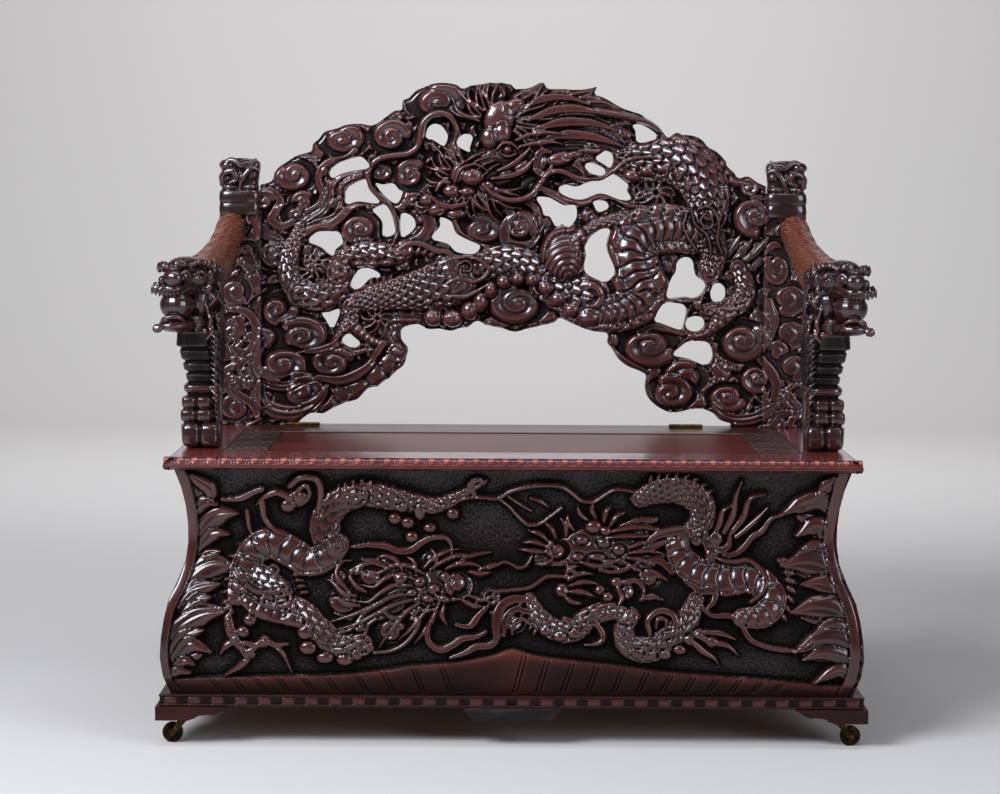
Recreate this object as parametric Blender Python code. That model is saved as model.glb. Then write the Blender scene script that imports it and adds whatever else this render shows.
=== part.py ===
"""A carved hall bench with a lift-up seat over a storage chest, on four casters.

Metres, +Z up, +X to the right, the front towards -Y. The origin is on the floor, under the middle
of the bench. Side is -1 for the left of the bench, seen from the front, and +1 for the right.
"""

import math

import bmesh
import bpy
import numpy as np
from mathutils import Vector
from mathutils.geometry import delaunay_2d_cdt

# Driving dimensions
WIDTH_OVER_FEET = 1.22
DEPTH_OVER_FEET = 0.62
CASTER_HEIGHT = 0.0445
FOOT_HEIGHT = 0.0237
PLINTH_HEIGHT = 0.020
CHEST_HEIGHT = 0.3844
SEAT_THICKNESS = 0.022
BACK_HEIGHT = 0.6565
BACK_SET_IN = 0.050
GAP = 0.0003
SPLIT_GAP = 0.0008
CUT_OVERRUN = 0.004

# Plinth: a moulded frame under the chest
PLINTH_SET_IN = 0.005
PLINTH_RAIL_WIDTH = 0.055
BEAD_HEIGHT = 0.0042
BEAD_DEPTH = 0.003

# Chest: bombé front and ends, a flat back, boards of one thickness
CHEST_SET_IN = 0.008
BOMBE_DEPTH = 0.0445
BOARD = 0.022
BACK_BOARD = 0.016
BOTTOM_BOARD = 0.012
CHEST_LEVELS = 13
PROFILE_STEPS = 52
BOMBE_SHARES = (
    (0.0, 0.36),
    (0.09, 0.08),
    (0.21, 0.0),
    (0.41, 0.28),
    (0.56, 0.84),
    (0.70, 1.0),
    (0.87, 0.86),
    (1.0, 0.52),
)

# Seat: two fixed ends, a fixed rear rail and the lid between them
SEAT_OVERHANG = 0.0183
SEAT_END_WIDTH = 0.0915
REAR_RAIL_WIDTH = 0.0465
NOSE_DEPTH = 0.012
NOSE_SHARES = ((0.0, 1.0), (0.18, 0.75), (0.38, 0.25), (0.6, 0.0), (0.85, 0.05), (1.0, 0.35))
FRONT_RAIL_WIDTH = 0.109
LID_BACK_RAIL_WIDTH = 0.104
STILE_WIDTH = 0.0745
PANEL_SUNK = 0.002
EDGE_EASE = 0.0012
BATTEN_WIDTH = 0.045
BATTEN_THICKNESS = 0.016
BATTEN_END_GRIP = 0.030
BATTEN_PLACE_SHARE = 0.5

# Carving of the chest front: a sunk ground inside a plain frame, with the main forms standing on it
FRONT_GROUND_DEPTH = 0.008
FRONT_RELIEF_DEPTH = 0.015
FRONT_FRAME_WIDTH = 0.020
FRONT_TOP_BAND_HEIGHT = 0.010
FRONT_FRAME_SLOPE_WIDTH = 0.005
FRONT_POINT_GAP = 0.026

# Brass butt hinges on top of the seat, placed as shares of the way from the middle to the uprights
HINGE_LEFT_SHARE = -0.830
HINGE_RIGHT_SHARE = 0.693
HINGE_LENGTH = 0.062
KNUCKLES = 5
KNUCKLE_RADIUS = 0.0034
HINGE_PIN_RADIUS = 0.0016
HINGE_PLAY = 0.0003
TONGUE_OVERLAP_WIDTH = 0.0006
PIN_HEAD_RADIUS = 0.0026
PIN_HEAD_THICKNESS = 0.0012
LEAF_WIDTH = 0.0195
LEAF_THICKNESS = 0.0014
ROUND_SIDES = 16

# Bracket feet and the block under the middle of the front
FOOT_LENGTH = 0.125
FOOT_WING_THICKNESS = 0.030
FOOT_BLOCK = 0.066
FOOT_SHARES = (
    (0.0, 0.0),
    (0.42, 0.0),
    (0.50, 0.10),
    (0.60, 0.36),
    (0.70, 0.42),
    (0.80, 0.40),
    (0.90, 0.66),
    (1.0, 1.0),
)
CENTRE_BRACKET_WIDTH = 0.168
CENTRE_BRACKET_THICKNESS = 0.026
CENTRE_BRACKET_SHARES = ((-1.0, 1.0), (-0.93, 0.62), (-0.80, 0.0), (0.80, 0.0), (0.93, 0.62), (1.0, 1.0))

# Casters
CASTER_FROM_SIDE = 0.044
CASTER_FROM_FRONT = 0.035
WHEEL_RADIUS = 0.0178
WHEEL_WIDTH = 0.013
WHEEL_TRAIL = 0.018
WHEEL_SHARES = ((0.50, 1.0), (0.60, 0.6), (1.0, 0.45))
WHEEL_SIDES = 24
AXLE_RADIUS = 0.0022
AXLE_HEAD_RADIUS = 0.0033
AXLE_HEAD_THICKNESS = 0.0009
CASTER_PLAY = 0.0003
CHEEK_THICKNESS = 0.0022
CHEEK_FOOT_RADIUS = 0.0062
CHEEK_TOP_RADIUS = 0.0085
CROWN_RADIUS = 0.0125
CROWN_THICKNESS = 0.003
STEM_RADIUS = 0.003
SLEEVE_WALL = 0.0019
SLEEVE_LENGTH = 0.016
FLANGE_RADIUS = 0.0165
FLANGE_THICKNESS = 0.0022

# Back: a pierced and carved panel between two uprights
PANEL_THICKNESS = 0.022
RELIEF_DEPTH = 0.040
POST_WIDTH = 0.078
POST_DEPTH = 0.0475
POST_HEIGHT = 0.5108
POST_SHARES = (
    (0.0, 0.96, 0.90),
    (0.04, 0.90, 0.86),
    (0.70, 0.90, 0.86),
    (0.775, 0.86, 0.84),
    (0.79, 1.0, 1.0),
    (0.825, 0.98, 0.98),
    (0.84, 0.84, 0.84),
    (0.855, 1.0, 1.0),
    (0.885, 0.96, 0.96),
    (0.90, 0.84, 0.86),
    (0.935, 1.04, 1.0),
    (0.985, 1.0, 0.96),
    (1.0, 0.80, 0.76),
)
POST_CORNER_SHARE = 0.22

# Arms: each a lion-dog whose breast stands on the seat and whose neck runs back to the upright
ARM_LID_CLEARANCE = 0.0035
HEAD_INSIDE_SEAT_END = 0.0242
HEAD_BEHIND_SEAT_FRONT = 0.1364
HEAD_ABOVE_SEAT = 0.2795
HEAD_TURN_DEGREES = 14.0
HEAD_WIDTH = 0.106
HEAD_DEPTH = 0.2364
HEAD_VOXEL_WIDTH = 0.0065
HEAD_DECIMATE_SHARE = 0.22
BALL_RADIUS = 0.0285
BREAST_HEIGHT = 0.2045
BREAST_WIDTH = 0.081
BREAST_DEPTH = 0.128
NECK_WIDTH = 0.056
NECK_REAR_HEIGHT = 0.379
NECK_FRONT_HEIGHT = 0.302
NECK_HINGE_ZONE_DEPTH = 0.0627

# The pixel frame of the back, as the carver's drawing: pixels across and down, in a front view
PX_BACK_MIDDLE = 513.0
PX_BACK_WIDTH = 584.9
PX_BACK_TOP = 82.0
PX_BACK_FOOT = 426.2
PX_TILT = 0.0057
PX_TAPER = 3.4e-5
PX_LEVEL = 255.0

# Outline of the pierced back, in pixels of that frame, clockwise from the left upright
PX_CREST = (
    (262, 184), (272, 180), (275, 172), (287, 161), (300, 154), (312, 150), (313, 144), (325, 131),
    (337, 128), (347, 124), (362, 123), (370, 125), (378, 122), (385, 117), (395, 110), (402, 109),
    (403, 100), (416, 90), (430, 84), (445, 82), (457, 84), (463, 88), (470, 85), (496, 81), (512, 84),
    (515, 88), (530, 87), (544, 82), (548, 88), (575, 89), (597, 86), (595, 93), (610, 100), (631, 110),
    (648, 118), (662, 129), (668, 137), (677, 132), (693, 135), (702, 139), (718, 152), (727, 165),
    (738, 178), (749, 176), (758, 182), (769, 187),
)
PX_UNDERSIDE = (
    (732, 424), (720, 420), (713, 413), (700, 409), (687, 411), (668, 412), (658, 407), (649, 398),
    (646, 387), (647, 376), (640, 371), (628, 366), (618, 358), (608, 343), (609, 338), (607, 333),
    (590, 330), (572, 323), (560, 318), (555, 322), (540, 326), (527, 329), (515, 332), (502, 328),
    (487, 325), (477, 321), (461, 328), (440, 329), (418, 324), (404, 327), (400, 336), (408, 349),
    (407, 354), (404, 365), (390, 378), (384, 381), (377, 387), (369, 388), (358, 399), (342, 404),
    (332, 409), (322, 414), (305, 417), (297, 424),
)
# The openings cut through it
PX_PIERCINGS = (
    ((329, 174), (339, 162), (358, 156), (370, 165), (367, 169), (350, 171), (333, 178)),
    ((346, 204), (346, 189), (358, 181), (367, 181), (378, 199), (366, 203)),
    ((375, 183), (397, 185), (403, 192), (397, 203), (386, 197)),
    ((401, 214), (409, 214), (416, 224), (407, 235), (400, 234)),
    ((372, 210), (385, 204), (393, 218), (394, 234), (384, 236), (381, 220)),
    ((308, 242), (315, 233), (339, 232), (343, 242), (332, 256), (320, 247)),
    ((426, 138), (428, 127), (440, 124), (448, 136), (444, 145), (433, 139)),
    ((457, 140), (465, 133), (473, 137), (471, 152), (463, 150)),
    ((440, 217), (451, 224), (465, 238), (480, 245), (473, 254), (457, 252), (432, 238)),
    ((537, 197), (557, 201), (576, 205), (575, 224), (557, 227), (542, 210)),
    ((559, 188), (577, 186), (609, 176), (629, 184), (632, 199), (612, 195), (577, 199)),
    ((594, 201), (608, 202), (606, 211), (596, 209)),
    ((596, 158), (606, 150), (614, 157), (610, 168)),
    ((585, 165), (590, 162), (606, 170), (599, 176), (589, 172)),
    ((633, 125), (645, 124), (657, 135), (643, 142), (633, 136)),
    ((585, 246), (604, 228), (611, 230), (608, 250), (616, 273), (603, 282), (585, 270)),
    ((677, 263), (688, 257), (697, 269), (706, 285), (698, 298), (669, 298), (670, 286)),
    ((712, 287), (720, 283), (727, 292), (720, 303), (712, 299)),
    ((663, 304), (676, 303), (686, 310), (682, 330), (656, 320)),
    ((687, 318), (698, 316), (706, 323), (697, 332), (687, 330)),
    ((675, 355), (692, 341), (709, 343), (712, 364), (691, 360)),
    ((352, 288), (356, 273), (370, 268), (380, 275), (371, 279), (360, 288)),
    ((321, 313), (339, 309), (337, 322), (331, 329)),
    ((341, 342), (352, 335), (360, 344), (350, 348)),
)
# Main forms carved on it: runs of (across, down, half width), each with its height share
PX_DRAGON = (
    (1.0, ((625, 168, 19), (650, 160, 23), (680, 160, 25), (703, 180, 25), (710, 208, 25), (700, 233, 24))),
    (0.95, ((672, 235, 25), (642, 238, 26), (631, 258, 27), (637, 282, 29), (612, 306, 28), (583, 298, 25))),
    (0.9, ((560, 285, 22), (536, 272, 18), (512, 262, 15), (492, 262, 16))),
    (1.0, ((470, 275, 24), (440, 282, 21), (402, 290, 17), (370, 293, 12), (352, 306, 10), (346, 328, 7))),
    (0.8, ((450, 260, 14), (425, 252, 14), (398, 250, 14), (370, 251, 14), (350, 262, 14), (340, 280, 14))),
    (0.8, ((325, 294, 15), (301, 295, 15), (289, 278, 14), (291, 256, 13), (300, 228, 11), (318, 190, 8))),
    (0.7, ((640, 210, 8), (612, 214, 8), (586, 222, 8))),
    (0.9, ((720, 250, 12), (716, 272, 11), (708, 300, 12), (698, 335, 8))),
    (0.8, ((744, 272, 10), (744, 298, 11), (728, 314, 10), (706, 326, 9))),
    (1.0, ((435, 205, 12), (462, 208, 16), (486, 196, 12))),
    (1.15, ((460, 180, 20), (476, 158, 18), (497, 128, 20))),
    (0.85, ((510, 124, 20), (540, 118, 15), (566, 110, 10))),
    (0.85, ((492, 168, 18), (505, 188, 18), (526, 202, 14), (548, 200, 9))),
    (0.75, ((550, 166, 12), (575, 160, 13), (604, 158, 9))),
    (0.8, ((562, 130, 12), (596, 118, 13), (640, 118, 9), (664, 132, 6))),
    (0.75, ((432, 120, 8), (416, 144, 10), (396, 158, 9), (372, 166, 7))),
    (0.75, ((636, 192, 12), (660, 204, 17), (690, 198, 14))),
    (0.7, ((384, 310, 12), (420, 313, 13), (456, 315, 13), (486, 308, 12))),
    (0.65, ((396, 322, 10), (372, 330, 13), (348, 340, 9))),
    (0.35, ((268, 194, 14), (266, 250, 12), (268, 320, 12), (266, 412, 14))),
    (0.35, ((762, 196, 12), (764, 250, 12), (764, 320, 12), (762, 412, 14))),
)
PX_BALL = (563, 254, 27)
PX_CLOUDS = (
    (295, 174, 19), (346, 138, 18), (391, 136, 18), (440, 100, 22), (303, 208, 15), (273, 252, 15),
    (303, 337, 20), (331, 363, 22), (287, 364, 18), (305, 391, 20), (340, 393, 14), (375, 375, 12),
    (398, 352, 10), (411, 174, 16), (361, 226, 15), (482, 230, 17), (520, 225, 20), (515, 300, 29),
    (480, 98, 20), (518, 94, 14),
    (652, 345, 25), (683, 376, 20), (672, 394, 16), (728, 396, 20), (742, 341, 20), (668, 264, 10),
    (425, 227, 10), (266, 300, 16), (745, 222, 16),
)
CLOUD_HEIGHT_SHARE = 0.62
CLOUD_SHOULDER_SHARE = 0.72
CLOUD_POINTS = 6
PX_FORM_STEP = 4.0
RUN_STEPS = 12
BACK_POINT_GAP = 0.022
LEAST_POINT_GAP = 0.0075

# The pixel frame of the chest front, in the same view: its belly, and its upper and lower edge
PX_FRONT_MIDDLE = 517.7
PX_FRONT_WIDTH = 706.0
PX_FRONT_TOP = 470.4
PX_FRONT_FOOT = 695.4
DRAWING_DISTANCE = 4.29
PX_FRONT_LEAF = (
    (140, 680), (185, 678), (244, 677), (291, 676), (339, 675), (386, 670), (410, 666), (457, 662), (492, 655),
    (512, 649), (535, 655), (564, 659), (613, 665), (665, 672), (712, 676), (760, 679), (807, 684), (880, 688),
)
PX_FRONT_DRAGONS = (
    (1.0, ((470, 491, 5), (454, 499, 8), (436, 506, 10), (412, 503, 12), (390, 499, 13), (366, 495, 14))),
    (1.0, ((356, 496, 14), (337, 504, 15), (326, 519, 16), (326, 536, 16), (333, 549, 15))),
    (1.0, ((238, 594, 12), (243, 573, 14), (252, 553, 16), (270, 543, 16), (290, 551, 16), (308, 561, 15),
           (326, 557, 14), (337, 545, 13))),
    (1.0, ((248, 592, 9), (276, 603, 12), (300, 611, 13), (318, 629, 14), (340, 646, 13), (362, 645, 12))),
    (1.0, ((248, 566, 11), (264, 578, 13), (280, 590, 12))),
    (1.0, ((640, 499, 10), (658, 492, 13), (680, 491, 15), (700, 503, 15), (702, 520, 14), (692, 534, 12))),
    (1.0, ((676, 540, 12), (683, 560, 14), (703, 575, 16), (726, 580, 16), (748, 577, 16), (767, 588, 15),
           (773, 602, 14), (762, 616, 13), (742, 618, 10))),
    (1.0, ((696, 600, 10), (686, 622, 13), (668, 640, 14), (648, 650, 14), (629, 645, 13), (624, 628, 11))),
    (1.0, ((530, 599, 8), (540, 618, 11), (556, 630, 12), (574, 630, 12), (592, 616, 11), (612, 611, 9))),
    (1.05, ((386, 608, 11), (404, 594, 17), (430, 588, 20), (462, 588, 15))),
    (1.05, ((540, 556, 11), (560, 554, 15), (590, 545, 19), (615, 550, 16), (640, 552, 10))),
    (0.7, ((410, 572, 8), (392, 568, 10), (372, 566, 9), (350, 572, 7))),
    (0.7, ((402, 610, 8), (382, 616, 11), (358, 618, 10), (336, 612, 7))),
    (0.7, ((600, 536, 8), (620, 530, 10), (640, 524, 8), (656, 520, 6))),
    (0.7, ((606, 560, 8), (628, 562, 9), (648, 564, 9), (664, 558, 6))),
    (0.8, ((244, 604, 9), (278, 618, 10), (298, 622, 8))),
    (0.75, ((226, 618, 8), (240, 636, 11), (262, 648, 12), (288, 652, 8))),
    (0.8, ((712, 556, 11), (724, 534, 14), (738, 508, 11), (752, 492, 7))),
    (0.6, ((728, 553, 7), (752, 538, 8), (772, 518, 7), (798, 509, 5))),
    (0.8, ((640, 554, 8), (658, 538, 9), (694, 531, 8))),
    (0.6, ((496, 640, 7), (501, 612, 9), (522, 602, 8))),
    (0.7, ((592, 622, 7), (602, 636, 8), (588, 645, 6))),
    (0.75, ((700, 634, 10), (722, 644, 8), (740, 656, 5))),
    (0.55, ((352, 547, 6), (384, 546, 7), (412, 549, 6), (444, 539, 6), (452, 556, 5))),
    (0.5, ((430, 624, 6), (440, 648, 8), (466, 640, 7), (486, 632, 5))),
    (0.55, ((484, 484, 7), (520, 490, 5), (562, 487, 5), (588, 501, 5), (628, 491, 6))),
)
PX_FRONT_ROUNDS = (
    (298, 498, 12), (345, 600, 15), (392, 632, 14), (426, 516, 15), (402, 518, 9), (553, 537, 15), (492, 594, 10),
    (515, 622, 12), (652, 628, 15), (714, 541, 11), (606, 590, 11), (565, 592, 8), (632, 590, 9), (372, 575, 11),
    (308, 648, 10), (335, 659, 10), (360, 654, 9), (660, 656, 9), (682, 649, 9), (640, 578, 9), (450, 560, 8),
)
PX_FRONT_LEAVES = (
    (0.85, ((191, 480, 6), (202, 488, 7), (211, 496, 5))),
    (0.85, ((197, 549, 6), (206, 528, 10), (219, 516, 9), (238, 513, 3))),
    (0.85, ((181, 593, 7), (196, 574, 11), (214, 565, 10), (238, 568, 3))),
    (0.85, ((179, 603, 6), (195, 590, 9), (220, 584, 4))),
    (0.85, ((178, 632, 6), (193, 612, 9), (222, 608, 4))),
    (0.85, ((167, 654, 7), (182, 629, 11), (202, 616, 8), (224, 612, 3))),
    (0.85, ((172, 662, 7), (188, 646, 9), (211, 652, 4))),
    (0.85, ((838, 480, 6), (828, 488, 7), (817, 497, 4))),
    (0.85, ((833, 514, 6), (820, 501, 9), (802, 505, 8), (783, 513, 3))),
    (0.85, ((832, 550, 6), (824, 529, 9), (812, 527, 8), (796, 536, 4))),
    (0.85, ((850, 593, 7), (836, 572, 12), (812, 561, 11), (781, 566, 3))),
    (0.85, ((852, 604, 6), (838, 590, 9), (820, 583, 8), (802, 585, 3))),
    (0.85, ((857, 632, 7), (842, 612, 11), (818, 606, 10), (791, 613, 3))),
    (0.85, ((859, 646, 6), (848, 632, 9), (830, 627, 8), (813, 635, 3))),
    (0.85, ((861, 660, 7), (846, 643, 10), (820, 640, 9), (794, 653, 3))),
    (0.85, ((856, 676, 6), (842, 661, 8), (822, 655, 7), (803, 661, 3))),
)

# Levels and half sizes worked out from the sizes above
HALF_WIDTH = WIDTH_OVER_FEET / 2
HALF_DEPTH = DEPTH_OVER_FEET / 2
BACK_WIDTH = WIDTH_OVER_FEET - 2 * BACK_SET_IN
Z_FOOT = CASTER_HEIGHT
Z_PLINTH = Z_FOOT + FOOT_HEIGHT + GAP
Z_CHEST = Z_PLINTH + PLINTH_HEIGHT + GAP
Z_SEAT = Z_CHEST + CHEST_HEIGHT + GAP
SEAT_TOP = Z_SEAT + SEAT_THICKNESS
PLINTH_HALF_WIDTH = HALF_WIDTH - PLINTH_SET_IN
PLINTH_HALF_DEPTH = HALF_DEPTH - PLINTH_SET_IN
CHEST_HALF_WIDTH = HALF_WIDTH - CHEST_SET_IN
CHEST_HALF_DEPTH = HALF_DEPTH - CHEST_SET_IN
CHEST_BACK_Y = CHEST_HALF_DEPTH
SEAT_HALF_WIDTH = CHEST_HALF_WIDTH - BOMBE_DEPTH * BOMBE_SHARES[-1][1] + SEAT_OVERHANG
SEAT_FRONT_Y = -(CHEST_HALF_DEPTH - BOMBE_DEPTH * BOMBE_SHARES[-1][1]) - SEAT_OVERHANG + SPLIT_GAP
SEAT_BACK_Y = HALF_DEPTH
SEAT_END_INNER_X = SEAT_HALF_WIDTH - SEAT_END_WIDTH
LID_HALF_WIDTH = SEAT_END_INNER_X - SPLIT_GAP
REAR_RAIL_Y = SEAT_BACK_Y - REAR_RAIL_WIDTH
LID_BACK_Y = REAR_RAIL_Y - SPLIT_GAP
HINGE_Y = (REAR_RAIL_Y + LID_BACK_Y) / 2
HINGE_Z = SEAT_TOP + GAP + KNUCKLE_RADIUS
PANEL_BACK_Y = HALF_DEPTH
PANEL_FRONT_Y = PANEL_BACK_Y - PANEL_THICKNESS
POST_FRONT_Y = HALF_DEPTH - POST_DEPTH
POST_OUTER_X = BACK_WIDTH / 2
POST_INNER_X = POST_OUTER_X - POST_WIDTH
ARM_INNER_X = SEAT_END_INNER_X + ARM_LID_CLEARANCE
HEAD_X = SEAT_HALF_WIDTH - HEAD_INSIDE_SEAT_END
HEAD_Y = SEAT_FRONT_Y + HEAD_BEHIND_SEAT_FRONT
HEAD_BACK_Y = SEAT_FRONT_Y + HEAD_DEPTH
BREAST_BACK_Y = HEAD_BACK_Y - GAP
BREAST_TOP = SEAT_TOP + BREAST_HEIGHT
NECK_REAR_Y = POST_FRONT_Y - GAP
NECK_BEHIND_LID_Y = LID_BACK_Y - NECK_HINGE_ZONE_DEPTH


def clear_scene():
    for obj in list(bpy.data.objects):
        bpy.data.objects.remove(obj, do_unlink=True)
    for mesh in list(bpy.data.meshes):
        bpy.data.meshes.remove(mesh)


def make_material(name, colour, roughness, metallic=0.0):
    material = bpy.data.materials.new(name)
    material.use_nodes = True
    shader = material.node_tree.nodes["Principled BSDF"]
    shader.inputs["Base Color"].default_value = (*colour, 1.0)
    shader.inputs["Roughness"].default_value = roughness
    shader.inputs["Metallic"].default_value = metallic
    material.diffuse_color = (*colour, 1.0)
    return material


def new_object(name, material, verts, faces, smooth_degrees=None):
    """One closed mesh object, its faces turned outwards."""
    mesh = bpy.data.meshes.new(name)
    mesh.from_pydata([tuple(v) for v in verts], [], [tuple(f) for f in faces])
    work = bmesh.new()
    work.from_mesh(mesh)
    bmesh.ops.recalc_face_normals(work, faces=work.faces)
    work.to_mesh(mesh)
    work.free()
    mesh.materials.append(material)
    if smooth_degrees is not None:
        mesh.shade_smooth()
        mesh.set_sharp_from_angle(angle=math.radians(smooth_degrees))
    obj = bpy.data.objects.new(name, mesh)
    bpy.context.scene.collection.objects.link(obj)
    return obj


def copy_object(source, name, flip_x=False, flip_y=False):
    """Another piece of the same shape, mirrored across the bench where asked."""
    mesh = source.data.copy()
    mesh.name = name
    turn = Vector((-1 if flip_x else 1, -1 if flip_y else 1, 1))
    for vertex in mesh.vertices:
        vertex.co = vertex.co * turn
    if flip_x != flip_y:
        mesh.flip_normals()
    obj = bpy.data.objects.new(name, mesh)
    bpy.context.scene.collection.objects.link(obj)
    return obj


def skin(name, material, rings, smooth_degrees=None):
    """A closed body through rings of as many points each, with flat ends."""
    count = len(rings[0])
    verts = [point for ring in rings for point in ring]
    faces = []
    for level in range(len(rings) - 1):
        low = level * count
        high = low + count
        for i in range(count):
            j = (i + 1) % count
            faces.append((low + i, low + j, high + j, high + i))
    last = (len(rings) - 1) * count
    faces.append(range(count - 1, -1, -1))
    faces.append(range(last, last + count))
    return new_object(name, material, verts, faces, smooth_degrees)


def box(name, material, low, high, ease=None):
    """A board or block between two corners, with its edges eased where asked."""
    rings = []
    for z in (low[2], high[2]):
        rings.append([(low[0], low[1], z), (high[0], low[1], z), (high[0], high[1], z), (low[0], high[1], z)])
    obj = skin(name, material, rings)
    if ease is not None:
        bevel = obj.modifiers.new("eased_edges", "BEVEL")
        bevel.width = ease
        bevel.segments = 1
        bevel.limit_method = "NONE"
    return obj


def turned(name, material, profile, centre, axis, sides=ROUND_SIDES):
    """A profile of (radius, along) points turned about an axis. A closed profile off the axis is a ring."""
    first = Vector((0, 1, 0)) if abs(axis[1]) < abs(axis[2]) else Vector((0, 0, 1))
    axis = Vector(axis)
    across = axis.cross(first).normalized()
    up = axis.cross(across).normalized()
    centre = Vector(centre)
    rings = []
    for radius, along in profile:
        ring = []
        for i in range(sides):
            angle = 2 * math.pi * i / sides
            ring.append(centre + axis * along + (across * math.cos(angle) + up * math.sin(angle)) * radius)
        rings.append(ring)
    return rings


def turned_solid(name, material, profile, centre, axis, sides=ROUND_SIDES):
    return skin(name, material, turned(name, material, profile, centre, axis, sides), smooth_degrees=40)


def turned_ring(name, material, profile, centre, axis, sides=ROUND_SIDES):
    rings = turned(name, material, profile, centre, axis, sides)
    verts = [point for ring in rings for point in ring]
    faces = []
    for level in range(len(rings)):
        low = level * sides
        high = ((level + 1) % len(rings)) * sides
        for i in range(sides):
            j = (i + 1) % sides
            faces.append((low + i, low + j, high + j, high + i))
    return new_object(name, material, verts, faces, smooth_degrees=40)


def combine(obj, other, operation):
    """Joins or cuts with another closed body, which stays as a hidden helper."""
    modifier = obj.modifiers.new(operation.lower(), "BOOLEAN")
    modifier.object = other
    modifier.operation = operation
    modifier.solver = "EXACT"
    other.hide_render = True
    other.display_type = "WIRE"
    return obj


def curve_through(points, count):
    """A smooth line through the points, which returns count of its points, evenly by parameter."""
    points = np.asarray(points, float)
    ends = np.vstack([2 * points[0] - points[1], points, 2 * points[-1] - points[-2]])
    out = []
    for t in np.linspace(0, len(points) - 1, count):
        i = min(int(t), len(points) - 2)
        u = t - i
        a, b, c, d = ends[i : i + 4]
        out.append(0.5 * ((2 * b) + (c - a) * u + (2 * a - 5 * b + 4 * c - d) * u**2 + (3 * b - a - 3 * c + d) * u**3))
    return np.array(out)


def bombe_inset(height_share):
    """How far the chest's outer face lies inside its belly at this share of its height."""
    line = curve_through(BOMBE_SHARES, PROFILE_STEPS)
    levels = np.linspace(0, 1, CHEST_LEVELS)
    insets = np.interp(levels, line[:, 0], line[:, 1]) * BOMBE_DEPTH
    return float(np.interp(height_share, levels, insets))


def chest_profile():
    """The section of a bombé board: (inset, z) up the outer face and down the inner one."""
    shares = np.linspace(0, 1, CHEST_LEVELS)
    outer = [(bombe_inset(s), Z_CHEST + s * CHEST_HEIGHT) for s in shares]
    return outer + [(inset + BOARD, z) for inset, z in reversed(outer)]


def mitred_run(name, material, profile, out_half, along, start, end, smooth_degrees=None):
    """A moulding or board whose section is (inset, z). along turns (distance along, distance out) to x and y."""
    rings = []
    for place in (start, end):
        rings.append([(*along(place(inset), out_half - inset), z) for inset, z in profile])
    return skin(name, material, rings, smooth_degrees)


def to_front(along, out):
    return (along, -out)


def to_back(along, out):
    return (along, out)


def to_left(along, out):
    return (-out, along)


def to_right(along, out):
    return (out, along)


def build_plinth(wood):
    """Four mitred rails, each with a bead above and below a sunk band."""
    top = Z_PLINTH + PLINTH_HEIGHT
    profile = (
        (BEAD_DEPTH / 3, Z_PLINTH),
        (0.0, Z_PLINTH + BEAD_HEIGHT / 2),
        (BEAD_DEPTH / 3, Z_PLINTH + BEAD_HEIGHT),
        (BEAD_DEPTH, Z_PLINTH + BEAD_HEIGHT),
        (BEAD_DEPTH, top - BEAD_HEIGHT),
        (BEAD_DEPTH / 3, top - BEAD_HEIGHT),
        (0.0, top - BEAD_HEIGHT / 2),
        (BEAD_DEPTH / 3, top),
        (PLINTH_RAIL_WIDTH, top),
        (PLINTH_RAIL_WIDTH, Z_PLINTH),
    )
    for name, half_out, half_along, along in (
        ("plinth_front_rail", PLINTH_HALF_DEPTH, PLINTH_HALF_WIDTH, to_front),
        ("plinth_back_rail", PLINTH_HALF_DEPTH, PLINTH_HALF_WIDTH, to_back),
        ("plinth_left_rail", PLINTH_HALF_WIDTH, PLINTH_HALF_DEPTH, to_left),
        ("plinth_right_rail", PLINTH_HALF_WIDTH, PLINTH_HALF_DEPTH, to_right),
    ):
        mitred_run(
            name,
            wood,
            profile,
            half_out,
            along,
            lambda inset, half=half_along: -(half - inset) + GAP,
            lambda inset, half=half_along: half - inset - GAP,
        )


def build_chest(wood, inside_wood):
    profile = chest_profile()
    for name, along in (("chest_left_end", to_left), ("chest_right_end", to_right)):
        mitred_run(
            name,
            wood,
            profile,
            CHEST_HALF_WIDTH,
            along,
            lambda inset: -(CHEST_HALF_DEPTH - inset) + GAP,
            lambda inset: CHEST_BACK_Y,
            smooth_degrees=35,
        )
    rings = []
    for share in np.linspace(0, 1, CHEST_LEVELS):
        half = CHEST_HALF_WIDTH - bombe_inset(share) - BOARD - GAP
        z = Z_CHEST + share * CHEST_HEIGHT
        rings.append(
            [
                (-half, CHEST_BACK_Y - BACK_BOARD, z),
                (half, CHEST_BACK_Y - BACK_BOARD, z),
                (half, CHEST_BACK_Y, z),
                (-half, CHEST_BACK_Y, z),
            ]
        )
    skin("chest_back_board", inside_wood, rings)
    at_top = BOTTOM_BOARD / CHEST_HEIGHT
    rings = []
    for share in (0.0, at_top):
        inset = bombe_inset(share) + BOARD + GAP
        half = CHEST_HALF_WIDTH - inset
        front = -(CHEST_HALF_DEPTH - inset)
        back = CHEST_BACK_Y - BACK_BOARD - GAP
        z = Z_CHEST + share * CHEST_HEIGHT
        rings.append([(-half, front, z), (half, front, z), (half, back, z), (-half, back, z)])
    skin("bottom_board", inside_wood, rings)


def nose_levels():
    """(z, inset) from the underside of the seat to its top."""
    return [(Z_SEAT + up * SEAT_THICKNESS, inset * NOSE_DEPTH) for up, inset in NOSE_SHARES]


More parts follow.
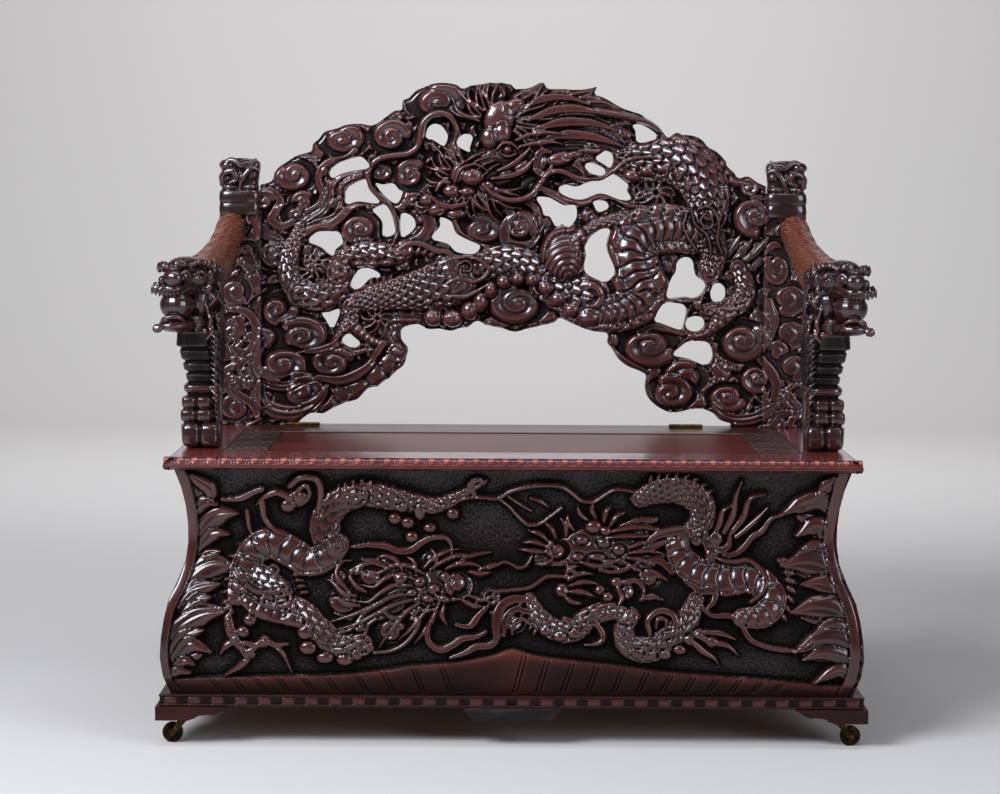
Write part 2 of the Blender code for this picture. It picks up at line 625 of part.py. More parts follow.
def build_seat(wood):
    """The fixed ends, with a moulded edge in front and at the side, and the fixed rear rail."""
    rings = []
    for z, inset in nose_levels():
        outer = -SEAT_HALF_WIDTH + inset
        front = SEAT_FRONT_Y + inset
        rings.append(
            [
                (outer, front, z),
                (-SEAT_END_INNER_X, front, z),
                (-SEAT_END_INNER_X, SEAT_BACK_Y, z),
                (outer, SEAT_BACK_Y, z),
            ]
        )
    left = skin("seat_end_left", wood, rings)
    copy_object(left, "seat_end_right", flip_x=True)
    half = SEAT_END_INNER_X - GAP
    box("seat_back_rail", wood, (-half, REAR_RAIL_Y, Z_SEAT), (half, SEAT_BACK_Y, SEAT_TOP), EDGE_EASE)


def build_lid(wood, panel_wood):
    """A frame of two rails and two stiles, a plain sunk panel, and two battens that carry it."""
    inner_front = SEAT_FRONT_Y + FRONT_RAIL_WIDTH
    inner_back = LID_BACK_Y - LID_BACK_RAIL_WIDTH
    inner_x = LID_HALF_WIDTH - STILE_WIDTH
    section = [(SEAT_FRONT_Y + inset, z) for z, inset in nose_levels()]
    section += [(inner_front, SEAT_TOP), (inner_front, Z_SEAT)]
    rings = [[(x, y, z) for y, z in section] for x in (-LID_HALF_WIDTH, LID_HALF_WIDTH)]
    skin("lid_front_rail", wood, rings)
    box(
        "lid_back_rail",
        wood,
        (-LID_HALF_WIDTH, inner_back, Z_SEAT),
        (LID_HALF_WIDTH, LID_BACK_Y, SEAT_TOP),
        EDGE_EASE,
    )
    for name, side in (("lid_left_stile", -1), ("lid_right_stile", 1)):
        near, far = sorted((side * inner_x, side * LID_HALF_WIDTH))
        box(
            name,
            wood,
            (near, inner_front + GAP, Z_SEAT),
            (far, inner_back - GAP, SEAT_TOP),
            EDGE_EASE,
        )
    box(
        "lid_panel",
        panel_wood,
        (-inner_x + GAP, inner_front + GAP, Z_SEAT),
        (inner_x - GAP, inner_back - GAP, SEAT_TOP - PANEL_SUNK),
        EDGE_EASE,
    )
    for name, side in (("lid_left_batten", -1), ("lid_right_batten", 1)):
        middle = side * inner_x * BATTEN_PLACE_SHARE
        box(
            name,
            wood,
            (middle - BATTEN_WIDTH / 2, inner_front - BATTEN_END_GRIP, Z_SEAT - GAP - BATTEN_THICKNESS),
            (middle + BATTEN_WIDTH / 2, inner_back + BATTEN_END_GRIP, Z_SEAT - GAP),
            EDGE_EASE,
        )


def build_hinge(tag, middle_x, brass):
    """A butt hinge whose leaves lie on the seat, with its pin in knuckles over the joint line."""
    start = middle_x - HINGE_LENGTH / 2
    pitch = HINGE_LENGTH / KNUCKLES
    plate_low = SEAT_TOP + GAP
    near = KNUCKLE_RADIUS - LEAF_THICKNESS / 2
    for kind, side, knuckles in (("fixed", 1, range(0, KNUCKLES, 2)), ("moving", -1, range(1, KNUCKLES, 2))):
        name = f"hinge_{tag}_{kind}_leaf"
        edges = sorted((HINGE_Y + side * (KNUCKLE_RADIUS + HINGE_PLAY), HINGE_Y + side * LEAF_WIDTH))
        leaf = box(
            name,
            brass,
            (start, edges[0], plate_low),
            (start + HINGE_LENGTH, edges[1], plate_low + LEAF_THICKNESS),
        )
        for k in knuckles:
            low = start + k * pitch + HINGE_PLAY / 2
            high = low + pitch - HINGE_PLAY
            round_body = turned_solid(
                f"{name}_knuckle_{k}",
                brass,
                ((KNUCKLE_RADIUS, 0.0), (KNUCKLE_RADIUS, high - low)),
                (low, HINGE_Y, HINGE_Z),
                (1, 0, 0),
            )
            combine(leaf, round_body, "UNION")
            far = KNUCKLE_RADIUS + TONGUE_OVERLAP_WIDTH
            tongue_edges = sorted((HINGE_Y + side * near / 2, HINGE_Y + side * far))
            tongue = box(
                f"{name}_tongue_{k}",
                brass,
                (low, tongue_edges[0], plate_low),
                (high, tongue_edges[1], plate_low + LEAF_THICKNESS),
            )
            combine(leaf, tongue, "UNION")
        bore = turned_solid(
            f"{name}_bore",
            brass,
            (
                (HINGE_PIN_RADIUS + HINGE_PLAY, -CUT_OVERRUN),
                (HINGE_PIN_RADIUS + HINGE_PLAY, HINGE_LENGTH + CUT_OVERRUN),
            ),
            (start, HINGE_Y, HINGE_Z),
            (1, 0, 0),
        )
        combine(leaf, bore, "DIFFERENCE")
    turned_solid(
        f"hinge_{tag}_pin",
        brass,
        (
            (PIN_HEAD_RADIUS, -PIN_HEAD_THICKNESS - GAP),
            (PIN_HEAD_RADIUS, -GAP),
            (HINGE_PIN_RADIUS, -GAP),
            (HINGE_PIN_RADIUS, HINGE_LENGTH + GAP),
            (PIN_HEAD_RADIUS, HINGE_LENGTH + GAP),
            (PIN_HEAD_RADIUS, HINGE_LENGTH + GAP + PIN_HEAD_THICKNESS),
        ),
        (start, HINGE_Y, HINGE_Z),
        (1, 0, 0),
    )


def caster_axis(side_x, side_y):
    return (side_x * (HALF_WIDTH - CASTER_FROM_SIDE), side_y * (HALF_DEPTH - CASTER_FROM_FRONT))


def build_feet(wood, worn_wood):
    """Bracket feet: a wing along the front, one along the side, and the block that holds the caster."""
    lower = [(s * FOOT_LENGTH, Z_FOOT + up * FOOT_HEIGHT) for s, up in FOOT_SHARES]
    top = Z_FOOT + FOOT_HEIGHT
    outline = lower + [(0.0, top)]
    front_rings = []
    for y in (-HALF_DEPTH, -HALF_DEPTH + FOOT_WING_THICKNESS):
        front_rings.append([(-HALF_WIDTH + s, y, z) for s, z in outline])
    foot = skin("foot_front_left", wood, front_rings)
    side_rings = []
    for x in (-HALF_WIDTH, -HALF_WIDTH + FOOT_WING_THICKNESS):
        side_rings.append([(x, -HALF_DEPTH + s, z) for s, z in outline])
    combine(foot, skin("foot_side_wing", wood, side_rings), "UNION")
    block = box(
        "foot_block",
        wood,
        (-HALF_WIDTH + FOOT_WING_THICKNESS / 2, -HALF_DEPTH + FOOT_WING_THICKNESS / 2, Z_FOOT),
        (-HALF_WIDTH + FOOT_BLOCK, -HALF_DEPTH + FOOT_BLOCK, top),
    )
    combine(foot, block, "UNION")
    x, y = caster_axis(-1, -1)
    hole = STEM_RADIUS + CASTER_PLAY + SLEEVE_WALL + GAP
    depth = SLEEVE_LENGTH + GAP
    bore = turned_solid("foot_bore", wood, ((hole, -CUT_OVERRUN), (hole, depth)), (x, y, Z_FOOT), (0, 0, 1))
    combine(foot, bore, "DIFFERENCE")
    bpy.context.view_layer.update()
    finished = bpy.data.meshes.new_from_object(foot.evaluated_get(bpy.context.evaluated_depsgraph_get()))
    foot.modifiers.clear()
    foot.data = finished
    for helper in ("foot_side_wing", "foot_block", "foot_bore"):
        bpy.data.objects.remove(bpy.data.objects[helper], do_unlink=True)
    copy_object(foot, "foot_front_right", flip_x=True)
    copy_object(foot, "foot_back_left", flip_y=True)
    copy_object(foot, "foot_back_right", flip_x=True, flip_y=True)
    half = CENTRE_BRACKET_WIDTH / 2
    outline = [(s * half, Z_FOOT + up * FOOT_HEIGHT) for s, up in CENTRE_BRACKET_SHARES]
    rings = []
    for y in (-PLINTH_HALF_DEPTH, -PLINTH_HALF_DEPTH + CENTRE_BRACKET_THICKNESS):
        rings.append([(s, y, z) for s, z in outline])
    skin("centre_bracket", worn_wood, rings)


def build_caster(tag, side_x, side_y, brass, iron):
    """Socket, swivelling horn, wheel and axle. The wheel trails outwards."""
    x, y = caster_axis(side_x, side_y)
    bore = STEM_RADIUS + CASTER_PLAY
    flange_top = Z_FOOT - GAP
    flange_low = flange_top - FLANGE_THICKNESS
    turned_ring(
        f"caster_socket_{tag}",
        brass,
        (
            (bore, flange_low),
            (FLANGE_RADIUS, flange_low),
            (FLANGE_RADIUS, flange_top),
            (bore + SLEEVE_WALL, flange_top),
            (bore + SLEEVE_WALL, Z_FOOT + SLEEVE_LENGTH),
            (bore, Z_FOOT + SLEEVE_LENGTH),
        ),
        (x, y, 0.0),
        (0, 0, 1),
    )
    crown_top = flange_low - GAP
    crown_low = crown_top - CROWN_THICKNESS
    wheel_x = x + side_x * WHEEL_TRAIL
    horn = turned_solid(
        f"caster_horn_{tag}",
        brass,
        (
            (CROWN_RADIUS, crown_low),
            (CROWN_RADIUS, crown_top),
            (STEM_RADIUS, crown_top),
            (STEM_RADIUS, Z_FOOT + SLEEVE_LENGTH - GAP),
        ),
        (x, y, 0.0),
        (0, 0, 1),
    )
    inner = WHEEL_WIDTH / 2 + GAP
    for number, low in enumerate((inner, -inner - CHEEK_THICKNESS)):
        outline = []
        steps = ROUND_SIDES // 2
        for i in range(steps + 1):
            outline.append(
                (wheel_x + side_x * CHEEK_FOOT_RADIUS * math.sin(math.pi * i / steps),
                 WHEEL_RADIUS + CHEEK_FOOT_RADIUS * math.cos(math.pi * i / steps))
            )
        outline.append((x - side_x * CHEEK_TOP_RADIUS, crown_low + CROWN_THICKNESS / 2))
        outline.append((x + side_x * CHEEK_TOP_RADIUS, crown_low + CROWN_THICKNESS / 2))
        rings = [[(s, y + low + t, z) for s, z in outline] for t in (0.0, CHEEK_THICKNESS)]
        combine(horn, skin(f"horn_cheek_{tag}_{number}", brass, rings), "UNION")
    long = WHEEL_WIDTH / 2 + GAP + CHEEK_THICKNESS
    hole = turned_solid(
        f"horn_hole_{tag}",
        brass,
        ((AXLE_RADIUS + CASTER_PLAY, -long - CUT_OVERRUN), (AXLE_RADIUS + CASTER_PLAY, long + CUT_OVERRUN)),
        (wheel_x, y, WHEEL_RADIUS),
        (0, 1, 0),
    )
    combine(horn, hole, "DIFFERENCE")
    half = WHEEL_WIDTH / 2
    bored = AXLE_RADIUS + CASTER_PLAY
    near_side = [(WHEEL_RADIUS * out, -half * wide) for out, wide in WHEEL_SHARES]
    far_side = [(WHEEL_RADIUS * out, half * wide) for out, wide in reversed(WHEEL_SHARES)]
    turned_ring(
        f"caster_wheel_{tag}",
        iron,
        [(bored, -half)] + near_side + far_side + [(bored, half)],
        (wheel_x, y, WHEEL_RADIUS),
        (0, 1, 0),
        sides=WHEEL_SIDES,
    )
    turned_solid(
        f"caster_axle_{tag}",
        brass,
        (
            (AXLE_HEAD_RADIUS, -long - GAP - AXLE_HEAD_THICKNESS),
            (AXLE_HEAD_RADIUS, -long - GAP),
            (AXLE_RADIUS, -long - GAP),
            (AXLE_RADIUS, long + GAP),
            (AXLE_HEAD_RADIUS, long + GAP),
            (AXLE_HEAD_RADIUS, long + GAP + AXLE_HEAD_THICKNESS),
        ),
        (wheel_x, y, WHEEL_RADIUS),
        (0, 1, 0),
    )


def back_place(across, down):
    """(x, z) of a pixel of the back's drawing."""
    level = down - PX_TILT * (across - PX_BACK_MIDDLE) - PX_LEVEL
    scale_x = BACK_WIDTH / PX_BACK_WIDTH
    x = (across - PX_BACK_MIDDLE + PX_TILT * level) * scale_x * (1 + PX_TAPER * level)
    foot = PX_BACK_FOOT - PX_LEVEL
    top = PX_BACK_TOP - PX_LEVEL
    whole = (foot + PX_TAPER * foot**2) - (top + PX_TAPER * top**2)
    share = ((foot + PX_TAPER * foot**2) - (level + PX_TAPER * level**2)) / whole
    return (x, SEAT_TOP + share * BACK_HEIGHT)


def back_size(pixels):
    return pixels * BACK_WIDTH / PX_BACK_WIDTH


def front_size(pixels):
    return pixels * 2 * CHEST_HALF_WIDTH / PX_FRONT_WIDTH


def front_place(across, down):
    """(x, z) of a pixel of the front's drawing, on the swelling face."""
    level = down - PX_TILT * (across - PX_BACK_MIDDLE)
    share = (PX_FRONT_FOOT - level) / (PX_FRONT_FOOT - PX_FRONT_TOP)
    inset = bombe_inset(min(max(share, 0.0), 1.0))
    x = front_size(across - PX_FRONT_MIDDLE + PX_TILT * level) * (1 + inset / DRAWING_DISTANCE)
    return (x, Z_CHEST + share * CHEST_HEIGHT)


def inside(point, loop):
    """Whether a point lies inside a closed loop, by crossings."""
    x, z = point
    found = False
    for (x0, z0), (x1, z1) in zip(loop, loop[1:] + loop[:1]):
        if (z0 > z) != (z1 > z) and x < (x1 - x0) * (z - z0) / (z1 - z0) + x0:
            found = not found
    return found


def run_points(run, spacing, place, size):
    """Points along a run of (across, down, half width), about a spacing apart: (x, z, half width)."""
    places = [(*place(a, d), size(w)) for a, d, w in run]
    smooth = curve_through(places, RUN_STEPS * len(places))
    steps = np.concatenate([[0], np.cumsum(np.hypot(*np.diff(smooth[:, :2], axis=0).T))])
    count = max(2, int(round(steps[-1] / spacing)) + 1)
    at = np.linspace(0, steps[-1], count)
    return np.stack([np.interp(at, steps, smooth[:, k]) for k in range(3)], axis=1)


def relief_forms(runs, rounds, depth, place, size):
    """(height, points, half widths) of every carved form."""
    forms = []
    for height, run in runs:
        line = run_points(run, size(PX_FORM_STEP), place, size)
        forms.append((height * depth, line[:, :2], line[:, 2]))
    for height, (a, d, r) in rounds:
        forms.append((height * depth, np.array([place(a, d)]), np.array([size(r)])))
    return forms


def relief_height(point, forms):
    """How far the carving stands before its ground at a point."""
    best = 0.0
    for height, places, halves in forms:
        away = np.hypot(places[:, 0] - point[0], places[:, 1] - point[1]) / halves
        nearest = away.min()
        if nearest < 1:
            best = max(best, height * math.sqrt(1 - nearest**2))
    return best


def wanted_points(runs, rounds, spacing, place, size):
    """Points that show the forms: along the middle and shoulders of each run, and round each boss."""
    wanted = []
    for _, run in runs:
        line = run_points(run, spacing, place, size)
        way = np.gradient(line[:, :2], axis=0)
        way /= np.hypot(way[:, 0], way[:, 1])[:, None]
        shoulder = np.stack([-way[:, 1], way[:, 0]], axis=1) * line[:, 2:] * CLOUD_SHOULDER_SHARE
        wanted += [tuple(p) for p in line[:, :2]]
        wanted += [tuple(p) for p in line[:, :2] + shoulder]
        wanted += [tuple(p) for p in line[:, :2] - shoulder]
    for _, (a, d, r) in rounds:
        x, z = place(a, d)
        wanted.append((x, z))
        reach = size(r) * CLOUD_SHOULDER_SHARE
        for i in range(CLOUD_POINTS):
            angle = 2 * math.pi * i / CLOUD_POINTS
            wanted.append((x + reach * math.cos(angle), z + reach * math.sin(angle)))
    return wanted


def even_points(low, high, spacing):
    """Points in staggered rows over a rectangle."""
    row_height = spacing * math.sqrt(3) / 2
    points = []
    for row in range(int((high[1] - low[1]) / row_height) + 2):
        for column in range(int((high[0] - low[0]) / spacing) + 2):
            points.append((low[0] + spacing * (column + (row % 2) / 2), low[1] + row_height * row))
    return points


def free_points(wanted, outer, holes):
    """The wanted points inside the outline, off its edges and not too close to each other."""
    border = []
    for loop in (outer, *holes):
        for p, q in zip(loop, loop[1:] + loop[:1]):
            count = max(1, int(math.hypot(q[0] - p[0], q[1] - p[1]) / LEAST_POINT_GAP))
            border += [(p[0] + (q[0] - p[0]) * i / count, p[1] + (q[1] - p[1]) * i / count) for i in range(count)]
    kept = np.array(border)
    free = []
    for p in wanted:
        if np.hypot(kept[:, 0] - p[0], kept[:, 1] - p[1]).min() < LEAST_POINT_GAP:
            continue
        if not inside(p, outer) or any(inside(p, hole) for hole in holes):
            continue
        kept = np.vstack([kept, p])
        free.append(p)
    return free


def loop_edges(loops):
    edges = []
    start = 0
    for loop in loops:
        edges += [(start + i, start + (i + 1) % len(loop)) for i in range(len(loop))]
        start += len(loop)
    return edges


def build_back_panel(wood):
    """One plank: its crest and underside sawn to the clouds, pierced, with the main forms in relief."""
    edge = POST_INNER_X - GAP
    crest = [back_place(a, d) for a, d in PX_CREST[1:-1]]
    under = [back_place(a, d) for a, d in PX_UNDERSIDE]
    foot = SEAT_TOP + GAP
    outer = [(-edge, back_place(*PX_CREST[0])[1])] + crest + [(edge, back_place(*PX_CREST[-1])[1])]
    outer += [(edge, foot), (under[0][0], foot)] + under[1:-1] + [(under[-1][0], foot), (-edge, foot)]
    holes = [[back_place(a, d) for a, d in hole] for hole in PX_PIERCINGS]
    rounds = [(CLOUD_HEIGHT_SHARE, cloud) for cloud in PX_CLOUDS] + [(1.0, PX_BALL)]
    forms = relief_forms(PX_DRAGON, rounds, RELIEF_DEPTH, back_place, back_size)
    wanted = wanted_points(PX_DRAGON, rounds, BACK_POINT_GAP, back_place, back_size)
    wanted += even_points((-edge, foot), (edge, foot + BACK_HEIGHT), BACK_POINT_GAP)

    chosen = [p for loop in (outer, *holes) for p in loop]
    edges = loop_edges((outer, *holes))
    points = chosen + free_points(wanted, outer, holes)
    verts = [(p[0], PANEL_FRONT_Y - relief_height(p, forms), p[1]) for p in points]
    offset = len(verts)
    verts += [(p[0], PANEL_BACK_Y, p[1]) for p in chosen]
    faces = [tuple(reversed(t)) for t in triangulate(points, edges, outer, holes)]
    faces += [tuple(offset + i for i in t) for t in triangulate(chosen, edges, outer, holes)]
    faces += [(i, j, offset + j, offset + i) for i, j in edges]
    return new_object("back_panel", wood, verts, faces, smooth_degrees=50)


def build_chest_front(wood):
    """The bombé front board: mitred ends, a plain frame, and the dragons and leaves on a sunk ground."""
    shares = np.linspace(0, 1, CHEST_LEVELS)
    insets = [bombe_inset(share) for share in shares]
    levels = [Z_CHEST + share * CHEST_HEIGHT for share in shares]
    halves = [CHEST_HALF_WIDTH - inset - GAP for inset in insets]
    top = levels[-1]
    columns = int(2 * halves[0] / FRONT_POINT_GAP)
    low_edge = [(x, levels[0]) for x in np.linspace(-halves[0], halves[0], columns)]
    top_edge = [(x, top) for x in np.linspace(halves[-1], -halves[-1], columns)]
    right_edge = [(half, z) for half, z in zip(halves, levels)][1:-1]
    left_edge = [(-half, z) for half, z in zip(halves, levels)][-2:0:-1]
    outer = low_edge + right_edge + top_edge + left_edge
    leaf = [front_place(a, d) for a, d in PX_FRONT_LEAF]
    under_leaf = leaf + [(leaf[-1][0], Z_CHEST - CHEST_HEIGHT), (leaf[0][0], Z_CHEST - CHEST_HEIGHT)]
    runs = PX_FRONT_DRAGONS + PX_FRONT_LEAVES
    rounds = [(CLOUD_HEIGHT_SHARE, boss) for boss in PX_FRONT_ROUNDS]
    forms = relief_forms(runs, rounds, FRONT_RELIEF_DEPTH, front_place, front_size)

    def depth_at(x, z):
        inset = bombe_inset((z - Z_CHEST) / CHEST_HEIGHT)
        face = -(CHEST_HALF_DEPTH - inset)
        side = CHEST_HALF_WIDTH - inset - FRONT_FRAME_WIDTH - abs(x)
        if side < 0 or z > top - FRONT_TOP_BAND_HEIGHT or inside((x, z), under_leaf):
            return face
        return face + FRONT_GROUND_DEPTH - relief_height((x, z), forms)

    wanted = []
    for step in (0.0, FRONT_FRAME_SLOPE_WIDTH):
        for half, z in zip(halves[1:-1], levels[1:-1]):
            reach = half + GAP - FRONT_FRAME_WIDTH - step
            wanted += [(-reach, z), (reach, z)]
        band = top - FRONT_TOP_BAND_HEIGHT - step
        wanted += [(x, band) for x, _ in top_edge]
        line = curve_through(leaf, columns)
        wanted += [(x, z - FRONT_FRAME_SLOPE_WIDTH / 2 + step) for x, z in line]
    wanted += wanted_points(runs, rounds, FRONT_POINT_GAP, front_place, front_size)
    wanted += even_points((-halves[0], levels[0]), (halves[0], top), FRONT_POINT_GAP)
    points = outer + free_points(wanted, outer, [])
    verts = [(x, depth_at(x, z), z) for x, z in points[len(outer) :]]
    rim = [(x, -(CHEST_HALF_DEPTH - bombe_inset((z - Z_CHEST) / CHEST_HEIGHT)), z) for x, z in outer]
    verts = rim + verts
    faces = [tuple(reversed(t)) for t in triangulate(points, loop_edges([outer]), outer, [])]
    offset = len(verts)
    for half, inset, z in zip(halves, insets, levels):
        y = -(CHEST_HALF_DEPTH - inset - BOARD)
        verts += [(-(half - BOARD), y, z), (half - BOARD, y, z)]
    inner_left = list(range(offset, len(verts), 2))
    inner_right = list(range(offset + 1, len(verts), 2))
    right = list(range(columns - 1, columns + CHEST_LEVELS - 1))
    left = [0] + list(range(len(outer) - 1, len(outer) - CHEST_LEVELS, -1))
    for i in range(CHEST_LEVELS - 1):
        faces.append((left[i], left[i + 1], inner_left[i + 1], inner_left[i]))
        faces.append((right[i + 1], right[i], inner_right[i], inner_right[i + 1]))
        faces.append((inner_left[i], inner_left[i + 1], inner_right[i + 1], inner_right[i]))
    faces.append((*range(columns), inner_right[0], inner_left[0]))
    faces.append((*range(right[-1], left[-1] + 1), inner_left[-1], inner_right[-1]))
    return new_object("chest_front_board", wood, verts, faces, smooth_degrees=40)


def triangulate(points, edges, outer, holes):
    """Triangles of the area between the outline and its holes, as indices into points."""
    _, _, found, origin, _, _ = delaunay_2d_cdt([Vector(p) for p in points], edges, [], 0, 1e-7)
    triangles = []
    for face in found:
        corners = [origin[i][0] for i in face]
        middle = np.mean([points[i] for i in corners], axis=0)
        if inside(middle, outer) and not any(inside(middle, hole) for hole in holes):
            triangles.append(tuple(corners))
    return triangles


def build_post(name, side, wood):
    """An upright with two rings and a knobbed head, its corners cut off."""
    middle_x = side * (POST_OUTER_X - POST_WIDTH / 2)
    rings = []
    for up, wide, deep in POST_SHARES:
        half_x = POST_WIDTH / 2 * min(wide, 1.0)
        front = POST_FRONT_Y + POST_DEPTH * (1 - deep) / 2
        back = HALF_DEPTH - POST_DEPTH * (1 - deep) / 2
        cut = half_x * POST_CORNER_SHARE
        z = SEAT_TOP + GAP + up * (POST_HEIGHT - GAP)
        rings.append(
            [
                (middle_x - half_x + cut, front, z),
                (middle_x + half_x - cut, front, z),
                (middle_x + half_x, front + cut, z),
                (middle_x + half_x, back - cut, z),
                (middle_x + half_x - cut, back, z),
                (middle_x - half_x + cut, back, z),
                (middle_x - half_x, back - cut, z),
                (middle_x - half_x, front + cut, z),
            ]
        )
    skin(name, wood, rings)


# Neck of an arm, as shares: forwards from the upright, outwards to the head, down, and its width and height
NECK_SHARES = (
    (0.0, 0.29, 0.0, 0.96, 1.00),
    (0.32, 0.26, 0.30, 0.92, 0.98),
    (0.63, 0.35, 0.68, 1.00, 1.12),
    (0.88, 0.52, 0.92, 1.22, 1.40),
    (1.0, 0.64, 1.0, 1.34, 1.60),
)
NECK_SIDES = 12
NECK_RINGS = 10

# A lion-dog's head as swellings of its own size: centre and half sizes, right, back and up, in shares
HEAD_SHARES = (
    ((0.00, 0.18, 0.16), (0.43, 0.44, 0.40)),
    ((0.00, -0.28, 0.12), (0.33, 0.34, 0.20)),
    ((0.00, -0.56, 0.22), (0.17, 0.11, 0.11)),
    ((0.20, -0.30, 0.34), (0.15, 0.17, 0.12)),
    ((-0.20, -0.30, 0.34), (0.15, 0.17, 0.12)),
    ((0.26, -0.30, -0.08), (0.15, 0.22, 0.13)),
    ((-0.26, -0.30, -0.08), (0.15, 0.22, 0.13)),
    ((0.00, -0.22, -0.56), (0.26, 0.36, 0.13)),
    ((0.32, 0.10, -0.20), (0.16, 0.22, 0.40)),
    ((-0.32, 0.10, -0.20), (0.16, 0.22, 0.40)),
    ((0.00, 0.20, -0.35), (0.30, 0.26, 0.40)),
    ((0.42, 0.20, 0.12), (0.13, 0.20, 0.22)),
    ((-0.42, 0.20, 0.12), (0.13, 0.20, 0.22)),
    ((0.00, 0.58, -0.10), (0.40, 0.50, 0.56)),
    ((0.00, -0.40, -0.54), (0.30, 0.22, 0.14)),
)
HEAD_GLOBE_SIDES = 12
HEAD_GLOBE_RINGS = 8
BALL_SHARES = (0.0, -0.40, -0.23)

# Breast of an arm, from the seat up, as shares: height, width from its inner side, depth from its back
BREAST_SHARES = (
    (0.0, 0.88, 0.44),
    (0.06, 0.92, 0.50),
    (0.20, 0.93, 0.53),
    (0.24, 0.82, 0.50),
    (0.28, 0.88, 0.55),
    (0.38, 0.88, 0.58),
    (0.43, 0.80, 0.56),
    (0.49, 0.88, 0.64),
    (0.55, 0.90, 0.67),
    (0.57, 0.83, 0.66),
    (0.64, 0.86, 0.69),
    (0.65, 0.88, 0.73),
    (0.745, 0.90, 0.78),
    (0.76, 0.92, 0.83),
    (0.865, 0.95, 0.89),
    (0.88, 0.98, 0.95),
    (1.0, 1.0, 1.0),
)
BREAST_SIDES = 16
BREAST_ROUNDNESS = 0.5


def head_place(side, shares):
    """A place in the head, which looks forwards and a little outwards."""
    turn = math.radians(HEAD_TURN_DEGREES)
    right, back, up = (s * HEAD_WIDTH for s in shares)
    x = side * (HEAD_X - right * math.cos(turn) - back * math.sin(turn))
    return (x, HEAD_Y + back * math.cos(turn) - right * math.sin(turn), SEAT_TOP + HEAD_ABOVE_SEAT + up)


def globe(centre, halves, sides, rings):
    """(verts, faces) of a closed egg."""
    verts = [(centre[0], centre[1], centre[2] - halves[2])]
    for k in range(1, rings):
        lift = -math.pi / 2 + math.pi * k / rings
        for i in range(sides):
            angle = 2 * math.pi * i / sides
            verts.append(
                (
                    centre[0] + halves[0] * math.cos(lift) * math.cos(angle),
                    centre[1] + halves[1] * math.cos(lift) * math.sin(angle),
                    centre[2] + halves[2] * math.sin(lift),
                )
            )
    verts.append((centre[0], centre[1], centre[2] + halves[2]))
    last = len(verts) - 1
    faces = []
    for i in range(sides):
        j = (i + 1) % sides
        faces.append((0, 1 + j, 1 + i))
        top = 1 + (rings - 2) * sides
        faces.append((last, top + i, top + j))
        for k in range(rings - 2):
            low = 1 + k * sides
            faces.append((low + i, low + j, low + sides + j, low + sides + i))
    return verts, faces


def build_head(wood):
    """The left head: its swellings melted into one body, cut flat at neck and breast, with a seat for the ball."""
    verts = []
    faces = []
    for centre, halves in HEAD_SHARES:
        place = head_place(-1, centre)
        sizes = [h * HEAD_WIDTH for h in halves]
        more_verts, more_faces = globe(place, sizes, HEAD_GLOBE_SIDES, HEAD_GLOBE_RINGS)
        faces += [tuple(i + len(verts) for i in f) for f in more_faces]
        verts += more_verts
    head = new_object("arm_head_left", wood, verts, faces, smooth_degrees=60)
    melt = head.modifiers.new("melted", "REMESH")
    melt.mode = "VOXEL"
    melt.voxel_size = HEAD_VOXEL_WIDTH
    fewer = head.modifiers.new("fewer_faces", "DECIMATE")
    fewer.ratio = HEAD_DECIMATE_SHARE
    ball = head_place(-1, BALL_SHARES)
    reach = HEAD_DEPTH
    breast_top = BREAST_TOP + GAP
    cutters = (
        box(
            "head_cut_below",
            wood,
            (ball[0] - reach, HEAD_Y - reach, breast_top - reach),
            (ball[0] + reach, HEAD_Y + reach, breast_top),
        ),
        box(
            "head_cut_behind",
            wood,
            (ball[0] - reach, HEAD_BACK_Y - GAP, breast_top - reach),
            (ball[0] + reach, HEAD_BACK_Y + reach, breast_top + reach),
        ),
        box(
            "head_cut_inside",
            wood,
            (-ARM_INNER_X, HEAD_Y - reach, breast_top - reach),
            (-ARM_INNER_X + reach, HEAD_Y + reach, breast_top + reach),
        ),
    )
    for cutter in cutters:
        combine(head, cutter, "DIFFERENCE")
    seat_radius = BALL_RADIUS + GAP
    seat_verts, seat_faces = globe(ball, (seat_radius,) * 3, ROUND_SIDES, ROUND_SIDES // 2)
    ball_cut = new_object("head_cut_ball", wood, seat_verts, seat_faces)
    combine(head, ball_cut, "DIFFERENCE")
    bpy.context.view_layer.update()
    finished = bpy.data.meshes.new_from_object(head.evaluated_get(bpy.context.evaluated_depsgraph_get()))
    head.modifiers.clear()
    head.data = finished
    for helper in (*cutters, ball_cut):
        bpy.data.objects.remove(helper, do_unlink=True)
    copy_object(head, "arm_head_right", flip_x=True)
    inner = BALL_RADIUS * math.cos(math.pi / ROUND_SIDES)
    ball_verts, ball_faces = globe(ball, (inner,) * 3, ROUND_SIDES, ROUND_SIDES // 2)
    left = new_object("mouth_ball_left", wood, ball_verts, ball_faces, smooth_degrees=60)
    copy_object(left, "mouth_ball_right", flip_x=True)


def build_neck(wood):
    """The left neck, from the front of the upright to the back of the head."""
    post_x = POST_OUTER_X - POST_WIDTH / 2
    rings = []
    for forward, outward, down, wide, deep in curve_through(NECK_SHARES, NECK_RINGS):
        y = NECK_REAR_Y + forward * (HEAD_BACK_Y - NECK_REAR_Y)
        z = SEAT_TOP + NECK_REAR_HEIGHT + down * (NECK_FRONT_HEIGHT - NECK_REAR_HEIGHT)
        half_x = NECK_WIDTH / 2 * wide
        half_z = NECK_WIDTH / 2 * deep
        middle = post_x + outward * (HEAD_X - post_x)
        if y < NECK_BEHIND_LID_Y:
            middle = max(middle, ARM_INNER_X + half_x)
        ring = []
        for i in range(NECK_SIDES):
            angle = 2 * math.pi * i / NECK_SIDES
            ring.append((-middle + half_x * math.cos(angle), y, z + half_z * math.sin(angle)))
        rings.append(ring)
    left = skin("arm_neck_left", wood, rings, smooth_degrees=60)
    copy_object(left, "arm_neck_right", flip_x=True)


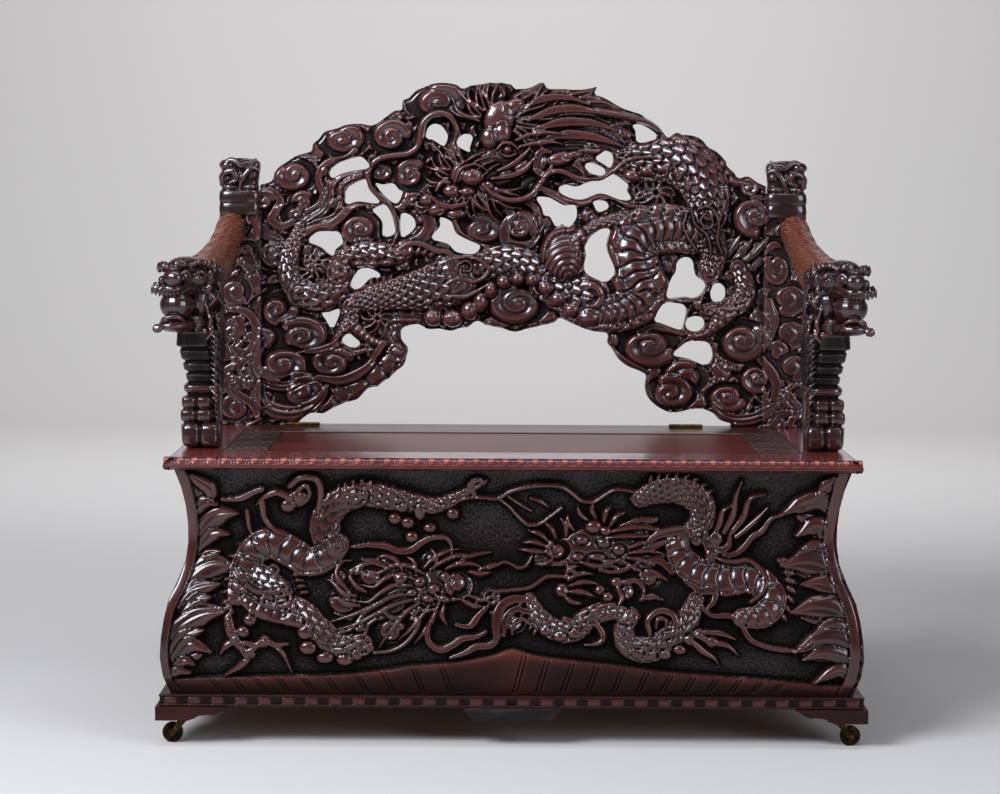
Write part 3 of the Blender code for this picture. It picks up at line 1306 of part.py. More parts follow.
def build_breast(wood):
    """The left breast: a double scroll paw on the seat, a waist, and ledges that step out to the chin."""
    rings = []
    for up, wide, deep in BREAST_SHARES:
        half_x = BREAST_WIDTH / 2 * wide
        half_y = BREAST_DEPTH / 2 * deep
        z = SEAT_TOP + GAP + up * (BREAST_HEIGHT - GAP)
        ring = []
        for i in range(BREAST_SIDES):
            angle = 2 * math.pi * i / BREAST_SIDES
            across = math.copysign(abs(math.cos(angle)) ** BREAST_ROUNDNESS, math.cos(angle))
            along = math.copysign(abs(math.sin(angle)) ** BREAST_ROUNDNESS, math.sin(angle))
            ring.append((-ARM_INNER_X - half_x + half_x * across, BREAST_BACK_Y - half_y + half_y * along, z))
        rings.append(ring)
    left = skin("arm_breast_left", wood, rings, smooth_degrees=50)
    copy_object(left, "arm_breast_right", flip_x=True)


def build():
    clear_scene()
    carved = make_material("carved_hardwood", (0.085, 0.022, 0.012), 0.28)
    polished = make_material("polished_panel", (0.10, 0.020, 0.014), 0.18)
    inside_wood = make_material("plain_inside_wood", (0.16, 0.075, 0.04), 0.55)
    worn = make_material("worn_bracket_wood", (0.16, 0.12, 0.10), 0.5)
    brass = make_material("aged_brass", (0.45, 0.26, 0.10), 0.38, 1.0)
    iron = make_material("brown_wheel", (0.10, 0.045, 0.025), 0.4, 0.6)
    build_plinth(carved)
    build_chest(carved, inside_wood)
    build_chest_front(carved)
    build_seat(carved)
    build_lid(carved, polished)
    build_hinge("left", HINGE_LEFT_SHARE * POST_INNER_X, brass)
    build_hinge("right", HINGE_RIGHT_SHARE * POST_INNER_X, brass)
    build_feet(carved, worn)
    for tag, side_x, side_y in (
        ("front_left", -1, -1),
        ("front_right", 1, -1),
        ("back_left", -1, 1),
        ("back_right", 1, 1),
    ):
        build_caster(tag, side_x, side_y, brass, iron)
    build_back_panel(carved)
    build_post("back_post_left", -1, carved)
    build_post("back_post_right", 1, carved)
    build_head(carved)
    build_neck(carved)
    build_breast(carved)


build()
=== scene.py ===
# %% [markdown]
# # A carved hall bench
# The bench is a storage chest with a lifting seat, a pierced back and two carved arms, all in
# stained and polished hardwood. The solids of its joinery are loaded as a fixed frame, and this
# script dresses them: it carves the flat boards as height maps, models the arms as round forms,
# and gives every surface its finish.

# %% Load the frame
import math

import bpy
import numpy as np
from mathutils import Matrix, Vector
from mathutils.geometry import delaunay_2d_cdt


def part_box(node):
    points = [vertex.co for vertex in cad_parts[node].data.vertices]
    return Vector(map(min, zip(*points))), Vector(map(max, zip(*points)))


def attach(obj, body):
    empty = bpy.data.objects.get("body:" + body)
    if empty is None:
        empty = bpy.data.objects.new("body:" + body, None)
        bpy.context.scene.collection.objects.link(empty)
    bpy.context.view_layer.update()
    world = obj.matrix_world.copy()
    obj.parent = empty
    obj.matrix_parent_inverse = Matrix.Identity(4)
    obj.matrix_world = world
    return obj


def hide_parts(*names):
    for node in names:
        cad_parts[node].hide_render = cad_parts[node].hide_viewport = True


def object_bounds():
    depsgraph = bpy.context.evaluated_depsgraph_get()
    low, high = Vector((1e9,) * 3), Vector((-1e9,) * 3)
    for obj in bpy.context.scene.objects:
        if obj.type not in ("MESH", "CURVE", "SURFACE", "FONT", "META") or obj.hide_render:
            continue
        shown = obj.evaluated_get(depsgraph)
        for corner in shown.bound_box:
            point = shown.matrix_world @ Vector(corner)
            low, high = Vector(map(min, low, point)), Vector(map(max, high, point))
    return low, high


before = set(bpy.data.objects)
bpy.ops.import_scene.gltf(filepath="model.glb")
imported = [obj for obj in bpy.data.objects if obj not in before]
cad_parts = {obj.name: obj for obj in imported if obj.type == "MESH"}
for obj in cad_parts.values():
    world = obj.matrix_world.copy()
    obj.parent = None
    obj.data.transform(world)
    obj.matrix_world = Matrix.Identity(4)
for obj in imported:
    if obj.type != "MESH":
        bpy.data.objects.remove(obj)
box_before = [list(map(float, corner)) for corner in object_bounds()]
chance = np.random.default_rng(7)

# %% [markdown]
# ## The camera
# The photograph was taken from a little above the back, looking slightly down. The camera comes
# first, because the carver's drawing of the chest front is laid over the photograph and thrown
# onto the board along the camera's rays.

# %% Camera
CAMERA_PLACE = Vector((-0.0265, -4.5918, 0.9799))
CAMERA_PITCH = 0.0877
CAMERA_YAW = -0.0008
CAMERA_ROLL = 0.0057
PX_FOCAL = 2541.6
PX_MIDDLE = (500.0, 397.0)
PX_ACROSS = 1000.0
SENSOR_MM = 36.0


def camera_axes():
    """Unit vectors of the picture: to its right, up it, and away into it."""
    sin_yaw, cos_yaw = math.sin(CAMERA_YAW), math.cos(CAMERA_YAW)
    sin_pitch, cos_pitch = math.sin(CAMERA_PITCH), math.cos(CAMERA_PITCH)
    flat_right = Vector((cos_yaw, sin_yaw, 0))
    flat_up = Vector((-sin_yaw * sin_pitch, cos_yaw * sin_pitch, cos_pitch))
    away = Vector((-sin_yaw * cos_pitch, cos_yaw * cos_pitch, -sin_pitch))
    right = flat_right * math.cos(CAMERA_ROLL) + flat_up * math.sin(CAMERA_ROLL)
    up = flat_up * math.cos(CAMERA_ROLL) - flat_right * math.sin(CAMERA_ROLL)
    return right, up, away


RIGHT, UP, AWAY = camera_axes()
camera = bpy.data.objects.new("camera", bpy.data.cameras.new("camera"))
camera.data.sensor_width = SENSOR_MM
camera.data.lens = PX_FOCAL / PX_ACROSS * SENSOR_MM
camera.matrix_world = Matrix.Translation(CAMERA_PLACE) @ Matrix((RIGHT, UP, -AWAY)).transposed().to_4x4()
bpy.context.scene.collection.objects.link(camera)
bpy.context.scene.camera = camera


def ray(across, down):
    """Direction through a pixel, scaled so that it goes one metre back for each metre of depth."""
    u = (across - PX_MIDDLE[0]) / PX_FOCAL
    v = (PX_MIDDLE[1] - down) / PX_FOCAL
    return RIGHT * u + UP * v + AWAY


# %% [markdown]
# ## A board to carve
# Each carved board is a height map: a grid of cells, 1.5 mm apart, that holds how far the wood
# stands forward of the board's ground. A height map suits relief carving, because a carver also
# works from one side. The drawing is a list of strokes in pixels of the photograph, and place()
# turns a pixel into millimetres on the board.

# %% Board and strokes
CELL_MM = 1.5
LINE_STEP_MM = 3.5


class Board:
    def __init__(self, left, foot, right, head, place, px_mm):
        self.left = left
        self.foot = foot
        self.columns = int(round((right - left) / CELL_MM)) + 1
        self.rows = int(round((head - foot) / CELL_MM)) + 1
        self.place = place
        self.px_mm = px_mm
        self.height = np.zeros((self.rows, self.columns))
        self.x = np.linspace(left, right, self.columns)
        self.z = np.linspace(foot, head, self.rows)

    def window(self, low_x, low_z, high_x, high_z):
        """Slices of the cells inside a box in millimetres, and their places."""
        c0 = max(0, int((low_x - self.left) / CELL_MM))
        c1 = min(self.columns, int((high_x - self.left) / CELL_MM) + 2)
        r0 = max(0, int((low_z - self.foot) / CELL_MM))
        r1 = min(self.rows, int((high_z - self.foot) / CELL_MM) + 2)
        return slice(r0, max(r0, r1)), slice(c0, max(c0, c1))


def smooth_line(points, step, closed=False):
    """Points a step apart on a smooth curve through the given ones."""
    points = np.asarray(points, float)
    if closed:
        ends = np.vstack([points[-1], points, points[:2]])
    else:
        ends = np.vstack([2 * points[0] - points[1], points, 2 * points[-1] - points[-2]])
    out = []
    for a, b, c, d in zip(ends, ends[1:], ends[2:], ends[3:]):
        count = max(1, int(np.linalg.norm(c - b) / step))
        for u in np.arange(count) / count:
            cubic = (3 * b - a - 3 * c + d) * u**3
            out.append(0.5 * (2 * b + (c - a) * u + (2 * a - 5 * b + 4 * c - d) * u**2 + cubic))
    if not closed:
        out.append(points[-1])
    return np.array(out)


def spread(values, count):
    """A list of sizes spread evenly along a stroke."""
    values = np.atleast_1d(np.asarray(values, float))
    return np.interp(np.linspace(0, 1, count), np.linspace(0, 1, len(values)), values)


# %% [markdown]
# ## Sections of a stroke
# A gouge leaves a section across each stroke: a round rope, a flat band with a lip at each edge,
# a fluted tongue. A section is a function of t, which runs from -1 to 1 across the stroke, and of
# s, the distance along it in half widths. It returns a share of the stroke's height.

# %% Sections
def round_section(t, s):
    return np.sqrt(np.clip(1 - t**2, 0, 1))


def cushion(t, s):
    return np.clip(1 - t**4, 0, 1) ** 0.5


def lipped(t, s):
    """A hollow band with a raised lip along each edge."""
    return cushion(t, s) * (0.62 + 0.38 * t**2) * 1.25


def fluted(t, s):
    """A tongue with three ridges along it."""
    return round_section(t, s) * (0.76 + 0.24 * np.cos(3 * math.pi * t))


def fluted_fine(t, s):
    return round_section(t, s) * (0.78 + 0.22 * np.cos(7 * math.pi * t))


def keeled(t, s):
    """A leaf lobe: one sharp ridge, falling away hollow to both sides."""
    return (1 - np.abs(t)) ** 0.8 * 0.75 + 0.25 * cushion(t, s)


def overlap(u, v, long=1.2, wide=0.6):
    """Height of scales on a unit lattice. Each rises towards its round tip and lies on the next."""
    row = np.floor(u)
    best = np.full(u.shape, 0.05)
    done = np.zeros(u.shape, bool)
    for back in (1, 0, -1):
        k = row - back
        shift = 0.5 * (k % 2)
        side = v - np.round(v - shift) - shift
        reach = ((u - k) / long) ** 2 + (side / wide) ** 2
        hit = (reach < 1) & (u >= k - 0.35) & ~done
        rise = np.clip(0.2 + 0.8 * (u - k), 0, 1) * (1 - 0.5 * (side / wide) ** 2)
        best[hit] = (rise * np.clip((1 - reach) * 6, 0, 1) ** 0.5)[hit]
        done |= hit
    return best


def fish_scales(t, s, rows, across, body=0.58, relief=0.42):
    """Scales on a round body: rows to each half width along it, and how many lie across it."""
    angle = np.arcsin(np.clip(t, -1, 1)) / math.pi
    return round_section(t, s) * body + relief * overlap(s * rows, angle * across)


def scaled(t, s):
    """The widest scales, on the dragon of the back."""
    return fish_scales(t, s, 1.45, 4.4)


def scaled_big(t, s):
    return fish_scales(t, s, 2.0, 5.6)


def scaled_fine(t, s):
    return fish_scales(t, s, 2.6, 7, 0.6, 0.4)


def tiles(t, s, rate, lumps, wave):
    """Fat tiles in wavy rows across a body, each row lying on the next."""
    angle = np.arcsin(np.clip(t, -1, 1)) / math.pi
    ramp = np.mod(s * rate + wave * np.cos(2 * math.pi * lumps * angle), 1.0)
    row = np.sqrt(np.clip(1 - (2 * ramp - 1) ** 4, 0, 1)) * (0.55 + 0.45 * ramp)
    lump = np.abs(np.cos(math.pi * lumps * angle)) ** 0.45
    return round_section(t, s) * 0.5 + 0.5 * row * (0.35 + 0.65 * lump)


def plated(t, s):
    """The belly of the back's dragon: wavy rows, three tiles across."""
    return tiles(t, s, 2.5, 3, 0.16)


def plated_big(t, s):
    """The loops of the front's dragons: two tiles across."""
    return tiles(t, s, 1.15, 2, 0.1)


def leaning(t, s):
    """A band whose crest lies to one side, hollowed towards the other."""
    crest = np.where(t < -0.3, 1 - ((t + 0.3) / 0.7) ** 2, 1 - 0.6 * ((t + 0.3) / 1.3) ** 1.7)
    return np.clip(crest, 0, 1)


def leaning_back(t, s):
    return leaning(-t, s)


def ringed(t, s):
    """A limb with a ring every half width."""
    return round_section(t, s) * (0.8 + 0.2 * np.abs(np.sin(math.pi * s * 0.9)))


# %% [markdown]
# ## Laying a stroke
# A stroke stands on a straight wall and has its section on top. A narrow ditch is cut beside it
# first, as a carver sets in each form with a gouge, because the dark line that it makes is what
# tells one form from the next.

# %% Strokes, domes and scrolls
SCROLL_WIDTHS = (0.37, 0.3, 0.2, 0.23, 0.28, 0.3, 0.28)
SCROLL_FULLNESS = 1.08
WALL_SHARE = 0.5
DITCH_MM = 3.2
DITCH_DEPTH_MM = 4.0
UNREACHED = 99.0
LEAST_HALF_MM = 0.5
DITCH_FLOOR_MM = -2.0
LOCK_SWAY = 0.07


def trace(board, line, half, top, reach):
    """Where cells lie along a line: slices, nearness, and (across, along, half width, top).

    The distance along is counted in half widths, so that scales keep their shape where a body swells.
    """
    low = line.min(0) - half.max() - reach
    high = line.max(0) + half.max() + reach
    rows, columns = board.window(low[0], low[1], high[0], high[1])
    xs = board.x[columns][None, :]
    zs = board.z[rows][:, None]
    shape = (rows.stop - rows.start, columns.stop - columns.start)
    near = np.full(shape, UNREACHED)
    found = np.zeros((4, *shape))
    travelled = 0.0
    for i in range(len(line) - 1):
        a, b = line[i], line[i + 1]
        span = b - a
        length = math.hypot(*span)
        if length < 1e-6:
            continue
        wide = max(half[i], half[i + 1]) + reach
        r = slice(
            max(0, int((min(a[1], b[1]) - wide - board.z[0]) / CELL_MM) - rows.start),
            max(0, int((max(a[1], b[1]) + wide - board.z[0]) / CELL_MM) + 2 - rows.start),
        )
        c = slice(
            max(0, int((min(a[0], b[0]) - wide - board.x[0]) / CELL_MM) - columns.start),
            max(0, int((max(a[0], b[0]) + wide - board.x[0]) / CELL_MM) + 2 - columns.start),
        )
        dx = xs[:, c] - a[0]
        dz = zs[r] - a[1]
        steps = length / max(LEAST_HALF_MM, (half[i] + half[i + 1]) / 2)
        if dx.size == 0 or dz.size == 0:
            travelled += steps
            continue
        share = np.clip((dx * span[0] + dz * span[1]) / length**2, 0, 1)
        w = half[i] + (half[i + 1] - half[i]) * share
        side = (span[0] * dz - span[1] * dx) / length
        away = np.hypot(dx - share * span[0], dz - share * span[1])
        ratio = away / np.maximum(w, 0.05)
        better = ratio < near[r, c]
        near[r, c] = np.where(better, ratio, near[r, c])
        signed = np.where(side >= 0, ratio, -ratio)
        for k, value in enumerate(
            (signed, travelled + share * steps, w, top[i] + (top[i + 1] - top[i]) * share),
        ):
            found[k][r, c] = np.where(better, value, found[k][r, c])
        travelled += steps
    return (rows, columns), near, found


def stroke(board, section, widths, tops, points, wall=WALL_SHARE, ditch=DITCH_MM, dig=DITCH_DEPTH_MM):
    """Lays one stroke. Points and half widths are in pixels of the photo, tops in millimetres."""
    line = smooth_line([board.place(*p) for p in points], LINE_STEP_MM)
    half = spread(widths, len(line)) * board.px_mm
    where, near, (t, s, w, top) = trace(board, line, half, spread(tops, len(line)), ditch)
    height = board.height[where]
    beyond = (near - 1) * w
    ring = (near > 1) & (near < UNREACHED) & (beyond < ditch)
    height = np.where(
        ring, np.maximum(height - dig * (1 - beyond / ditch), np.minimum(height, DITCH_FLOOR_MM)), height,
    )
    inside = near <= 1
    form = top * (wall + (1 - wall) * section(np.clip(t, -1, 1), s))
    board.height[where] = np.where(inside, np.maximum(height, form), height)


def dome(board, x, y, rx, ry, top, turn=0.0, wall=WALL_SHARE, power=2.0, dig=DITCH_DEPTH_MM):
    """A round or oval boss."""
    cx, cz = board.place(x, y)
    rx, ry = rx * board.px_mm, ry * board.px_mm
    reach = max(rx, ry) + DITCH_MM
    where = board.window(cx - reach, cz - reach, cx + reach, cz + reach)
    dx = board.x[where[1]][None, :] - cx
    dz = board.z[where[0]][:, None] - cz
    angle = math.radians(turn)
    u = dx * math.cos(angle) - dz * math.sin(angle)
    v = dx * math.sin(angle) + dz * math.cos(angle)
    ratio = np.hypot(u / rx, v / ry)
    beyond = (ratio - 1) * min(rx, ry)
    height = board.height[where]
    ring = (ratio > 1) & (beyond < DITCH_MM)
    height = np.where(
        ring, np.maximum(height - dig * (1 - beyond / DITCH_MM), np.minimum(height, DITCH_FLOOR_MM)), height,
    )
    form = top * (wall + (1 - wall) * np.clip(1 - ratio**power, 0, 1) ** 0.5)
    board.height[where] = np.where(ratio <= 1, np.maximum(height, form), height)


def scroll(board, x, y, rx, ry, top, turns=1.35, start=0.0, hand=1, section=None):
    """A cloud scroll: a boss whose fat band winds out of it round a deep hollow."""
    cx, cz = board.place(x, y)
    rx, ry = rx * SCROLL_FULLNESS, ry * SCROLL_FULLNESS
    mm_x, mm_y = rx * board.px_mm, ry * board.px_mm
    where = board.window(cx - mm_x, cz - mm_y, cx + mm_x, cz + mm_y)
    dx = (board.x[where[1]][None, :] - cx) / mm_x
    dz = (board.z[where[0]][:, None] - cz) / mm_y
    inside = dx**2 + dz**2 < 0.9
    board.height[where] = np.where(inside, 0.2 * top, board.height[where])
    count = max(8, int(turns * 12))
    points = []
    for k in range(count + 1):
        share = k / count
        angle = math.radians(start) + hand * share * turns * 2 * math.pi
        out = (1 - SCROLL_WIDTHS[-1]) * share**0.8
        points.append((x + rx * out * math.cos(angle), y + ry * out * math.sin(angle)))
    mean = (rx + ry) / 2
    widths = [share * mean for share in SCROLL_WIDTHS]
    stroke(
        board, section or (leaning if hand < 0 else leaning_back), widths, (top, top * 0.86, top), points,
        ditch=2.2, dig=4.0,
    )


def fan(board, section, x, y, near, far, first, last, count, widths, tops, bend=0.0):
    """Tongues that radiate from a point between two bearings, in degrees clockwise from the right."""
    for k in range(count):
        bearing = math.radians(first + (last - first) * k / max(1, count - 1))
        reach = far * (1 + 0.12 * math.sin(k * 2.4))
        points = []
        for share in (0.0, 0.35, 0.7, 1.0):
            out = near + (reach - near) * share
            swing = bearing + bend * share**2 + LOCK_SWAY * math.sin(5 * share + 1.9 * k)
            points.append((x + out * math.cos(swing), y + out * math.sin(swing)))
        stroke(board, section, widths, tops, points, ditch=1.6, dig=3.0)


def fins(board, points, pitch, size, tops, side=1, lean=0.6):
    """A row of pointed fins along one edge of a body, leaning backwards."""
    line = smooth_line(points, pitch)
    for a, b in zip(line, line[1:]):
        run = (b - a) / max(1e-6, math.dist(a, b))
        out = np.array((run[1], -run[0])) * side
        tip = a + run * size * lean + out * size
        stroke(
            board, keeled, (size * 0.42, size * 0.4, 0.4), tops,
            (a - out * size * 0.2, (a + tip) / 2 + out, tip), ditch=1.4, dig=3.0,
        )


# %% [markdown]
# ## The drawing of the back
# The drawing is read from the photograph, pixel by pixel, form by form, from the ground up: first
# the clouds, then the ribbons between them, then the dragon. Later strokes stand on earlier ones.

# %% Frame of the back
PX_BACK_MIDDLE = 513.0
PX_BACK_WIDTH = 584.9
PX_BACK_TOP = 82.0
PX_BACK_FOOT = 426.2
PX_TILT = 0.0057
PX_TAPER = 3.4e-5
PX_LEVEL = 255.0
BACK_WIDTH_MM = 1120.0
BACK_HEIGHT_MM = 656.5
SEAT_TOP_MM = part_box("seat_end_left")[1].z * 1000
POST_INNER_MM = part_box("back_post_right")[0].x * 1000
POST_OUTER_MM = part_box("back_post_right")[1].x * 1000
PANEL_BACK_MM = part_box("back_panel")[1].y * 1000
GROUND_MM = PANEL_BACK_MM - 22.0


def back_place(across, down):
    """A pixel of the photo as millimetres on the back: (across, up)."""
    level = down - PX_TILT * (across - PX_BACK_MIDDLE) - PX_LEVEL
    scale = BACK_WIDTH_MM / PX_BACK_WIDTH
    x = (across - PX_BACK_MIDDLE + PX_TILT * level) * scale * (1 + PX_TAPER * level)
    foot = PX_BACK_FOOT - PX_LEVEL
    top = PX_BACK_TOP - PX_LEVEL
    whole = (foot + PX_TAPER * foot**2) - (top + PX_TAPER * top**2)
    share = ((foot + PX_TAPER * foot**2) - (level + PX_TAPER * level**2)) / whole
    return (x, SEAT_TOP_MM + share * BACK_HEIGHT_MM)


back = Board(
    -POST_OUTER_MM, SEAT_TOP_MM, POST_OUTER_MM, SEAT_TOP_MM + BACK_HEIGHT_MM,
    back_place, BACK_WIDTH_MM / PX_BACK_WIDTH,
)
print("back:", back.rows, "x", back.columns, "cells")

# %% Outline and openings of the back
PX_CREST = (
    (262, 184), (272, 180), (275, 172), (280, 166), (287, 161), (295, 156), (303, 153), (312, 150),
    (313, 144),
    (319, 138), (325, 131), (337, 128), (347, 124), (362, 123), (370, 125), (378, 122), (385, 117),
    (395, 110),
    (402, 109), (403, 100), (409, 97), (416, 90), (425, 86), (433, 83), (445, 82), (457, 84), (463, 88),
    (470, 85),
    (483, 83), (496, 81), (512, 84), (515, 88), (530, 87), (538, 83), (544, 82), (548, 88), (560, 88),
    (575, 89),
    (590, 88), (597, 86), (595, 93), (602, 96), (610, 100), (620, 106), (631, 110), (640, 113), (648, 118),
    (655, 122), (662, 129), (668, 137), (677, 132), (682, 134), (693, 135), (702, 139), (708, 146),
    (718, 152),
    (726, 160), (727, 165), (735, 173), (738, 178), (744, 177), (749, 176), (758, 182), (769, 187),
)
PX_UNDERSIDE = (
    (732, 424), (720, 420), (713, 413), (700, 409), (687, 411), (675, 413), (668, 412), (658, 407),
    (649, 398),
    (646, 387), (647, 376), (640, 371), (628, 366), (618, 358), (614, 350), (608, 343), (609, 338),
    (607, 333),
    (590, 330), (572, 323), (560, 318), (555, 322), (540, 326), (527, 329), (515, 332), (502, 328),
    (487, 325),
    (477, 321), (468, 327), (461, 328), (451, 331), (440, 329), (428, 329), (418, 324), (404, 327),
    (401, 331),
    (400, 336), (402, 341), (408, 349), (407, 354), (404, 365), (395, 372), (390, 378), (384, 381),
    (377, 387),
    (369, 388), (363, 394), (358, 399), (352, 401), (342, 404), (332, 409), (322, 414), (312, 413),
    (305, 417),
    (297, 424),
)
PX_PIERCINGS = (
    ((329, 174), (331, 168), (339, 162), (350, 158), (358, 156), (363, 157), (370, 165), (367, 168),
        (350, 171),
     (340, 174), (333, 178)),
    ((346, 204), (345, 196), (346, 189), (350, 185), (358, 181), (366, 179), (370, 189), (380, 201),
        (374, 203),
     (358, 201)),
    ((375, 183), (383, 184), (393, 183), (399, 189), (403, 192), (397, 203), (386, 197)),
    ((401, 214), (409, 214), (414, 218), (416, 224), (413, 230), (407, 235), (401, 236)),
    ((372, 210), (378, 206), (385, 204), (390, 210), (395, 226), (394, 234), (383, 236), (382, 222),
        (376, 214)),
    ((308, 242), (309, 238), (315, 233), (321, 231), (331, 231), (339, 232), (343, 242), (336, 249),
        (332, 256),
     (320, 247)),
    ((426, 138), (426, 133), (428, 127), (433, 123), (440, 124), (445, 129), (448, 136), (444, 145),
        (433, 139)),
    ((457, 140), (460, 136), (465, 133), (471, 134), (473, 137), (470, 148), (471, 152), (459, 146)),
    ((440, 217), (451, 221), (456, 232), (465, 238), (480, 245), (479, 250), (473, 254), (457, 252),
        (448, 244),
     (432, 238), (440, 226)),
    ((537, 197), (549, 197), (557, 201), (565, 205), (576, 205), (577, 218), (569, 227), (563, 224),
        (557, 227),
     (550, 216), (545, 216), (542, 207)),
    ((559, 188), (566, 184), (577, 186), (590, 181), (601, 180), (609, 176), (615, 174), (629, 184),
        (628, 190),
     (632, 199), (620, 199), (601, 193), (582, 199), (565, 195)),
    ((594, 201), (602, 200), (608, 202), (609, 208), (599, 212), (596, 208)),
    ((596, 158), (601, 153), (606, 150), (612, 152), (614, 157), (613, 164), (610, 168), (605, 164)),
    ((585, 165), (590, 162), (598, 164), (607, 170), (602, 175), (590, 172)),
    ((633, 125), (640, 123), (649, 127), (657, 133), (657, 138), (643, 142), (637, 140), (636, 130)),
    ((585, 246), (589, 239), (596, 232), (604, 228), (611, 230), (608, 240), (608, 250), (614, 265),
        (616, 273),
     (608, 282), (601, 281), (585, 271), (586, 254)),
    ((677, 263), (682, 258), (688, 257), (694, 261), (697, 275), (707, 285), (698, 298), (686, 297),
        (668, 298),
     (669, 286), (676, 271)),
    ((711, 293), (713, 286), (719, 283), (725, 286), (727, 293), (725, 300), (719, 303), (713, 300)),
    ((663, 304), (676, 303), (687, 308), (684, 328), (680, 330), (663, 324), (655, 320)),
    ((686, 324), (689, 318), (696, 316), (703, 318), (706, 324), (703, 330), (696, 332), (689, 330)),
    ((674, 355), (684, 344), (692, 341), (709, 343), (714, 357), (707, 366), (691, 360)),
    ((352, 289), (351, 282), (356, 273), (360, 269), (370, 268), (380, 274), (379, 278), (371, 278),
        (360, 288)),
    ((321, 313), (329, 312), (339, 309), (339, 316), (332, 329), (325, 320)),
    ((341, 342), (343, 338), (347, 334), (352, 335), (360, 343), (358, 347), (350, 348)),
)

# %% [markdown]
# ### Clouds
# Each cloud is a scroll: centre, half sizes, height, turns, the bearing where its band starts and
# the hand that it winds. The lower clouds hang in lobes, which are plain domes.

# %% Clouds of the back
PX_SCROLLS = (
    (295, 174, 22, 17, 19, 1.4, 60, 1), (343, 139, 26, 17, 18, 1.4, 20, -1),
    (391, 136, 22, 18, 18, 1.4, 200, 1),
    (440, 101, 34, 20, 20, 1.35, 30, -1), (490, 92, 20, 12, 18, 1.3, 0, 1),
    (303, 202, 14, 12, 19, 1.6, 90, 1),
    (297, 214, 16, 12, 17, 1.2, 0, -1), (265, 201, 13, 13, 18, 1.2, 270, 1),
    (273, 252, 17, 17, 18, 1.6, 180, -1),
    (236, 291, 16, 15, 12, 1.35, 180, -1), (278, 310, 22, 19, 22, 1.0, 0, -1),
    (303, 337, 30, 20, 21, 1.35, 0, -1),
    (284, 364, 32, 19, 22, 1.4, 0, 1), (333, 363, 26, 17, 22, 1.4, 180, 1),
    (303, 392, 28, 18, 20, 1.3, 0, -1),
    (237, 408, 18, 15, 12, 1.3, 180, 1), (411, 174, 18, 17, 19, 1.3, 200, 1),
    (361, 228, 22, 17, 18, 1.3, 180, -1),
    (482, 229, 26, 17, 17, 1.3, 0, -1), (520, 226, 20, 18, 22, 1.5, 200, 1),
    (518, 303, 31, 22, 22, 1.7, 0, 1),
    (650, 346, 31, 20, 23, 1.4, 180, -1), (685, 377, 24, 17, 22, 1.3, 180, 1),
    (671, 393, 26, 18, 20, 1.3, 0, -1),
    (728, 397, 22, 15, 20, 1.4, 180, -1), (742, 341, 27, 22, 22, 1.6, 180, -1),
    (757, 378, 18, 16, 21, 1.3, 180, -1),
    (755, 215, 23, 22, 23, 1.3, 200, -1), (748, 187, 13, 12, 18, 1.2, 0, -1),
    (789, 298, 21, 17, 12, 1.3, 0, 1),
    (790, 333, 20, 16, 12, 1.3, 0, 1), (778, 352, 13, 12, 13, 1.4, 0, -1), (793, 367, 18, 15, 12, 1.2, 0, 1),
    (778, 268, 14, 20, 14, 1.3, 90, 1), (668, 264, 13, 17, 18, 1.1, 0, 1), (380, 172, 18, 11, 14, 1.6, 0, -1),
)
PX_LOBES = (
    (318, 148, 9, 10, 14), (328, 136, 9, 9, 14), (352, 127, 10, 6, 13), (366, 127, 8, 5, 13),
    (383, 120, 9, 6, 14),
    (409, 106, 8, 9, 16), (396, 115, 9, 6, 13), (303, 160, 15, 7, 17), (284, 166, 8, 7, 14),
    (312, 168, 8, 9, 15),
    (398, 352, 10, 10, 16), (388, 364, 9, 10, 17), (376, 376, 11, 11, 18), (358, 388, 12, 11, 17),
    (342, 394, 10, 9, 16), (326, 402, 10, 10, 14), (404, 341, 8, 9, 12), (408, 198, 12, 9, 16),
    (399, 205, 9, 7, 14),
    (425, 205, 9, 8, 14), (548, 218, 9, 9, 16), (541, 206, 9, 10, 18), (612, 340, 8, 10, 16),
    (652, 372, 11, 9, 16),
    (700, 360, 12, 6, 15), (716, 360, 9, 14, 12), (655, 401, 9, 9, 14), (697, 402, 12, 9, 14),
    (722, 372, 10, 10, 14),
    (250, 262, 9, 11, 14), (256, 283, 8, 10, 15), (246, 372, 8, 7, 12), (240, 384, 8, 8, 12),
    (262, 380, 9, 6, 14),
    (228, 352, 6, 9, 12), (262, 233, 12, 10, 12), (760, 320, 12, 12, 16), (765, 300, 10, 10, 12),
    (766, 195, 9, 9, 14),
    (735, 196, 9, 12, 12), (500, 321, 14, 7, 17), (548, 318, 12, 8, 17), (480, 243, 18, 8, 14),
    (330, 186, 8, 12, 12),
    (425, 330, 4, 3, 10), (392, 335, 9, 12, 14), (640, 330, 14, 8, 16), (668, 330, 14, 8, 16),
    (590, 215, 9, 9, 14),
)

# %% [markdown]
# ### Ribbons
# Between the clouds run ribbons of vapour: bands with a lip at each edge, or fluted tongues that
# thin out to a point. Each entry gives the section, half widths, heights and the points it passes.

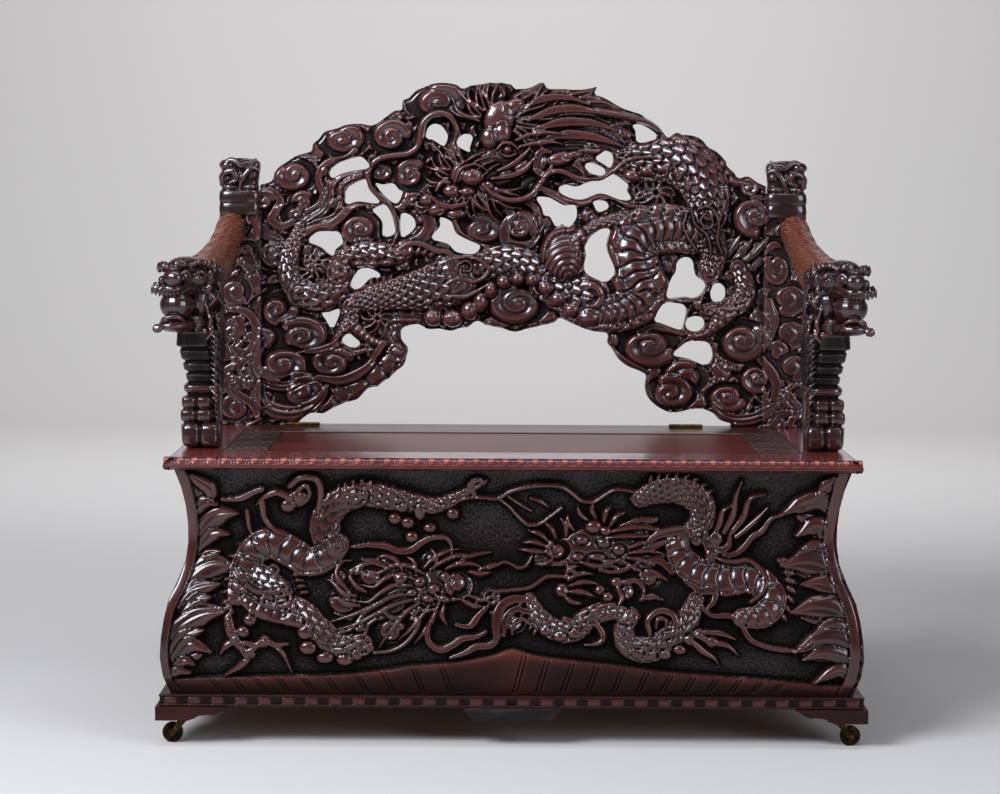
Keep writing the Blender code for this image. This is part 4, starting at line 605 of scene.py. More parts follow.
# %% Ribbons of the back
L, F, R, K = lipped, fluted, round_section, keeled
PX_RIBBONS = (
    (L, (3, 4, 3), 17, ((356, 150), (345, 158), (330, 161), (322, 168), (319, 180), (323, 192), (320, 203),
        (308, 211))),
    (F, (5, 5.5, 5), 16, ((368, 171), (352, 171), (338, 176), (331, 184), (330, 197), (324, 210), (312, 218),
        (299, 228))),
    (F, (3, 5, 5, 4), 15, ((366, 175), (348, 181), (341, 190), (343, 204), (336, 216), (320, 223), (304, 230),
        (296, 240))),
    (L, (3, 4.5, 5, 4), 17, ((382, 203), (366, 202), (352, 206), (343, 215), (330, 225), (313, 229),
        (300, 236),
        (292, 246))),
    (L, (3, 5, 4), 15, ((262, 189), (273, 191), (281, 200), (276, 211), (272, 219), (281, 226), (293, 222))),
    (F, (4, 7, 5, 2), 13, ((253, 215), (262, 230), (276, 238), (292, 241), (306, 240))),
    (L, (3, 5, 5, 3), 14, ((232, 309), (246, 311), (256, 322), (257, 338), (251, 350), (241, 352), (235, 346),
        (242, 342))),
    (K, (4, 7, 2), 13, ((236, 318), (241, 328), (236, 342))),
    (F, (6, 8, 6, 2), 18, ((264, 338), (258, 352), (256, 368), (266, 381), (285, 386), (303, 380),
        (318, 377))),
    (L, (3, 5, 6, 4, 2), 21, ((318, 377), (338, 380), (356, 375), (371, 364), (377, 352), (384, 346))),
    (K, (5, 7, 4), 18, ((268, 344), (270, 336), (262, 330))),
    (F, (5, 9, 8, 3), 17, ((262, 384), (262, 398), (272, 409), (290, 413), (308, 409), (322, 397),
        (327, 386))),
    (L, (4, 5, 5, 3), 13, ((252, 357), (240, 364), (228, 371), (228, 385), (240, 396), (254, 404),
        (259, 419))),
    (L, (3, 4, 3), 11, ((232, 382), (235, 391), (248, 399), (256, 412))),
    (K, (4, 5, 1), 12, ((228, 368), (240, 362), (246, 352))),
    (L, (5, 7, 7, 4), 17, ((419, 205), (428, 215), (430, 226), (423, 237), (409, 242))),
    (F, (8, 10, 8), 16, ((385, 330), (390, 322), (402, 320), (420, 321))),
    (L, (3, 5, 4), 15, ((386, 330), (389, 342), (398, 350), (407, 352))),
    (F, (3, 7, 7, 3), 17, ((714, 404), (722, 415), (740, 420), (760, 416), (776, 405), (785, 396))),
    (L, (3, 5, 6, 4), 14, ((778, 383), (777, 393), (786, 402), (794, 411), (790, 424))),
    (L, (2, 4, 4), 13, ((798, 384), (788, 389), (791, 398), (798, 405))),
    (F, (4, 6, 3), 13, ((770, 425), (778, 416), (790, 412))),
    (F, (3, 5, 2), 15, ((742, 262), (755, 252), (768, 238))),
    (F, (3, 5, 2), 15, ((733, 262), (742, 252), (752, 240))),
    (F, (3, 5, 2), 16, ((727, 256), (733, 246), (740, 236))),
    (F, (3, 4, 1), 13, ((748, 270), (760, 262), (772, 256))),
    (L, (3, 4, 4, 2), 16, ((742, 178), (752, 178), (762, 184), (770, 190), (772, 200))),
    (F, (3, 5, 2), 15, ((752, 196), (762, 199), (772, 200))),
    (L, (4, 5, 3), 18, ((603, 336), (607, 345), (617, 356), (632, 366), (646, 372))),
    (F, (5, 8, 3), 17, ((640, 330), (655, 324), (672, 328), (684, 334))),
    (L, (3, 4, 3), 15, ((716, 345), (713, 356), (716, 368), (724, 374))),
    (F, (4, 6, 2), 14, ((757, 310), (764, 320), (768, 335), (764, 350))),
    (F, (3, 6, 3), 13, ((770, 300), (774, 316), (772, 330), (768, 344))),
    (L, (4, 6, 4), 16, ((760, 358), (770, 370), (776, 384), (774, 398))),
    (L, (4, 6, 6, 3), 18, ((500, 200), (508, 208), (512, 216), (506, 226), (506, 240), (518, 246), (532, 243),
        (540, 232))),
    (F, (6, 8, 3), 17, ((530, 200), (539, 208), (541, 222), (534, 236))),
    (L, (3, 5, 3), 15, ((455, 222), (462, 236), (478, 246), (496, 248))),
)

# %% [markdown]
# ### The dragon
# Its body comes in runs, because it winds behind the clouds and over itself. Scales point towards
# the tail, and the belly shows broad plates.

# %% Dragon of the back
S, B, D, G, P, Q, N = scaled, scaled_big, scaled_fine, fluted_fine, plated, plated_big, ringed
PX_BODY = (
    (S, (5, 9, 11, 13, 13), (18, 24, 25, 26),
        ((300, 226), (295, 240), (290, 256), (289, 272), (297, 287), (314, 295))),
    (S, (13, 15, 14, 12), (26, 28, 28), ((300, 294), (316, 297), (332, 292), (342, 280), (342, 268))),
    (S, (12, 11, 12, 12, 11), (28, 27, 28, 28),
        ((338, 272), (344, 260), (358, 254), (375, 253), (392, 254), (404, 250))),
    (D, (11, 14, 17, 22, 26), (24, 30, 32, 34),
        ((350, 307), (362, 300), (380, 296), (405, 292), (432, 287), (452, 280))),
    (B, (15, 18, 17, 17), (28, 30, 30), ((478, 268), (500, 262), (522, 264), (545, 276))),
    (B, (16, 20, 22), (30, 33, 34), ((545, 284), (566, 294), (590, 296))),
    (D, (16, 23, 25, 26, 24, 20), (30, 34, 36, 36, 34),
        ((622, 166), (645, 160), (670, 158), (692, 168), (706, 190), (708, 214))),
    (P, (20, 25, 27, 27, 26, 22, 17), (34, 36, 37, 37, 36, 34), (
        (700, 234), (672, 228), (646, 232), (632, 250), (636, 272), (644, 294), (624, 310), (600, 314))),
    (P, (17, 18, 14), (34, 33, 30), ((612, 314), (592, 316), (572, 308))),
    (S, (8, 8, 7, 6), (26, 26, 24), ((655, 212), (632, 215), (612, 220), (594, 226), (580, 236))),
    (B, (13, 14, 12), (30, 31, 28), ((712, 232), (714, 252), (710, 272))),
    (S, (9, 11, 11, 9), (24, 28, 28, 26), ((738, 268), (745, 284), (742, 300), (726, 310), (708, 311))),
    (N, (10, 8, 6, 5), (26, 25, 22), ((728, 312), (716, 324), (702, 333), (690, 333))),
    (S, (9, 8, 7, 6), (26, 25, 22), ((352, 306), (352, 318), (345, 330), (338, 341))),
    (N, (6, 6, 5, 4), (24, 22, 20), ((352, 322), (362, 332), (374, 341), (386, 343))),
)
PX_BELLY_BEADS = (
    (434, 317, 10, 9), (453, 318, 11, 9), (470, 310, 9, 10), (481, 301, 8, 11), (491, 289, 7, 9),
    (504, 281, 8, 8),
    (518, 278, 8, 7), (533, 279, 8, 7), (546, 287, 8, 8), (558, 298, 9, 8), (572, 309, 10, 8),
    (590, 317, 13, 9),
    (632, 175, 10, 7), (647, 170, 9, 6), (663, 168, 9, 5), (679, 173, 7, 7), (688, 184, 6, 9),
    (360, 263, 8, 4), (374, 263, 8, 4), (388, 262, 8, 4),
)
PX_FINS = (
    (((676, 136), (695, 139), (712, 150), (724, 163), (734, 180), (738, 196)), 9, 13, (24, 20, 16), 1),
    (((720, 204), (724, 216), (727, 230), (722, 244)), 8, 9, (22, 18, 14), -1),
    (((402, 252), (418, 250), (432, 253), (446, 262)), 6, 9, (26, 24, 20), 1),
    (((345, 246), (356, 243), (370, 243), (386, 246)), 6, 6, (22, 18, 14), 1),
    (((372, 283), (384, 280), (398, 278)), 6, 6, (26, 22, 18), 1),
    (((286, 232), (281, 246), (279, 262), (281, 276)), 6, 5, (20, 16, 12), -1),
)
PX_RIDGES = (
    (L, (2, 3, 3, 2), (28, 30, 30), ((398, 250), (410, 243), (424, 244), (436, 250), (448, 252), (458, 260))),
    (L, (1.5, 2.2, 1.5), 34, ((447, 283), (460, 278), (474, 281), (485, 276), (489, 268), (483, 261),
        (470, 256), (456, 258))),
    (R, (1.2, 1.8, 1.2), 36, ((458, 272), (459, 264), (466, 260), (472, 264), (470, 270), (463, 270))),
    (L, (1.5, 2.5, 1), 34, ((452, 296), (466, 296), (478, 290), (489, 283))),
    (R, (1.2, 2, 1), 38, ((686, 214), (683, 226), (688, 238), (697, 250))),
    (R, (1.2, 2, 1), 39, ((691, 211), (695, 224), (706, 234), (710, 248), (709, 258))),
    (R, (1.5, 2, 2, 1), 39, ((697, 209), (706, 206), (714, 211), (718, 224), (717, 240), (722, 254))),
    (R, (1.2, 1.6, 1.2), 38, ((700, 220), (704, 213), (711, 217), (711, 226), (704, 228), (700, 220))),
    (L, (2.5, 3.2, 1.2), (28, 27, 20), ((690, 300), (680, 298), (668, 298), (654, 303))),
    (L, (2.6, 3, 1), (27, 24, 16), ((688, 310), (684, 318), (684, 330))),
    (L, (4, 6, 5, 3), (26, 24, 22), ((698, 306), (698, 296), (703, 289), (711, 288))),
    (L, (3, 3.5, 1), (24, 20, 16), ((692, 336), (684, 344), (677, 355), (671, 366))),
    (L, (3, 3, 1.5), (22, 22, 18), ((688, 332), (696, 339), (706, 341))),
    (L, (4.5, 4.5, 3, 1), (24, 22, 17), ((342, 338), (334, 345), (318, 350), (298, 352))),
    (L, (2.5, 3.5, 2.5), 18, ((333, 350), (349, 354), (366, 350))),
    (L, (4, 4, 1), (22, 22, 18), ((384, 343), (378, 352), (372, 362))),
)

# %% [markdown]
# ### The dragon's head
# The head looks down to the left over its whiskers. Its brows, nose and jaw are domes, and manes of
# tapering locks radiate from them.

# %% Head of the back's dragon
PX_HEAD_UNDER = (
    (R, (12, 18, 20, 16, 8), (20, 26, 27, 24, 18),
        ((448, 196), (475, 180), (508, 160), (540, 150), (566, 150))),
    (R, (7, 10, 11, 8), (30, 34, 34, 28), ((466, 172), (482, 160), (500, 152), (520, 152))),
    (F, (5, 9, 8, 3), (26, 28, 22), ((505, 108), (524, 98), (538, 90), (547, 83))),
    (F, (6, 10, 9, 4), (24, 26, 20), ((530, 108), (556, 98), (580, 92), (598, 88))),
    (F, (5, 8, 7, 3), (22, 24, 18), ((560, 108), (586, 102), (606, 102), (620, 108))),
    (R, (3, 5, 5, 4, 3, 1.5), (26, 30, 28, 24),
        ((545, 116), (575, 111), (605, 112), (632, 117), (652, 124), (668, 138))),
    (G, (8, 14, 12, 5), (20, 26, 22), ((540, 132), (570, 126), (598, 128), (628, 134))),
    (G, (8, 14, 10, 4), (18, 24, 20), ((548, 146), (578, 144), (602, 148), (622, 150))),
    (G, (6, 9, 6, 2), (16, 22, 18), ((560, 170), (580, 174), (600, 178))),
    (K, (3, 5, 2), (18, 22, 16), ((556, 183), (566, 187), (577, 183))),
)
PX_HEAD_DOMES = (
    (500, 118, 15, 19, 40, 25), (490, 137, 9, 11, 43, 0), (503, 132, 9, 12, 42, 0),
    (514, 106, 12, 8, 36, -25),
    (508, 149, 5, 4.5, 41, 0), (522, 166, 10, 7, 34, -20), (506, 173, 8, 5, 33, -20),
    (473, 176, 12, 9, 44, 0),
    (460, 171, 8, 13, 38, 30), (487, 186, 8, 6, 38, 0),
    (452, 190, 9, 7, 38, 0), (468, 191, 8, 5, 38, 0), (560, 158, 15, 7, 31, -12), (541, 163, 6, 11, 28, 20),
    (574, 154, 9, 4, 30, -10),
    (440, 207, 12, 7, 32, -25), (457, 213, 10, 5, 32, 0), (428, 199, 8, 6, 30, 0),
)
PX_LOCKS = (
    (R, (2.5, 3.4, 3.4, 3.2, 1.4), (38, 34, 30, 28, 24), (
        (463, 160), (456, 146), (458, 132), (454, 120), (445, 113), (433, 114), (424, 122), (421, 134),
        (418, 146), (408, 153),
        (394, 155), (380, 158), (371, 166), (368, 176), (372, 189), (383, 199), (393, 210), (398, 224),
        (396, 238), (389, 251))),
    (R, (2.6, 3.4, 3.2, 3, 1.2), (40, 36, 32, 32), (
        (484, 184), (493, 193), (507, 199), (521, 199), (533, 193), (541, 182), (550, 172), (562, 171),
        (576, 177), (591, 180),
        (605, 177), (616, 168), (626, 160), (640, 157), (662, 157))),
    (L, (3, 4, 4, 3, 1), (30, 28, 26),
        ((540, 187), (556, 194), (574, 202), (588, 200), (602, 195), (616, 197), (630, 205), (648, 206))),
    (R, (1.5, 2.6, 1), (34, 30), ((455, 140), (452, 150), (462, 158))),
    (R, (1.5, 2.6, 1), 32, ((444, 146), (450, 152), (458, 160))),
    (K, (1, 1.8, 0.8), 40, ((486, 151), (474, 156), (461, 164))),
    (K, (1, 1.8, 0.8), 40, ((490, 156), (478, 160), (467, 168))),
    (K, (1, 1.8, 0.8), 39, ((495, 160), (484, 164), (476, 171))),
    (K, (1, 1.8, 0.8), 38, ((500, 163), (491, 168), (483, 176))),
    (R, (1.2, 2.4, 1.2), 42, ((497, 149), (503, 143), (512, 143), (519, 149))),
    (R, (1, 2, 1), 40, ((500, 153), (508, 156), (517, 153))),
    (L, (1.6, 2.8, 1.6), 37, ((498, 170), (510, 165), (520, 158), (530, 148))),
    (L, (1.6, 2.8, 1.6), 36, ((492, 178), (508, 176), (524, 170), (534, 158))),
    (K, (2, 3.4, 0.6), 38, ((516, 140), (530, 134), (548, 132), (566, 134))),
    (K, (2, 3.4, 0.6), 37, ((520, 146), (534, 143), (550, 141), (564, 144))),
    (L, (2, 4.5, 4, 1), (34, 32, 26), ((528, 120), (552, 110), (578, 108), (606, 114))),
    (L, (2, 5, 4, 1), (34, 31, 24), ((534, 130), (560, 122), (590, 122), (618, 130))),
    (L, (2, 5, 4, 1), (32, 30, 24), ((540, 140), (566, 134), (596, 137), (624, 146))),
    (K, (2, 4, 1), (30, 26, 20), ((580, 150), (604, 152), (628, 160))),
    (L, (2, 4, 3, 1), (32, 30, 24), ((522, 108), (544, 98), (568, 97), (590, 104))),
    (L, (3, 4, 2), 30, ((535, 168), (540, 152), (551, 151))),
    (L, (3, 4, 2), 30, ((536, 170), (545, 174), (552, 166))),
    (R, (1.5, 2, 1), 40, ((455, 182), (462, 168), (476, 164), (488, 170))),
    (R, (2, 3, 2), 37, ((437, 190), (442, 182), (450, 182))),
    (L, (2, 3, 2), 36, ((432, 196), (440, 203), (452, 206), (466, 203))),
)
PX_MANES = (
    (K, 496, 122, 16, 46, 185, 262, 10, (1.8, 2.6, 0.5), (36, 32, 22), 0.25),
    (K, 505, 122, 12, 62, -38, 46, 13, (2.0, 3.0, 0.5), (36, 34, 24), -0.12),
    (K, 465, 176, 16, 38, 158, 246, 10, (1.8, 2.6, 0.5), (36, 32, 22), 0.2),
    (K, 470, 186, 10, 32, 30, 152, 12, (2.2, 3.0, 0.5), (36, 32, 24), -0.25),
    (K, 484, 182, 8, 42, 20, 88, 8, (1.8, 2.6, 0.5), (36, 32, 22), -0.2),
    (K, 566, 158, 10, 36, -32, 42, 9, (2.2, 3.2, 0.5), (30, 27, 20), 0.1),
    (K, 440, 204, 6, 24, 150, 230, 5, (1.6, 2.4, 0.5), (28, 24, 18), 0.2),
    (K, 600, 128, 2, 40, -20, 40, 8, (2.6, 3.4, 0.6), (22, 20, 14), 0.2),
    (K, 656, 192, 4, 20, 0, 330, 9, (3, 3.4, 1.0), (22, 20, 15), 0.6),
    (K, 636, 200, 2, 18, 90, 330, 7, (2.6, 3.0, 1.0), (20, 18, 14), 0.6),
    (K, 378, 318, 3, 20, 0, 330, 9, (2.2, 2.6, 0.6), (20, 17, 12), 0.7),
    (K, 312, 268, 2, 16, 0, 330, 9, (2.2, 2.6, 0.6), (18, 15, 12), 0.7),
    (K, 436, 300, 4, 24, 20, 160, 8, (2.0, 2.6, 0.6), (24, 20, 14), 0.3),
)


# %% Carve the back
def field_lines(board, pitch, depth):
    """Shallow flowing gouge marks that fill what no form covers."""
    x = board.x[None, :] / pitch
    z = board.z[:, None] / pitch
    bend = 1.3 * np.sin(x * 0.31 + 1.7 * np.sin(z * 0.23)) + 1.1 * np.sin(z * 0.37 - x * 0.17)
    return depth * (0.5 + 0.5 * np.cos(2 * math.pi * (0.35 * x + 0.45 * z + bend)))


def cloud_bed(board, pitch, size, top):
    """Low scrolls over the whole board, so that no flat ground shows between the drawn forms."""
    for row in np.arange(84, 430, pitch):
        for column in np.arange(222, 808, pitch):
            x, y = np.array((column, row)) + chance.uniform(-0.3, 0.3, 2) * pitch
            radius = size * chance.uniform(0.75, 1.2)
            hand = 1 if chance.random() < 0.5 else -1
            scroll(
                board, x, y, radius, radius * 0.85, top * chance.uniform(0.7, 1.2), 1.2,
                chance.uniform(0, 360),
                hand,
            )


def carve_back(board):
    board.height = 2.0 + field_lines(board, 26.0, 4.0)
    cloud_bed(board, 15.0, 13.0, 15.0)
    for x, y, rx, ry, top in PX_LOBES:
        dome(board, x, y, rx, ry, top)
    for x, y, rx, ry, top, turns, start, hand in PX_SCROLLS:
        scroll(board, x, y, rx, ry, top, turns, start, hand)
    for entry in PX_RIBBONS:
        stroke(board, *entry)
    for points, pitch, size, tops, side in PX_FINS:
        fins(board, points, pitch, size, tops, side)
    for entry in PX_BODY:
        stroke(board, *entry, wall=0.35)
    for x, y, rx, ry in PX_BELLY_BEADS:
        dome(board, x, y, rx, ry, 34)
    for entry in PX_RIDGES:
        stroke(board, *entry, ditch=1.8, dig=3.0)
    carve_ball(board)
    for entry in PX_HEAD_UNDER:
        stroke(board, *entry)
    for section, x, y, near, far, first, last, count, widths, tops, bend in PX_MANES:
        fan(board, section, x, y, near, far, first, last, count, widths, tops, bend)
    for x, y, rx, ry, top, turn in PX_HEAD_DOMES:
        dome(board, x, y, rx, ry, top, turn, wall=0.7)
    for entry in PX_LOCKS:
        stroke(board, *entry, wall=0.8)


def carve_ball(board):
    """The ribbed ball in the claw: a dome with curved ribs, held by three toes."""
    x, y, rx, ry = 563, 254, 23, 27
    dome(board, x, y, rx, ry, 38, wall=0.45)
    cx, cz = board.place(x, y)
    mm_x, mm_y = rx * board.px_mm, ry * board.px_mm
    where = board.window(cx - mm_x, cz - mm_y, cx + mm_x, cz + mm_y)
    u = (board.x[where[1]][None, :] - cx) / mm_x
    v = (board.z[where[0]][:, None] - cz) / mm_y
    inside = u**2 + v**2 < 0.94
    rib = np.abs(np.sin(math.pi * 4.2 * np.hypot(u - 0.25, v + 0.85)))
    board.height[where] -= np.where(inside, 3.5 * (1 - rib**0.6), 0)
    for points in (
        ((572, 228), (556, 232), (546, 244), (543, 262)), ((580, 232), (587, 246), (586, 262), (578, 274)),
        ((575, 236), (578, 246), (577, 256)),
    ):
        stroke(board, ringed, (5, 4, 1), (34, 36, 34), points, ditch=1.8)


carve_back(back)
print("back carved: highest form", round(float(back.height.max()), 1), "mm")

# %% [markdown]
# ## Colours and nodes
# All colours are written as sRGB hex, the way a colour picker shows them, and Blender wants linear
# light, so one function does the change. A second small function adds a shader node together with
# its settings and links.

# %% Colour and node helpers
def linear(code):
    """An sRGB hex colour as linear red, green, blue and alpha."""
    parts = [int(code[k : k + 2], 16) / 255 for k in (1, 3, 5)]
    return (*[c / 12.92 if c <= 0.04045 else ((c + 0.055) / 1.055) ** 2.4 for c in parts], 1.0)


def add(tree, kind, settings=None, **sockets):
    """One node. Settings are its properties; sockets are values or the outputs that feed them."""
    node = tree.nodes.new(kind)
    for key, value in (settings or {}).items():
        if key == "stops":
            fill_ramp(node.color_ramp, value)
        else:
            setattr(node, key, value)
    for key, value in sockets.items():
        name = key.replace("_", " ")
        found = [s for s in node.inputs if s.enabled and s.name == name]
        socket = node.inputs[int(key[2:])] if key.startswith("in") and key[2:].isdigit() else found[0]
        if isinstance(value, bpy.types.NodeSocket):
            tree.links.new(value, socket)
        else:
            socket.default_value = value
    return node


def fill_ramp(ramp, stops):
    """Colour stops as (place, hex) pairs."""
    while len(ramp.elements) < len(stops):
        ramp.elements.new(1.0)
    for element, (place, code) in zip(ramp.elements, stops):
        element.position = place
        element.color = linear(code) if isinstance(code, str) else (code, code, code, 1.0)


def new_material(name):
    material = bpy.data.materials.new(name)
    material.use_nodes = True
    tree = material.node_tree
    tree.nodes.clear()
    shader = add(tree, "ShaderNodeBsdfPrincipled")
    output = add(tree, "ShaderNodeOutputMaterial", Surface=shader.outputs[0])
    output.location = (400, 0)
    return material, tree, shader


# %% [markdown]
# ## Stained and polished hardwood
# The wood is a close-grained hardwood, stained dark red-brown, then rubbed with shellac polish.
# The colour darkens into the hollows and turns orange-brown on the ridges: partly dirt, old polish and wear,
# partly painted shade in the hollows and painted highlight on the ridges.
# The shine sits on the ridges as a clear coat and fades out in the hollows; the coat's faint blue tint is
# painted sheen. The rear faces were planed and never polished, so they are paler and dull.
# Each carved mesh therefore stores an attribute named hollow: 0 on a ridge, 1 in a crevice. The
# material turns it into colour through a ramp, and breaks the colour up with fine grain.

# %% Carved hardwood
GRAIN_MM = 1.6
GRAIN_STRETCH = 14.0
MOTTLE_MM = 45.0
PER_METRE = 1000.0
STREAK = 0.22
# faint blue coat tint: painted sheen, the blue of the glints put into the finish
PAINTED_SHEEN_BLUE = "#e2e4ff"
SHELLAC_IOR = 1.7
SHELLAC_ROUGHNESS = 0.2
HOLLOW_POLISH = 0.04


def carved_wood(
    name, stops, grain=(1.0, GRAIN_STRETCH, GRAIN_STRETCH), rough=(0.3, 0.6), grime=0.25, polish=1.0,
    shine=0.18,
):
    """Polished carved wood, coloured by the attribute hollow."""
    material, tree, shader = new_material(name)
    hollow = add(tree, "ShaderNodeAttribute", {"attribute_name": "hollow"}).outputs["Fac"]
    where = add(tree, "ShaderNodeTexCoord").outputs["Object"]
    along = add(tree, "ShaderNodeMapping", Vector=where, Scale=grain).outputs[0]
    fine = add(
        tree, "ShaderNodeTexNoise", Vector=along, Scale=PER_METRE / (GRAIN_MM * GRAIN_STRETCH), Detail=4.0,
    )
    broad = add(tree, "ShaderNodeTexNoise", Vector=where, Scale=PER_METRE / MOTTLE_MM, Detail=3.0)
    shift = add(
        tree, "ShaderNodeMath", {"operation": "MULTIPLY_ADD"}, in0=broad.outputs[0], in1=grime,
        in2=-grime / 2,
    )
    both = add(tree, "ShaderNodeMath", {"operation": "ADD"}, in0=hollow, in1=shift.outputs[0])
    streak = add(
        tree, "ShaderNodeMath", {"operation": "MULTIPLY_ADD"}, in0=fine.outputs[0], in1=STREAK,
        in2=-STREAK / 2,
    )
    value = add(
        tree, "ShaderNodeMath", {"operation": "ADD", "use_clamp": True}, in0=both.outputs[0],
        in1=streak.outputs[0],
    )
    # the ramp paints shade into the hollows and highlight onto the ridges, over the real dirt and wear
    colour = add(tree, "ShaderNodeValToRGB", {"stops": stops}, Fac=value.outputs[0])
    sheen = add(
        tree, "ShaderNodeMapRange", Value=value.outputs[0], From_Min=0.15, From_Max=0.8, To_Min=rough[0],
        To_Max=rough[1],
    )
    bump = add(tree, "ShaderNodeBump", Height=fine.outputs[0], Strength=0.12, Distance=0.0004)
    tree.links.new(colour.outputs[0], shader.inputs["Base Color"])
    tree.links.new(sheen.outputs[0], shader.inputs["Roughness"])
    tree.links.new(bump.outputs[0], shader.inputs["Normal"])
    coat = add(
        tree, "ShaderNodeMapRange", Value=value.outputs[0], From_Min=0.3, From_Max=0.72, To_Min=polish,
        To_Max=HOLLOW_POLISH * polish,
    )
    tree.links.new(coat.outputs[0], shader.inputs["Coat Weight"])
    shader.inputs["Specular IOR Level"].default_value = shine
    shader.inputs["Coat IOR"].default_value = SHELLAC_IOR
    shader.inputs["Coat Tint"].default_value = linear(PAINTED_SHEEN_BLUE)
    shader.inputs["Coat Roughness"].default_value = SHELLAC_ROUGHNESS
    return material


# from ridge to crevice: red-brown, then nearly black; painted highlight and wear at the light end, painted
# shade and dirt at the dark end
WOOD_STOPS = ((0.0, "#5c2a1c"), (0.2, "#3f1c14"), (0.42, "#26110d"), (0.64, "#110807"), (0.88, "#040303"))
wood_of_back = carved_wood("polished_carved_hardwood", WOOD_STOPS)
# bare planed wood behind: paler, dull, no carving
PLANED_STOPS = ((0.55, "#2c1712"), (0.8, "#40231a"), (1.0, "#573425"))
planed_wood = carved_wood("planed_rear_hardwood", PLANED_STOPS, rough=(0.5, 0.6), grime=0.5, polish=0.1)
print("carved hardwood ready")

# %% [markdown]
# ## From height map to mesh
# The height map becomes a grid of quads. Cells outside the outline or inside a piercing are left
# out, the grid's edge is drawn onto the sawn outline, and a wall goes from there to a flat back,
# so each carved board is one closed solid.

# %% Signed distance to an outline
FAR_MM = 60.0


def edge_distance(board, loops):
    """Millimetres to the nearest edge of a shape made of loops, negative inside it."""
    xs = board.x[None, :]
    zs = board.z[:, None]
    inside = np.zeros(board.height.shape, bool)
    nearest = np.full(board.height.shape, FAR_MM)
    for loop in loops:
        for a, b in zip(loop, np.roll(loop, -1, axis=0)):
            crossing = (a[1] > zs) != (b[1] > zs)
            if abs(b[1] - a[1]) > 1e-9:
                inside ^= crossing & (xs < (b[0] - a[0]) * (zs - a[1]) / (b[1] - a[1]) + a[0])
            low, high = np.minimum(a, b) - FAR_MM / 4, np.maximum(a, b) + FAR_MM / 4
            where = board.window(low[0], low[1], high[0], high[1])
            dx = board.x[where[1]][None, :] - a[0]
            dz = board.z[where[0]][:, None] - a[1]
            span = b - a
            share = np.clip((dx * span[0] + dz * span[1]) / max(1e-9, span @ span), 0, 1)
            away = np.hypot(dx - share * span[0], dz - share * span[1])
            nearest[where] = np.minimum(nearest[where], away)
    return np.where(inside, -nearest, nearest)


def blur(values, cells):
    """A soft bell-shaped average; cells is its spread."""
    reach = max(1, int(math.ceil(2.5 * cells)))
    weights = np.exp(-0.5 * (np.arange(-reach, reach + 1) / cells) ** 2)
    weights /= weights.sum()
    out = values.astype(float)
    for axis in (0, 1):
        padded = np.pad(out, [(reach, reach) if k == axis else (0, 0) for k in (0, 1)], mode="edge")
        size = out.shape[axis]
        out = sum(w * np.take(padded, np.arange(k, k + size), axis=axis) for k, w in enumerate(weights))
    return out


def hollow_of(height, depth=3.2, lean=0.3):
    """0 on a ridge, 1 in a crevice: how far a cell lies below its surroundings."""
    near = blur(height, 1.6) - height
    wide = blur(height, 5) - height
    mass = blur(height, 14) - height
    return np.clip(lean + near / depth * 0.5 + wide / (depth * 2.4) * 0.34 + mass / (depth * 4.0) * 0.3, 0, 1)


# %% Boundary loops and closed boards
BACK_PITCH_CELLS = 20


def walk_loops(nexts):
    """Closed chains through a table of each edge vertex's next ones."""
    loops = []
    while nexts:
        start = next(iter(nexts))
        loop, here = [], start
        while here in nexts:
            loop.append(here)
            following = nexts[here].pop()
            if not nexts[here]:
                del nexts[here]
            here = following
        loops.append(loop)
    return loops


def build_mesh(name, points, polygons, hollow, material, flat_from=None):
    """A mesh from points and polygons, smooth up to the polygon flat_from."""
    mesh = bpy.data.meshes.new(name)
    mesh.vertices.add(len(points))
    mesh.vertices.foreach_set("co", np.asarray(points, np.float32).ravel())
    sizes = np.array([len(p) for p in polygons])
    mesh.loops.add(int(sizes.sum()))
    mesh.loops.foreach_set("vertex_index", np.concatenate([np.asarray(p) for p in polygons]).astype(np.int32))
    mesh.polygons.add(len(polygons))
    mesh.polygons.foreach_set("loop_start", np.concatenate([[0], np.cumsum(sizes)[:-1]]).astype(np.int32))
    mesh.update(calc_edges=True)
    mesh.validate()
    smooth = np.ones(len(mesh.polygons), bool)
    if flat_from is not None:
        smooth[flat_from:] = False
    mesh.polygons.foreach_set("use_smooth", smooth)
    mesh.attributes.new("hollow", "FLOAT", "POINT").data.foreach_set("value", np.asarray(hollow, np.float32))
    mesh.materials.append(material)
    obj = bpy.data.objects.new(name, mesh)
    bpy.context.scene.collection.objects.link(obj)
    return obj


